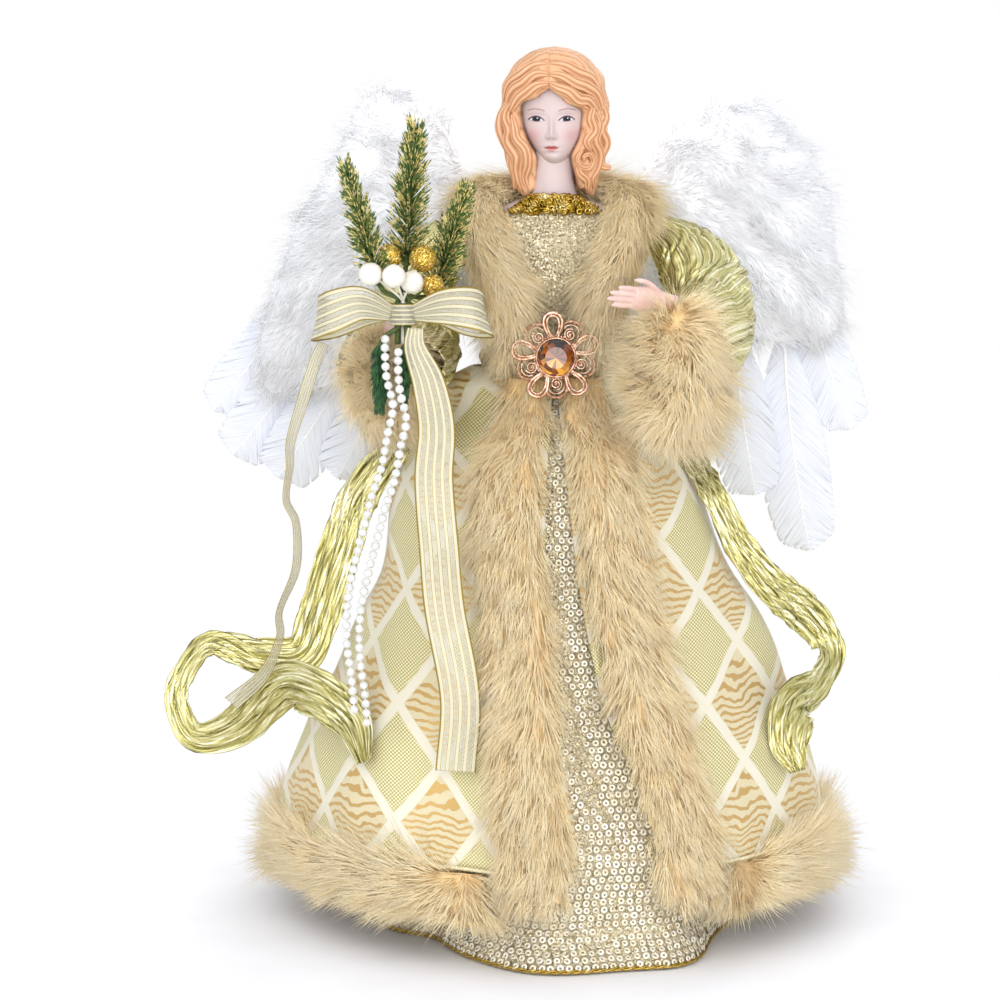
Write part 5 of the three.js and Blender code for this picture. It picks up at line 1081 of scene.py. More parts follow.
# %% Cuffs
CUFF_AIMS = {"left": (-0.75, -0.65, 0.1), "right": (-0.15, -0.97, 0.2)}
for word, aim in CUFF_AIMS.items():
    points, normals, faces = core(f"fur_cuff_{word}", 6.5)
    outward, sideways, angle = around(points)
    away = -unit(np.array(aim))
    wave = ripples(points, 22, 90 + len(word))[:, None]
    comb = laid(away * 0.55 + DOWNWARD * 0.75 + sideways * 0.75 * wave, normals)
    at_wrist = smooth(-(normals * away).sum(1), 0.45, 0.85)[:, None]
    comb = mix(comb, comb * 0.2 - away * 0.25, at_wrist)
    grow(f"fur_cuff_of_{word}", f"arm_{word}", (points, faces), comb, 16500 if word == "left" else 12500,
        fur, 0.17, [f"fur_cuff_{word}"], "fur", 95 + len(word), **{**FUR_SHAPE, "Length": 0.015})

# %% [markdown]
# ## Head: painted bisque
# The head is a cast of unglazed porcelain, painted by hand. The form is a fine grid round the
# skull on which small rounded bumps raise the nose, lips, lids, cheeks and chin. The paint is a
# colour for each point of the grid, worked out from plain shapes: a lid is an arc, an iris a disc.

# %% Head form
CHIN, HEAD_TOP, FACE_WIDTH, HEAD_DEPTH = 347, 396, 35, 38
EYE_SIDE, EYE_HEIGHT, MOUTH_HEIGHT, MIDLINE = 6.9, 366.3, 353.4, -1.6
skull_at = curve_through([
    [-0.045, 0.18, 0.3, 0.36], [0, 0.29, 0.6, 0.52], [0.05, 0.43, 0.74, 0.62], [0.11, 0.56, 0.81, 0.72],
    [0.2, 0.72, 0.85, 0.82], [0.34, 0.92, 0.87, 0.92], [0.52, 1.03, 0.9, 1], [0.7, 1.05, 0.87, 1],
    [0.84, 0.98, 0.72, 0.86], [0.94, 0.66, 0.46, 0.56], [1, 0.06, 0.04, 0.06]])
nose_at = curve_through([
    [350, 0, 1.5], [355.8, 0, 1.6], [357.2, 0.5, 2.2], [358.3, 2.3, 2.0], [359.6, 3.1, 1.65],
    [361.6, 2.5, 1.3], [364.4, 1.6, 1.2], [367.5, 0.9, 1.6], [371, 0.25, 2.6], [374, 0, 3]])
# Bumps on the face: side, height, spread across, spread up, relief, all in millimetres.
FACE_BUMPS = [
    (2.0, 358.6, 0.85, 0.95, 0.75), (EYE_SIDE, 366.6, 4.2, 2.9, -1.5), (EYE_SIDE, 366.0, 2.8, 1.75, 1.25),
    (9.0, 359.6, 4.8, 4.6, 0.9), (0.0, 356.1, 0.6, 0.9, -0.25), (1.1, 354.6, 1.3, 0.62, 0.75),
    (0.0, 354.4, 2.6, 0.6, 0.5), (0.0, MOUTH_HEIGHT, 3.2, 0.26, -0.75), (0.0, 352.45, 2.1, 0.72, 1.2),
    (0.0, 351.0, 3.0, 0.7, -0.55), (0.0, 349.0, 3.4, 1.9, 1.5), (7.5, 370.6, 4.5, 1.3, 0.35),
    (3.6, 353.6, 0.8, 0.8, -0.3)]


def head_surface(turn, height):
    shape = skull_at((height - CHIN) / (HEAD_TOP - CHIN))
    front = cosine(turn) > 0
    half = np.where(front, shape[..., 1], shape[..., 2]) * HEAD_DEPTH / 2
    x = shape[..., 0] * FACE_WIDTH / 2 * sine(turn)
    nose = nose_at(height)
    off = x - MIDLINE
    relief = nose[..., 0] * bump(off, nose[..., 1])
    for side, level, across, upward, rise in FACE_BUMPS:
        both = bump(off - side, across) + (bump(off + side, across) if side else 0)
        relief = relief + rise * both * bump(height - level, upward)
    relief = relief * np.where(front, smooth(cosine(turn), 0, 0.5), 0)
    return stacked(x, -half * cosine(turn) - relief, height)


levels = np.concatenate([np.linspace(CHIN - 2.3, 380, 160), np.linspace(381, HEAD_TOP, 12)])
even = np.arange(220) / 220 * 2 - 1
turns = 180 * even * (0.5 + 0.5 * even**2)
skull = tube(head_surface(*np.meshgrid(turns, levels)))


def neck_surface(turn, height):
    plate = body_point(height, turn, 0)
    slope = smooth(height, 330, 341)
    radius = mix(11.6, 9.9, slope)
    neck = stacked(radius * sine(turn) - 1.0, 1 - 1.8 * slope - radius * cosine(turn), height)
    return np.where((height < 334)[..., None], mix(plate, neck, smooth(height, 326, 334)[..., None]), neck)


neck_levels = np.linspace(SHOULDER - 0.3, 352, 70)
neck_turns = np.arange(110) / 110 * 360
neck = tube(neck_surface(*np.meshgrid(neck_turns, neck_levels)))
points, faces, _ = joined(skull, neck)
print("rows and columns of the skull:", len(levels), len(turns))

# %% Face paint
BISQUE, LIP, BLUSH, LASH = "#CDBBB8", "#BC7068", "#C89494", "#463539"
paint = np.tile(np.array(colour(BISQUE)), (len(points), 1))
x, y, z = points.T
x = x - MIDLINE
side = np.abs(x)
face = (y < -4) & (z > 344)


def brush(code, amount):
    """Lays a colour over the paint, by an amount from 0 to 1 at each point."""
    amount = np.clip(amount, 0, 1)[:, None] * face[:, None]
    paint[:] = mix(paint, np.array(colour(code)), amount)


def line(distance, width):
    return 1 - smooth(np.abs(distance), width * 0.5, width * 0.5 + 0.16)


dx = side - EYE_SIDE
arch = 1 - (dx / 3.35) ** 2
upper, lower = EYE_HEIGHT + 1.35 * arch + 0.08 * dx, EYE_HEIGHT - 0.85 * arch + 0.08 * dx
inside = (arch > 0) * smooth(z, lower - 0.1, lower + 0.1) * smooth(-z, -upper - 0.1, -upper + 0.1)
spot = np.hypot(dx, (z - EYE_HEIGHT - 0.25))
brush(BLUSH, 0.6 * np.exp(-((side - 8.6) / 3.6) ** 2 - ((z - 359.4) / 3.2) ** 2))
brush("#CDB6BA", 0.5 * np.exp(-(dx / 3.8) ** 2 - ((z - 368.2) / 1.3) ** 2))
brush("#D9DCE2", inside)
brush("#1E2E42", inside * (1 - smooth(spot, 1.55, 1.75)))
brush("#070A10", inside * (1 - smooth(spot, 0.9, 1.15)))
brush("#101822", inside * line(spot - 1.6, 0.3))
glint = np.hypot(x - np.sign(x) * EYE_SIDE - 0.5, z - EYE_HEIGHT - 0.75)
brush("#FFFFFF", inside * (1 - smooth(glint, 0.16, 0.34)))
brush(LASH, (np.abs(dx) < 3.8) * line(z - (EYE_HEIGHT + 1.4 * np.maximum(arch, -0.15) + 0.14 + 0.08 * dx),
    0.58))
brush("#A58A8E", 0.8 * (np.abs(dx) < 3.1) * line(z - lower, 0.16))
brush("#A98F90", 0.45 * (np.abs(dx) < 3.9) * line(z - (EYE_HEIGHT + 2.35 + 0.5 * (1 - (dx / 3.9) ** 2)), 0.2))
brow = 370.0 + 1.15 * (1 - ((dx - 0.6) / 4.6) ** 2)
brush("#8A6A60", 0.85 * smooth(4.4 - np.abs(dx - 0.2), 0, 1) * line(z - brow, 0.3))
lip_half = 3.15
bow = 0.95 * (1 - (side / lip_half) ** 2) - 0.42 * bump(x, 0.55)
brush(LIP, (side < lip_half) * smooth(z, MOUTH_HEIGHT - 0.1, MOUTH_HEIGHT + 0.05)
    * smooth(-z, -(MOUTH_HEIGHT + bow + 0.35), -(MOUTH_HEIGHT + bow + 0.1)))
lower_half = 2.5
lower_edge = MOUTH_HEIGHT - 1.5 * (1 - (side / lower_half) ** 2)
brush("#D4918A", (side < lower_half) * smooth(-z, -MOUTH_HEIGHT - 0.05, -MOUTH_HEIGHT + 0.1)
    * smooth(z, lower_edge - 0.15, lower_edge + 0.1))
brush("#9C4B44", (side < 3.2) * line(z - MOUTH_HEIGHT, 0.2))
brush("#B98F8E", 0.8 * np.exp(-((side - 1.15) / 0.45) ** 2 - ((z - 357.5) / 0.35) ** 2))

# Bisque porcelain: unglazed and fine, with a dull skin-like sheen under the paint.
bisque = finish("painted_bisque", ["#FFFFFF", "#FFFFFF"], 0.5, grain=0.6, relief=0.02,
    **{"Specular IOR Level": 0.35})
feed(bisque, {"Base Color": add(bisque.node_tree, "Attribute", attribute_name="paint").outputs["Color"]})
head = make("head_and_shoulder_plate", (points, faces), bisque, "figure", ["head_bust"],
    values={"paint": paint})
print("points in the head:", len(points))

# %% [markdown]
# ## Moulded hair
# The hair is cast with the head: no single hairs, but soft waves parted in the middle, pressed
# as ridges and grooves. One shell follows the hairline round the face. Its surface is raised into
# locks that run from the parting out and down, and swing from side to side as they fall. Heavier
# locks round the face are ridged tubes laid over it.

# %% Hair shell
HAIR_TOP, HAIR_FOOT, HAIR_LOW, PARTING, HAIR_HALF, HAIR_DEEP = 400.0, 332, 333.5, -2.9, 24.3, 25
hair_at = curve_through([
    [0, 0.72, 0.34, 0.5], [0.1, 0.8, 0.4, 0.66], [0.26, 0.89, 0.54, 0.82], [0.36, 0.96, 0.62, 0.9],
    [0.5, 1, 0.74, 0.98],
    [0.7, 0.97, 0.86, 1], [0.84, 0.83, 0.78, 0.9], [0.94, 0.56, 0.55, 0.63], [0.985, 0.29, 0.29, 0.32],
    [1, 0.01, 0.01, 0.01]])
hairline_left = curve_through([
    [332, 12.8], [337, 12.3], [344.7, 9.9], [349.2, 8.6], [352, 9.4], [357.6, 12.3], [365.9, 14],
    [370.6, 13.8],
    [372.6, 8.8], [374, 5.4], [376.2, 3.2], [380.4, PARTING], [401, PARTING]])
hairline_right = curve_through([
    [332, -9.5], [343.6, -9.4], [349.2, -9.2], [352, -10.6], [356.4, -13.6], [360.4, -15.6], [366, -17.2],
    [372.6, -17.4], [375, -14.4], [375.8, -9.6], [378, -6.9], [380.4, PARTING], [401, PARTING]])


def hair_cloth(u, v, depth):
    """The shell from one side of the hairline, round the back, to the other."""
    around_back = 360 * u
    low = HAIR_LOW + 2.0 * sine(around_back * 5 + 40) + 7 * bump(around_back - 180, 90)
    height = low + (HAIR_TOP - low) * sine(90 * v)
    shape = hair_at((height - HAIR_FOOT) / (HAIR_TOP - HAIR_FOOT))
    half_width = shape[..., 0] * HAIR_HALF
    reach = np.maximum(half_width, 0.6)
    start = np.degrees(np.arcsin(np.clip(hairline_left(height)[..., 0] / reach, -0.98, 0.98)))
    end = 360 + np.degrees(np.arcsin(np.clip(hairline_right(height)[..., 0] / reach, -0.98, 0.98)))
    gone = smooth(height, 380, 382)
    parted = np.degrees(PARTING / reach)
    turn = mix(mix(start, parted, gone), mix(end, 360 + parted, gone), u)
    turn = np.where(height > 397, mix(0, 360, u), turn)
    half_depth = np.where(cosine(turn) > 0, shape[..., 1], shape[..., 2]) * HAIR_DEEP
    x, y = half_width * sine(turn), -half_depth * cosine(turn)
    from_part = np.abs(x - PARTING)
    run = from_part + 1.05 * (HAIR_TOP - height)
    lock = y / np.maximum(half_depth, mix(half_depth, 19, smooth(height, 366, 384)))
    lock = lock * 6 + np.where(x > PARTING, 0.31, 0)
    sway = np.sin(run * 2 * np.pi / 19 + 0.7 * lock + np.where(x > PARTING, 1.3, 0))
    swing = 0.42 * sway * smooth(run, 8, 34)
    fine = lock + swing + 0.07 * ripples(stacked(x, y, height), 14, 61)
    groove = np.abs(np.sin(np.pi * fine)) ** 0.55
    strand = np.abs(np.sin(np.pi * fine * 4 + 0.6 * np.sin(run / 5)))
    wave = 0.75 * np.sin(run * 2 * np.pi / 17 + 0.5 * lock)
    edge = np.minimum(u, 1 - u) * 360 * reach / 57.3
    lip = smooth(edge, 0, 1.6)
    seam = np.where(height > 378, smooth(edge, 0, 1.2), lip)
    low_down = mix(0.3, 1.0, smooth(run, 14, 42))
    raised = low_down * (0.8 * groove + 0.7 * wave) + 0.4 * strand - 0.5
    out = raised * smooth(HAIR_TOP - height, 0.2, 6) * seam - 0.5 * (1 - seam) - depth
    x, y = np.maximum(half_width + out, 0.02) * sine(turn), -np.maximum(half_depth + out, 0.02) * cosine(turn)
    return stacked(x, y, height), groove


flat_hair = panel(lambda u, v, depth: hair_cloth(u, v, depth)[0], 240, 76, 3.2)
u, v = flat_hair[2].T
groove = hair_cloth(u, v, 0)[1]
# Locks that stand off the shell. Each route has rows of side, height and how far it stands out.
LOCKS = [
    ([(-3.4, 382.5, 0.2), (-8, 381.4, 1.3), (-12.5, 378.4, 1.6), (-16.5, 375.6, 1.6), (-19.5, 370, 1.2)],
    2.5),
    ([(-3.4, 386.5, 0), (-9, 386.2, 0.9), (-14, 382.6, 1.2), (-18.5, 379.5, 1.3), (-21.5, 373, 1.0)], 2.7),
    ([(-3.6, 391, -0.4), (-10, 390, 0.5), (-15.5, 386, 0.9), (-20, 382, 0.9), (-22.8, 375, 0.8)], 2.7),
    ([(-2.4, 382.5, 0.2), (1.5, 380.4, 1.3), (6, 378.6, 1.7), (10.5, 375.2, 1.9), (15, 374.6, 1.6),
    (19, 370, 1.0)], 2.6),
    ([(-2.4, 386.5, 0), (3, 385.4, 0.9), (9, 382.4, 1.4), (14, 380.8, 1.4), (18.5, 377.5, 1.2),
    (21, 371, 0.8)], 2.7),
    ([(-2.2, 391, -0.4), (4.5, 390, 0.5), (10.5, 387, 0.9), (16, 384.2, 1.0), (20.2, 378, 0.8)], 2.7),
    ([(-20.5, 374, 0.6), (-23, 369, 0.9), (-24, 363, 0.9), (-22.4, 357, 1), (-20.5, 351.5, 0.8)], 2.8),
    ([(-19.4, 374, 0.8), (-21.4, 368, 1.2), (-19.4, 362, 1.6), (-20, 356.5, 1.5), (-16.4, 350, 1.4),
    (-16.4, 343, 1), (-14.4, 334.5, 0.6)], 3.0),
    ([(-19.2, 369, 0.6), (-17.8, 363.4, 1.4), (-17, 358, 1.6), (-13, 352.6, 1.4), (-12, 346, 1.2),
    (-13.2, 340, 0.8), (-11.4, 334, 0.4)], 2.3),
    ([(-19.5, 352, 0.8), (-19, 346, 0.8), (-17.4, 340, 0.6), (-18, 335, 0.4)], 2.1),
    ([(17.4, 373, 0.9), (15.8, 367, 1.4), (17.6, 361.5, 1.6), (14.2, 356.6, 1.7), (15.8, 352.4, 1.5)], 2.3),
    ([(20, 374, 0.6), (22.4, 368, 0.9), (20.4, 362, 1.2), (22.6, 356, 1.1), (20.6, 350, 1), (21.6, 345.6, 1),
    (25.4, 344.6, 1.2)], 2.8),
    ([(17.6, 370, 1), (19.4, 364, 1.3), (17.6, 357, 1.5), (19.6, 351, 1.4), (18.8, 345, 1.2),
    (16.5, 340, 0.8), (17.6, 335.5, 0.4)], 2.6),
    ([(12.4, 352.6, 1.2), (10.2, 349, 1.6), (11.4, 345.2, 1.7), (15, 344.4, 1.8), (17, 347.6, 1.9),
    (15.4, 350.6, 2),
    (12.8, 349.6, 2.1), (13.4, 347.2, 2.1)], 1.45),
    ([(10.4, 346, 0.6), (11.6, 341.5, 1), (14.6, 338.4, 1), (15.2, 334.4, 0.6)], 2.1)]


def on_hair(rows):
    """Places rows of side, height and stand-off on the front of the hair shell."""
    x, height, out = np.array(rows, float).T
    shape = hair_at((height - HAIR_FOOT) / (HAIR_TOP - HAIR_FOOT))
    share = np.clip(x / (shape[:, 0] * HAIR_HALF), -0.94, 0.94)
    around = stacked(share, -np.sqrt(1 - share**2))
    return stacked(x + around[:, 0] * out * 0.4, around[:, 1] * (shape[:, 1] * HAIR_DEEP + out), height)


# The shade values are painted shade: low in the shell's grooves and between the ridges of each lock.
curl_skins, shade = [], [groove]
strands = np.arange(30) * 12.0
for number, (rows, thick) in enumerate(LOCKS):
    share = np.linspace(0, 1, 64)
    centre, across, over, _ = course(on_hair(rows), (0.02, 1, 0.05))(share)
    size = thick * (np.sin(np.pi * np.clip(share * 0.95 + 0.025, 0, 1)) ** 0.42)
    ridge = cosine(strands[None, :] * 6 + 70 * np.sin(share * 7 + number)[:, None])
    ridged = 1 + 0.11 * ridge
    ring = around_line(0, across[:, None], over[:, None], cosine(strands) * ridged,
        sine(strands) * ridged * 0.6)
    curl_skins.append(tube(centre[:, None] + ring * size[:, None, None]))
    shade.append(np.append((0.55 + 0.5 * ridge).ravel(), (0.5, 0.5)))
shade = np.concatenate(shade)
hair_points, hair_faces, _ = joined(flat_hair[:2], *curl_skins)
# Matt hair paint over bisque: apricot, with painted shade that darkens it in the grooves.
hair_paint = finish("apricot_hair_paint", ["#DFA97C", "#E4B68E"], 0.5, grain=5, relief=0.03)
found, tree = nodes_of(hair_paint), hair_paint.node_tree
# Painted shade: the groove values mix the paint toward a dark brown in the grooves.
depth = add(tree, "Attribute", attribute_name="groove")
groove_shade_share = add(tree, "MapRange", {"Value": depth.outputs["Fac"], "From Min": 0.15, "From Max": 0.85})
groove_painted_shade = add(tree, "Mix", {0: groove_shade_share.outputs[0], 6: colour("#B67C50"), 7: found["ValToRGB"].outputs[0]},
    data_type="RGBA")
feed(hair_paint, {"Base Color": groove_painted_shade.outputs[2]})
make("moulded_wavy_hair", (hair_points, hair_faces), hair_paint, "figure", ["moulded_hair"],
    values={"groove": np.clip(shade, 0, 1)})

# %% [markdown]
# ## Hands, sleeves and arm routes
# The hands are cast bisque, a palm with slim tapering fingers. They are built from swept forms and
# then fused by a fine voxel remesh, which gives the soft webs of a casting. The sleeves are crushed
# gold lamé: a swept sleeve whose skin is drawn into long sharp creases.

# %% Arm routes and hands
ARM, HAND, HAND_WIDE, HAND_THICK = 120, 25, 12.3, 6.8
ARM_OUT = SHOULDER_WIDTH / 2 + GAP + 2.2
SIDES = {"left": 1, "right": -1}


def from_shoulder(side, shares):
    shares = np.asarray(shares, float)
    return np.array((side * ARM_OUT, 0, SHOULDER - 2.2)) + shares * ARM * (side, 1, 1)


def swept(route, rows, sides, stations, up=(0, 0, 1)):
    """A form swept along a route: rows of [share, half width, half height]."""
    share = np.linspace(0, 1, stations + 1)
    centre, across, over, _ = course(route, up)(share)
    size = curve_through(rows)(share)
    turn = np.arange(sides) * 360 / sides
    return tube(centre[:, None] + across[:, None] * (size[:, :1] * cosine(turn))[..., None]
        + over[:, None] * (size[:, 1:2] * sine(turn))[..., None])


def hand_form(curl):
    """A hand along X, palm down: the palm, four fingers and the thumb, with joints."""
    palm_length = HAND * 0.46
    parts = [swept([(-palm_length * 0.7, 0, 0), (palm_length * 0.3, 0, 0), (palm_length, 0, -0.4)], [
        [0, 0.25 * HAND_WIDE, 0.32 * HAND_THICK], [0.4, 0.36 * HAND_WIDE, 0.4 * HAND_THICK],
        [0.75, 0.47 * HAND_WIDE, 0.4 * HAND_THICK], [1, 0.44 * HAND_WIDE, 0.28 * HAND_THICK]], 20, 14)]
    for spread, reach, thick in ((-0.31, 0.86, 0.205), (-0.105, 0.96, 0.215), (0.105, 0.93, 0.21),
        (0.31, 0.8, 0.195)):
        length, drop, size = HAND * reach, HAND_THICK * curl, thick * HAND_WIDE / 2
        parts.append(swept([
            (palm_length * 0.7, spread * HAND_WIDE, 0), (mix(palm_length, length, 0.5),
            spread * HAND_WIDE * 1.05, -drop * 0.25),
            (length - drop * 0.3, spread * HAND_WIDE * 1.1, -drop)], [
            [0, size, size], [0.45, size * 0.95, size * 0.95], [0.55, size * 1.05, size * 1.02],
            [0.8, size * 0.86, size * 0.84], [0.94, size * 0.7, size * 0.6], [1, size * 0.2, size * 0.2]],
            12, 16))
    parts.append(swept([(0, HAND_WIDE * 0.25, 0), (palm_length * 0.62, HAND_WIDE * 0.64, -1.2),
        (palm_length * 1.2, HAND_WIDE * 0.72, -2)], [
        [0, 1.5, 1.5], [0.5, 1.25, 1.2], [0.85, 1.0, 0.9], [1, 0.25, 0.2]], 12, 14))
    return joined(*parts)


def fused(name, skin, voxel, soften):
    """One soft casting from overlapping forms: a fine voxel remesh, then a smoothing."""
    mesh = modified(mesh_object(name, skin[:2]), [
        ("REMESH", {"mode": "VOXEL", "voxel_size": voxel * MM}),
        ("SMOOTH", {"iterations": soften, "factor": 0.5})])
    mesh.shade_smooth()
    return placed(name, mesh)


HAND_SETS = {"left": ((-0.95, -0.2, 0.12), (0.1, -0.3, 0.95), (-0.002, -0.664, -0.243), 0.15),
    "right": ((0.25, -0.75, 0.25), (0.1, 0.2, 1), (0.237, -0.52, -0.335), 0.9)}
# The hands' bisque: the same casting as the head, a little pinker.
hand_bisque = finish("hand_bisque", ["#D6B3A8", "#DCC0B8"], 0.5, grain=5, relief=0.03)
for word, (aim, across_way, place, curl) in HAND_SETS.items():
    along = unit(np.array(aim))
    palm_up = unit(np.cross(along, across_way))
    wide = np.cross(palm_up, along)
    points, faces, _ = hand_form(curl)
    points = points @ np.stack([along, wide, palm_up]) + from_shoulder(SIDES[word], place)
    hand = fused(f"cast_hand_{word}", (points, faces), 0.42, 3)
    hand.data.materials.append(hand_bisque)
    settle(hand, f"arm_{word}", [f"hand_{word}"])

# %% Sleeves
# Crushed lamé: metallised yarn cloth. Its colour holds painted shade and highlights of the creases, in long
# streaks from dark olive to pale yellow.
lame = finish("crushed_gold_lame", ["#5A5322", "#CAC27C", "#FFFBDC"], 0.26, 0.7, grain=1.0, relief=0.6,
    coords="UV", stretch=(1, 0.035, 1))
SLEEVES = {
    "left": [[0.03, 0, 0], [0.14, -0.05, -0.1], [0.23, -0.17, -0.25], [0.22, -0.34, -0.36],
    [0.14, -0.46, -0.41]],
    "right": [[0.03, 0, 0], [0.12, 0.02, -0.13], [0.17, 0.02, -0.3], [0.21, -0.08, -0.46],
    [0.25, -0.26, -0.52]]}
sleeve_size = curve_through([[0, 0.07, 0.07], [0.22, 0.12, 0.13], [0.5, 0.14, 0.16], [0.8, 0.14, 0.18],
    [1, 0.13, 0.16]])


def creases(u, v, count, seed):
    """Long sharp creases across a crushed cloth, from 0 to 1."""
    draw = seeded(seed)
    first, second = draw.uniform(0, 6), draw.uniform(0, 6)
    phase = count * u + 0.9 * np.sin(3.1 * v + first) + 0.5 * np.sin(7.3 * v + second)
    fold = np.abs(np.sin(np.pi * phase)) ** 0.8
    other = np.abs(np.sin(np.pi * (phase * 1.7 + 0.6 * np.sin(11 * v + 2)))) ** 0.7
    return 0.65 * fold + 0.35 * other


for word, shares in SLEEVES.items():
    side = SIDES[word]
    lie = course(from_shoulder(side, shares), (0, 0.4, 1))

    def sleeve_cloth(u, v, depth, lie=lie, side=side):
        centre, across, over, along = lie(v)
        size = sleeve_size(v) * ARM
        turn = 360 * u
        crease = 2.6 * (creases(4 * u, v * 2.2, 2.5, 130 + side) - 0.6) * smooth(v, 0, 0.15)
        crease = crease + 0.6 * (creases(v * 4, 5 * u, 3.1, 140 + side) - 0.5)
        fuller = 1 + (0.62 if side < 0 else 0) * smooth(v, 0.25, 0.75)
        width, tall = size[..., 0] * fuller + crease - depth, size[..., 1] + crease - depth
        return around_line(centre, across, over, width * cosine(turn), tall * sine(turn))

    skin = panel(sleeve_cloth, 100, 66, 0.7, wrap=True)
    cloth = skin[2] * (0.1, 0.075)
    piece = make(f"lame_sleeve_{word}", (skin[0], skin[1], cloth), lame, f"arm_{word}", [f"sleeve_{word}"])

# %% [markdown]
# ## Sash of crushed lamé
# A broad sash is knotted at the back of the waist, and its two tails swing out at the sides and
# fold back on themselves. The cloth is crushed lengthways, so a tail is a band whose section is
# pleated, and the pleats wander as they run.

# %% Sash
SASH_WIDE, SASH_THICK = 21, 0.6
SASHES = {
    "left": ([[0.1, 0.345, 0.985], [0.3, 0.33, 0.94], [0.44, 0.17, 0.885], [0.49, -0.04, 0.855],
    [0.57, -0.15, 0.79], [0.67, -0.17, 0.69], [0.8, -0.17, 0.61], [0.94, -0.17, 0.55],
    [1.02, -0.19, 0.49], [0.97, -0.28, 0.44], [0.87, -0.43, 0.41], [0.84, -0.51, 0.35],
    [0.87, -0.54, 0.3]],
    [[0, 0.5, 60], [0.2, 0.75, 50], [0.45, 0.75, 38], [0.66, 0.95, 22], [0.76, 0.8, 40], [0.88, 1.05, 14],
    [0.95, 0.9, 10], [1, 0.35, 8]]),
    "right": ([[0.1, 0.345, 0.985], [0.3, 0.34, 0.94], [0.47, 0.18, 0.9], [0.58, -0.03, 0.86],
    [0.72, -0.1, 0.77], [0.8, -0.14, 0.66], [0.87, -0.17, 0.55], [0.94, -0.19, 0.48],
    [1.1, -0.2, 0.48], [1.28, -0.21, 0.5], [1.39, -0.23, 0.42], [1.33, -0.27, 0.34],
    [1.17, -0.31, 0.36], [1.0, -0.38, 0.44], [0.86, -0.52, 0.44], [0.73, -0.62, 0.4],
    [0.68, -0.71, 0.335]],
    [[0, 0.5, 60], [0.2, 0.85, 40], [0.36, 1.0, 20], [0.5, 0.95, 28], [0.6, 0.7, 50], [0.68, 0.7, 30],
    [0.82, 1.1, 12], [0.94, 0.95, 8], [1, 0.35, 8]])}


def band(route, rows, up, side, width_of, pleat, thickness, columns, stations):
    """A ribbon along a route. Rows are [share, width, twist in degrees]; pleat(u, v) lifts it."""
    lie, shape = course(route, up), curve_through(rows)

    def place(u, v, depth):
        centre, across, over, _ = lie(v)
        size = shape(v)
        twist = side * size[..., 1]
        wide = (2 * u - 1) * size[..., 0] * width_of / 2
        lift = pleat(u, v) - depth + thickness / 2
        return around_line(centre, across, over, wide * cosine(twist) - lift * sine(twist),
            wide * sine(twist) + lift * cosine(twist))

    skin = panel(place, columns, stations, thickness)
    return (skin[0], skin[1], skin[2] * (width_of * MM, lie.length * MM)), lie.length


for word, (shares, rows) in SASHES.items():
    side = SIDES[word]
    route = np.array(shares) * (side * COAT_HEM_RADIUS, COAT_HEM_RADIUS, WAIST)

    def pleats(u, v, side=side):
        return (3.4 * (creases(u, v * 5, 4.2, 150 + side) - 0.5)
            + 0.4 * (creases(v * 9, u * 3, 3.2, 160 + side) - 0.5))

    skin, length = band(route, rows, (0, -1, 0.05), side, SASH_WIDE, pleats, SASH_THICK, 38, 200)
    tail = make(f"sash_lame_tail_{word}", skin, lame, "figure", [f"sash_tail_{word}"])
    print(f"sash tail {word}: {length:.0f} mm long")

# The knot is three lobes side by side.
lobes = [ball((6.5 * k, 35.5 + 1.5 * abs(k), 250 - 1.2 * abs(k)), 9.5 - abs(k), 30, (1.1, 0.62, 0.9))
    for k in (-1, 0, 1)]
knot = fused("sash_knot_lame", joined(*lobes), 0.9, 4)
knot_co = np.zeros(len(knot.data.vertices) * 3)
knot.data.vertices.foreach_get("co", knot_co)
knot_co = knot_co.reshape(-1, 3)
fold = creases(knot_co[:, 2] / MM / 9, knot_co[:, 0] / MM / 12, 3, 171) - 0.5
knot_co += stacked(0 * fold, fold * 1.4 * MM, 0 * fold)
knot.data.vertices.foreach_set("co", knot_co.ravel())
# The knot's lamé has the same painted shade and highlights in its colour, from olive to pale yellow.
knot.data.materials.append(finish("crushed_lame_knot", ["#7F773C", "#C9C183", "#F1EDC6"], 0.27, 0.72,
    grain=2.4, relief=0.4, stretch=(0.4, 1, 1)))
settle(knot, "figure", ["sash_knot"])

# %% [markdown]
# ## Bouquet
# The doll's right hand holds five sprigs of artificial pine, a pick of white berries and a pick
# of glitter balls. The needles are one slim unit set round each twig by the node tree, longer and
# wider apart at the foot, and dusted with gold glitter, which is drawn in the material.

# %% Pine sprigs
SPRIGS = {
    "pine_sprig_tall": (2, [0.002, 0.027, 0.048], [0.013, 0.01, 0.196], 0.027, 520, True),
    "pine_sprig_side": (3, [-0.024, -0.006, 0.03], [-0.061, -0.004, 0.158], 0.021, 440, True),
    "pine_sprig_inner": (1, [0.034, 0.036, 0.022], [0.066, 0.036, 0.13], 0.024, 440, True),
    "pine_sprig_low": (4, [-0.024, -0.008, -0.03], [-0.025, -0.012, -0.1], 0.015, 420, False),
    "pine_sprig_low_inner": (5, [0.004, -0.012, -0.03], [0.001, -0.01, -0.09], 0.012, 300, False)}


def stem_slot(slot, height):
    reach = 2.6 if slot < 6 else 0
    return KNOT + (reach * cosine(60.0 * slot), reach * sine(60.0 * slot), height)


# Wrapped stem wire: green crepe paper over steel.
stem_wrap = finish("green_stem_wrap", ["#3C4A22", "#5A6A34"], 0.75, grain=1.2, relief=0.12)
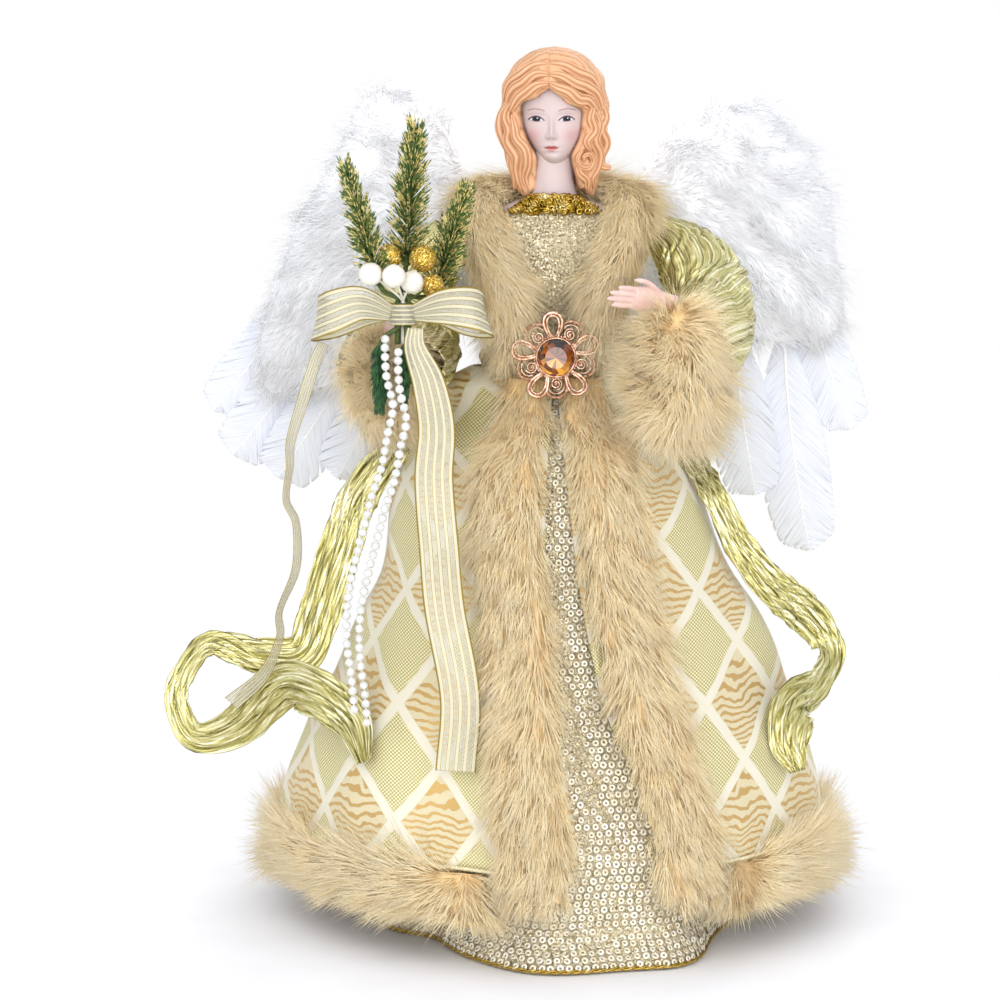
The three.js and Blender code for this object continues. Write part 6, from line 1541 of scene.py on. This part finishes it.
# Moulded polyethylene needles, olive where they are dusted with gold glitter, dark green below.
dusted_needles = finish("dusted_pine_needles", ["#2C421B", "#4D6A2E", "#6E8240"], 0.55, grain=3, relief=0.05)
found, tree = nodes_of(dusted_needles), dusted_needles.node_tree
flake = add(tree, "TexVoronoi", {"Vector": found["TexCoord"].outputs["Object"], "Scale": 700.0})
chosen = add(tree, "SeparateColor", {"Color": flake.outputs["Color"]})
along = add(tree, "Attribute", attribute_name="along")
dust = sums(tree, "Math", {"along": along.outputs["Fac"], "chosen": chosen.outputs[0]}, [
    ("level", "MULTIPLY_ADD", "along", -0.3, 0.8), ("dust", "GREATER_THAN", "chosen", "level")])["dust"]
dusted = add(tree, "Mix", {0: dust, 6: found["ValToRGB"].outputs[0], 7: colour("#EBDB98")}, data_type="RGBA")
feed(dusted_needles, {"Metallic": dust, "Base Color": dusted.outputs[2]})
green_needles = finish("dark_pine_needles", ["#16341A", "#2C5A30", "#44713D"], 0.45, grain=3, relief=0.05)


NEEDLE = 10


def needle_unit(length):
    """A slim needle along Z with four sides, thickest a third of the way up."""
    rise, width = np.array([0, 0.35, 0.8]) * length, np.array([0.24, 0.48, 0.34])
    turn = np.arange(4) * np.pi / 2
    rings = stacked(width[:, None] * np.cos(turn), width[:, None] * np.sin(turn) * 0.7,
        rise[:, None] + 0 * turn)
    points, faces = tube(rings)
    points[-1] = (0, 0, length)
    return facing_out(points, faces)


for number, (name, (slot, base, tip, reach, count, dusted)) in enumerate(SPRIGS.items()):
    start, end = from_knot(base), from_knot(tip)
    upward = end[2] > start[2]
    ends = (-13, -4.5, 4.5, 7.2) if upward else (4.95, 0, -4.5)
    bow = np.array((0, -2.0, 0)) if upward else np.zeros(3)
    line = [stem_slot(slot, height) for height in ends] + [start, mix(start, end, 0.5) + bow, end]
    stem = mesh_object("stem", rod(line, lambda s: mix(1.1, 0.6, smooth(s, 0.3, 1)), 8, 50), [stem_wrap])
    draw = seeded(200 + number)
    share = draw.uniform(0, 1, count) ** 0.85
    lie = course([start, mix(start, end, 0.5) + bow, end], (0, 1, 0.1))
    centre, across, over, along = lie(share)
    turn = draw.uniform(0, 2 * np.pi, count)
    away = across * np.cos(turn)[:, None] + over * np.sin(turn)[:, None]
    leaning = (0.9 if dusted else 1.5) + 1.5 * share**3
    way = unit(away + along * leaning[:, None] + draw.normal(0, 0.12, (count, 3)))
    length = reach * FIGURE * (1.3 if dusted else 1.2) * (1 - 0.35 * share**2)
    length = length * draw.uniform(0.75, 1.08, count)
    size = stacked(np.ones(count), np.ones(count), length / NEEDLE)
    unit_skin = needle_unit(NEEDLE)
    sprig = scatter(name + "_needles", centre + away * 0.5, way, size, turn, unit_skin,
        dusted_needles if dusted else green_needles, stem,
        unit_values={"along": unit_skin[0][:, 2] / NEEDLE})
    settle(sprig, "arm_right", [name])

# %% Berries and glitter balls
# Glitter balls: foam dipped in gold flakes, so a rough skin of small bright facets.
glitter = finish("gold_glitter", ["#8A6410", "#D9B03A", "#FBEFB0"], 0.28, 0.85, grain=0.7, relief=0.3)
PEARLS = [([-0.034, -0.022, 0.044], 1), ([-0.009, -0.026, 0.042], 1), ([0.01, -0.009, 0.035], 0.98)]
BALLS = [([-0.0155, 0.01, 0.062], 0.96), ([0.021, 0.014, 0.06], 1.05), ([0.032, 0.015, 0.03], 0.9)]
for name, slot, picks, radius, fill in (("pearl_berries", 6, PEARLS, 5.1, pearl),
    ("glitter_balls", 0, BALLS, 5.6, glitter)):
    fork = stem_slot(slot, 5.4)
    wires = [rod([stem_slot(slot, -13), stem_slot(slot, 0), fork], 1.0, 8, 10)]
    heads = []
    for number, (place, size) in enumerate(picks):
        centre = from_knot(place)
        wires.append(rod([stem_slot(slot, 0), fork, mix(fork, centre, 0.5) + (0, 0, 0.8), centre], 0.55, 6,
            16))
        points, faces = ball((0, 0, 0), 1, 44)
        if fill is glitter:
            points = points * (1 + seeded(300 + number).uniform(-0.05, 0.05, (len(points), 1)))
        heads.append((points * radius * size + centre, faces))
    parts = joined(*wires, *heads)
    piece = mesh_object(name, parts[:2], [stem_wrap if fill is glitter else thread, fill],
        flat=fill is glitter)
    two_finishes(piece, sum(len(wire[1]) for wire in wires))
    settle(piece, "arm_right", ["pearl_berry_pick" if fill is pearl else "glitter_ball_pick"])

# %% [markdown]
# ## Bow of sheer ribbon
# The bow is organza ribbon: so thin that what is behind it shows, with metallic threads woven
# lengthways and a wired gold edge. It is a thin closed band along each route, and the shader
# gives the threads and the see-through ground from the ribbon's own width.

# %% Ribbon
RIBBON_WIDE, RIBBON_THIN = 17.5, 0.25
# Organza: translucent nylon ground, silver and gold lurex stripes, opaque woven edges.
organza = finish("striped_organza", ["#C4C1AB", "#D4D1BD"], 0.42, grain=0.8, relief=0.05, coords="UV")
found, tree = nodes_of(organza), organza.node_tree
split = add(tree, "SeparateXYZ", {0: found["TexCoord"].outputs["UV"]})
thread_map = sums(tree, "Math", {"u": split.outputs[0], "v": split.outputs[1]}, [
    ("half", "SUBTRACT", "u", 0.5 * RIBBON_WIDE * MM), ("off", "ABSOLUTE", "half"),
    ("edge", "GREATER_THAN", "off", 0.462 * RIBBON_WIDE * MM),
    ("turns", "MULTIPLY", "off", 2 * np.pi / 0.0037),
    ("wave", "COSINE", "turns"), ("stripe", "GREATER_THAN", "wave", 0.1),
    ("fine", "MULTIPLY", "off", 2 * np.pi / 0.00185),
    ("weave", "COSINE", "fine"), ("line", "LESS_THAN", "weave", -0.55),
    ("solid", "MAXIMUM", "edge", "stripe"),
    ("cover", "MULTIPLY_ADD", "solid", 0.5, 0.36), ("gold", "MULTIPLY_ADD", "line", 0.9, 0.05),
    ("metal", "MULTIPLY", "gold", 0.6)])
tone = add(tree, "Mix", {0: thread_map["gold"], 6: colour("#D6D1B4"), 7: colour("#9A8238")}, data_type="RGBA")
shade = found["ValToRGB"].outputs[0]
for where, over in (("stripe", tone.outputs[2]), ("edge", colour("#A08A3A"))):
    shade = add(tree, "Mix", {0: thread_map[where], 6: shade, 7: over}, data_type="RGBA").outputs[2]
feed(organza, {"Base Color": shade, "Alpha": thread_map["cover"], "Metallic": thread_map["metal"]})

LOOPS = {
    "right": (-1, [[0.145, 0.02, 0.02], [0.5, -0.2, 0.14], [0.85, -0.24, 0.04], [1.02, -0.06, -0.05],
    [0.86, 0.12, -0.06], [0.5, 0.14, 0.02], [0.195, 0.12, 0.02]]),
    "left": (1, [[0.13, 0.02, 0.02], [0.5, -0.18, 0.1], [0.84, -0.2, 0.08], [0.98, -0.04, -0.02],
    [0.84, 0.12, -0.04], [0.5, 0.13, 0.04], [0.18, 0.12, 0.02]])}
LOOP_ROWS = [[0, 0.4, 0], [0.2, 0.85, 12], [0.5, 1.1, 16], [0.8, 0.85, 8], [1, 0.4, 0]]
TAILS = {
    "long": ([[0.014, -0.02, -0.014], [0.0135, -0.0225, -0.035], [0.028, -0.0225, -0.0735],
    [0.0365, -0.0225, -0.1225], [0.0335, -0.025, -0.177], [0.039, -0.03, -0.2525],
    [0.0448, -0.035, -0.317], [0.0618, -0.0525, -0.4118], [0.0573, -0.08, -0.487]],
    [[0, 0.4, 0], [0.15, 0.85, 8], [0.5, 1, 0], [1, 1, 0]]),
    "thin": ([[-0.086, -0.0075, -0.0305], [-0.0958, -0.0075, -0.0525], [-0.109, -0.0075, -0.0943],
    [-0.122, -0.0075, -0.138], [-0.1233, -0.0075, -0.1655], [-0.128, -0.0075, -0.2018],
    [-0.1178, -0.0075, -0.227], [-0.1178, -0.0075, -0.2775], [-0.1385, 0.025, -0.33],
    [-0.1408, 0.0475, -0.3618], [-0.1625, 0.076, -0.4095], [-0.2, 0.094, -0.4455]],
    [[0, 0.3, 20], [0.5, 0.3, 60], [0.8, 0.3, 40], [1, 0.45, 10]])}


def loop_wave(u, v):
    return 0.7 * np.sin(9 * v + 2.5 * u) * np.sin(np.pi * v)


def tail_wave(u, v):
    return 0.5 * np.sin(16 * v + 2 * u)


for word, (side, shares) in LOOPS.items():
    route = KNOT + np.array(shares) * 37 * (side, 1, 1) + np.array((-side * GAP, -4.95, 0))
    rows = [[share, wide, 90 + side * twist] for share, wide, twist in LOOP_ROWS]
    skin, length = band(route, rows, (0, 0, 1), 1, RIBBON_WIDE, loop_wave, RIBBON_THIN, 20, 110)
    loop = make(f"ribbon_loop_{word}", skin, organza, "arm_right", [f"bow_loop_{word}"])
for word, (shares, rows) in TAILS.items():
    skin, length = band(from_knot(shares), rows, (0, -1, 0), 1, RIBBON_WIDE, tail_wave, RIBBON_THIN, 16, 240)
    tail = make(f"ribbon_tail_{word}_organza", skin, organza, "arm_right", [f"ribbon_tail_{word}"])
    width, cut = (RIBBON_WIDE, 0.95) if word == "long" else (10, 0.58)
    print(f"ribbon tail {word}: {length:.0f} mm")


def knot_cloth(u, v, depth):
    turn, height = 360 * u, mix(-4.6, 4.6, v)
    radius = 5.75 + 0.5 * np.cos(np.pi * (v - 0.5)) + 0.35 * creases(v * 1.3, u * 3, 3.0, 190) - depth
    return stacked(radius * sine(turn), -radius * cosine(turn), height) + KNOT


skin = panel(knot_cloth, 72, 26, 0.8, wrap=True)
make("ribbon_knot", (skin[0], skin[1], skin[2][:, ::-1] * RIBBON_WIDE * MM), organza, "arm_right",
    ["bow_knot"])

# %% [markdown]
# ## Brooch
# The clasp of the coat is a cast filigree flower in rose gold with a faceted amber stone. Every
# wire is a thin swept tube: five double teardrops, five beaded scallops with a spiral and a ball
# in each, and a milled rim. The stone is a faceted form whose facets each hold a painted reflection, darker
# toward the top.

# %% Brooch
BROOCH = np.array((0, -44.5, 260.0))
BEZEL, BROOCH_RADIUS = 9.0, 20.0
LOOP_ANGLES = (95, 21, -52, -121, 168)


def on_brooch(flat, out):
    """Places points drawn on the brooch's face: to the doll's left, up, and out towards the viewer."""
    flat = np.asarray(flat, float)
    return stacked(flat[..., 0], -out + 0 * flat[..., 0], flat[..., 1]) + BROOCH


def turned_by(flat, angle):
    return stacked(flat[..., 0] * cosine(angle) - flat[..., 1] * sine(angle),
        flat[..., 0] * sine(angle) + flat[..., 1] * cosine(angle))


# Rose gold plate over cast zinc: bright shades mixed at random with browned ones.
rose_gold = finish("rose_gold_plate", ["#A4785C", "#E0B497", "#FFEAD8"], 0.26, 0.85, grain=1.5, relief=0.03)
wires = []
for angle in LOOP_ANGLES:
    for shrink, wire in ((1.0, 0.78), (0.66, 0.5)):
        turn = np.linspace(8, 352, 30)
        out = (1 - cosine(turn)) / 2
        foot = BEZEL * 0.9
        tip = BROOCH_RADIUS if shrink == 1 else mix((BROOCH_RADIUS + foot) / 2, BROOCH_RADIUS, shrink * 0.98)
        reach = mix(foot, tip, out) + (0.8 if shrink < 1 else 0)
        side = -sine(turn) * BROOCH_RADIUS * 0.27 * shrink * (0.45 + 0.55 * out)
        flat = turned_by(stacked(reach, side), angle)
        wires.append(rod(on_brooch(flat, 1.4 + 0.9 * np.sin(np.pi * out)), wire, 8, 60, up=(0.02, -1, 0.01)))
    middle = angle - 37
    turn = np.linspace(-100, 100, 50)
    flat = stacked(13.2 + 4.9 * cosine(turn), 4.9 * sine(turn))
    wires.append(rod(on_brooch(turned_by(flat, middle), 1.3 + 0.5 * cosine(turn)),
        lambda s: 0.64 + 0.2 * np.sin(s * 150), 8, 220, up=(0.02, -1, 0.01)))
    flat = stacked(12.9 + 3.5 * cosine(turn), 3.6 * sine(turn))
    wires.append(rod(on_brooch(turned_by(flat, middle), 1.0), 0.3, 6, 50, up=(0.02, -1, 0.01)))
    curl = np.linspace(0, 600, 50)
    radius = mix(2.7, 0.9, curl / 600)
    flat = stacked(11.9 + radius * cosine(curl), radius * sine(curl))
    wires.append(rod(on_brooch(turned_by(flat, middle), 1.6 + curl / 600), 0.36, 6, 70, up=(0.02, -1, 0.01)))
    wires.append(ball(on_brooch(turned_by(np.array([11.9, 0]), middle), 2.9), 0.85, 12))
cup = curve_through([[0, 8.0, 0.2], [0.2, 9.0, 0.1], [0.45, 9.35, 1.6], [0.7, 9.1, 3.3], [0.85, 8.6, 3.9],
    [1, 8.2, 3.2]])
share, turn = np.meshgrid(np.linspace(0, 1, 14), np.arange(72) * 5.0, indexing="ij")
profile = cup(share)
wires.append(tube(on_brooch(stacked(profile[..., 0] * cosine(turn), profile[..., 0] * sine(turn)),
    profile[..., 1])))
for angle in np.arange(0, 360, 7.5):
    wires.append(ball(on_brooch(np.array([9.6 * cosine(angle), 9.6 * sine(angle)]), 1.9), 0.62, 8))
setting_skin = joined(*wires)
make("brooch_filigree", setting_skin[:2], rose_gold, "figure", ["brooch_setting"])
print("filigree wires and balls:", len(wires))

GEM_ROWS = [(5.0, 1.9, 0), (8.2, 3.5, 0), (8.2, 3.9, 0), (6.9, 5.3, 0.5), (4.9, 6.6, 0)]
sixteenth = 22.5 * np.arange(16)
rings = [on_brooch(turned_by(stacked(r * cosine(sixteenth), r * sine(sixteenth)), 22.5 * off), out)
    for r, out, off in GEM_ROWS]
gem_points, gem_faces = tube(np.stack(rings))
corners = gem_points[gem_faces]
order = np.arange(gem_faces.size)
middle = corners.mean(1)
# Painted shade and light: facets darken toward the top and brighten toward the bottom, each with a random
# painted reflection.
fall = smooth(middle[:, 2], BROOCH[2] - 8, BROOCH[2] + 8)
chance = seeded(9).uniform(0, 1, len(gem_faces))
dark, amber_mid, amber_light = (np.array(colour(code)) for code in ("#1C0B02", "#8E430A", "#FFB640"))
tone = np.clip(0.02 + 0.62 * (1 - fall) + 0.85 * (chance - 0.4), 0, 1)[:, None]
facet = np.where(tone < 0.5, mix(dark, amber_mid, tone * 2), mix(amber_mid, amber_light, tone * 2 - 1))
# Cut glass stone, amber: each facet's colour is a painted reflection, with painted shade at the top and
# painted light at the bottom.
amber = finish("amber_cut_glass", ["#FFFFFF", "#FFFFFF"], 0.08, grain=4, relief=0.0,
    **{"Coat Weight": 1.0, "Coat Roughness": 0.03})
feed(amber, {"Base Color": add(amber.node_tree, "Attribute", attribute_name="facet").outputs["Color"]})
make("brooch_cut_stone", (corners.reshape(-1, 3), order.reshape(-1, 4)), amber, "figure", ["brooch_gem"],
    values={"facet": np.repeat(facet, 4, axis=0)}, flat=True)

# %% [markdown]
# ## Wings
# A wing is a card shape on a wire, faced with fluffy down, and edged below with long white goose
# feathers. The down grows like the fur, but shorter, and it is swept outwards from the root. Each
# long feather has a quill and a thin vane, whose rows follow the barbs and part in splits.

# %% Wings
WING_REACH, WING_SWEEP, WING_SIDE, WING_BACK, WING_HEIGHT = 130, 12, 14, 38, 298
FEATHER_WIDE, CARD_THICK, QUILL = 34, 1.2, 0.9
FEATHERS = {
    "left": [([0.28, -0.02], [0.22, -0.48], 0.66), ([0.42, -0.06], [0.43, -0.66], 0.8),
    ([0.6, -0.1], [0.68, -0.86], 0.92), ([0.78, -0.1], [0.9, -1.08], 1), ([0.86, 0.06], [1.05, -0.62], 0.8)],
    "right": [([0.3, -0.04], [0.44, -0.6], 0.74), ([0.42, -0.1], [0.72, -0.8], 0.92),
    ([0.54, -0.1], [0.95, -0.8], 1),
    ([0.66, -0.06], [1.13, -0.72], 0.96), ([0.78, 0.06], [1.2, -0.55], 0.8)]}
vane_at = curve_through([
    [0, 0.02, 0.9], [0.1, 0.03, 1], [0.16, 0.34, 1], [0.28, 0.8, 0.95], [0.45, 1, 0.85], [0.65, 0.97, 0.7],
    [0.82, 0.78, 0.5], [0.93, 0.46, 0.35], [1, 0.06, 0.2]])


def on_wing(side, points):
    """From the wing's own frame, out, back and up from its pivot, to the doll."""
    x, y, z = points[..., 0] * side, points[..., 1], points[..., 2]
    turn = side * WING_SWEEP
    return stacked(x * cosine(turn) - y * sine(turn) + side * WING_SIDE,
        x * sine(turn) + y * cosine(turn) + WING_BACK, z + WING_HEIGHT)


# Goose feather: keratin, white, fine barbs lying together so that they shade like silk.
vane_white = finish("white_feather_vane", ["#CFD3DA", "#DFE2E8", "#E9EBEF"], 0.6, grain=1.1, relief=0.16,
    coords="UV",
    stretch=(0.09, 1, 1), **{"Sheen Weight": 0.4, "Sheen Roughness": 0.5})
quill_horn = finish("feather_quill", ["#EFEEE9", "#FAFAF8"], 0.35, grain=2, relief=0.02)


def vane(lie, size, draw):
    """A feather's vane: rows along its barbs, from edge to edge, with splits where barbs part."""
    ends = np.cumsum(draw.uniform(0.025, 0.085, (2, 40)), axis=1)
    depth_of, lift_of = draw.uniform(0.0, 0.5, (2, 41)) ** 1.6, draw.normal(0, 0.5, (2, 41))

    def place(u, v, depth):
        spot = mix(0.1, 0.99, v)
        reach, hand = np.abs(2 * u - 1), np.where(u < 0.5, 0, 1)
        split = np.zeros_like(spot)
        lift = np.zeros_like(spot)
        for half in (0, 1):
            clump = np.searchsorted(ends[half], spot)
            to_end = np.minimum(np.abs(spot - ends[half][np.clip(clump, 0, 39)]),
                np.abs(spot - ends[half][np.clip(clump - 1, 0, 39)]))
            here = hand == half
            split = np.where(here, depth_of[half][clump] * bump(to_end, 0.006), split)
            lift = np.where(here, lift_of[half][clump], lift)
        centre, wide, over, onward = lie(spot)
        half_wide = vane_at(spot)[..., 0] * size * FEATHER_WIDE / 2 * (1 - split)
        leaning = 1.2 * (1 - 0.55 * smooth(spot, 0.8, 1.0))
        barbs = 0.1 * np.sin(spot * 520) * reach
        off = (1.6 * reach**2 + lift * reach**2 + barbs) + 0.25 - depth
        onward = onward * (reach * half_wide * leaning)[..., None]
        return around_line(centre, wide, over, (2 * u - 1) * half_wide, off) + onward

    return panel(place, 24, 170, 0.35)


DOWN_SHAPE = {"Lean": 2.4, "Bend": 0.4, "Frizz": 0.9, "Curl size": 0.014, "Tuft size": 0.01,
    "Tufting": 0.2, "Length": 0.0105}
for word, feathers in FEATHERS.items():
    side = SIDES[word]
    for index, (root, tip, size) in enumerate(feathers):
        start = np.array((root[0], 0, root[1])) * WING_REACH
        end = np.array((tip[0], 0, tip[1])) * WING_REACH
        seat = CARD_THICK + GAP + QUILL + (QUILL * 2 + GAP) * (index % 2) * 0.8
        along = unit(end - start)
        across = np.cross(along, (0, -1, 0))
        share = np.linspace(0, 1, 40)
        bend = FEATHER_WIDE * 0.1 * np.sin(np.pi * share)
        quill_line = start + (end - start) * share[:, None] + across * bend[:, None]
        quill_line = on_wing(side, quill_line + np.array((0, 1, 0)) * seat)
        draw = seeded(400 + 10 * side + index)
        skin = vane(course(quill_line, (0, 1, 0.01)), size, draw)
        quill_skin = rod(quill_line, lambda s: mix(QUILL, 0.22, s), 8, 40, up=(0, 1, 0.01))
        vane_skin = (skin[0], skin[1], skin[2] * (FEATHER_WIDE * MM, WING_REACH * MM))
        feather = mesh_object(f"long_feather_{word}_{index + 1}", joined(quill_skin, vane_skin),
            [quill_horn, vane_white])
        two_finishes(feather, len(quill_skin[1]))
        settle(feather, f"wing_{word}", [f"wing_feather_{word}_{index + 1}"])
    points, normals, faces = core(f"wing_down_{word}", 4.8, voxel=3.2)
    hub = on_wing(side, np.array((0.12, 0, 0.05)) * WING_REACH)
    outward = unit((points - hub) * (1, 0.15, 1))
    wave = np.stack([ripples(points, 22, 500 + side * 3 + k) for k in range(3)], -1)
    comb = laid(outward * 0.55 + DOWNWARD * 0.45 + wave * 0.45, normals)
    grow(f"fluffy_down_{word}", f"wing_{word}", (points, faces), comb, 12000, down, 0.16,
        [f"wing_down_{word}"], "down", 520 + side, **DOWN_SHAPE)

# %% [markdown]
# ## Finishes of the inner parts
# The card cone, the base board, the foam body and the wires are hardly seen, but they are real
# parts, so each takes the finish of what it is made of.

# %% Inner parts
# Greyboard, foam and zinc-plated wire.
greyboard = finish("greyboard", ["#A8997A", "#BFB08F"], 0.88, grain=1.4, relief=0.06)
foam = finish("expanded_foam", ["#E9E6DE", "#F6F4EE"], 0.85, grain=3.2, relief=0.25)
zinc_wire = finish("zinc_wire", ["#8D8D88", "#B4B4AF"], 0.4, 0.9, grain=1.0, relief=0.02)
INNER = {"base_board": greyboard, "cone_former": greyboard, "torso_block": foam, "wing_plate": greyboard,
    "arm_wire_left": zinc_wire, "arm_wire_right": zinc_wire, "wing_wire_left": zinc_wire,
    "wing_wire_right": zinc_wire, "wing_card_left": greyboard, "wing_card_right": greyboard}
for node, fill in INNER.items():
    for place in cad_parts[node].material_slots:
        place.material = fill


print("inner parts finished:", len(INNER))

# %% [markdown]
# ## Floor
# A plain white sheet under the doll keeps its shadow, and nothing else is in the picture.

# %% Floor
paper = finish("white_paper", ["#F6F6F6", "#FAFAFA"], 0.9, grain=40)
found, tree = nodes_of(paper), paper.node_tree
centred = add(tree, "Mapping", {"Vector": found["TexCoord"].outputs["Object"], "Scale": (0.62, 0.62, 0)})
far = add(tree, "TexGradient", {"Vector": centred.outputs[0]}, gradient_type="SPHERICAL")
away = add(tree, "MapRange", {"Value": far.outputs["Fac"], "From Min": 0.9, "From Max": 0.55})
seen = add(tree, "LightPath")
only_seen = add(tree, "Math", {0: away.outputs[0], 1: seen.outputs["Is Camera Ray"]}, operation="MULTIPLY")
white = add(tree, "Emission", {"Color": (1, 1, 1, 1), "Strength": 1.0})
faded = add(tree, "MixShader", {0: only_seen.outputs[0], 1: found["BsdfPrincipled"].outputs[0],
    2: white.outputs[0]})
tree.links.new(faded.outputs[0], found["OutputMaterial"].inputs["Surface"])
floor = mesh_object("floor", (np.array(((-3e3, -3e3, 0), (3e3, -3e3, 0), (3e3, 3e3, 0), (-3e3, 3e3, 0))) - (
    0, 0, 0.15), np.array([[0, 1, 2, 3]])), [paper])
print("the floor lies at mm:", round(floor.data.vertices[0].co.z / MM, 2))
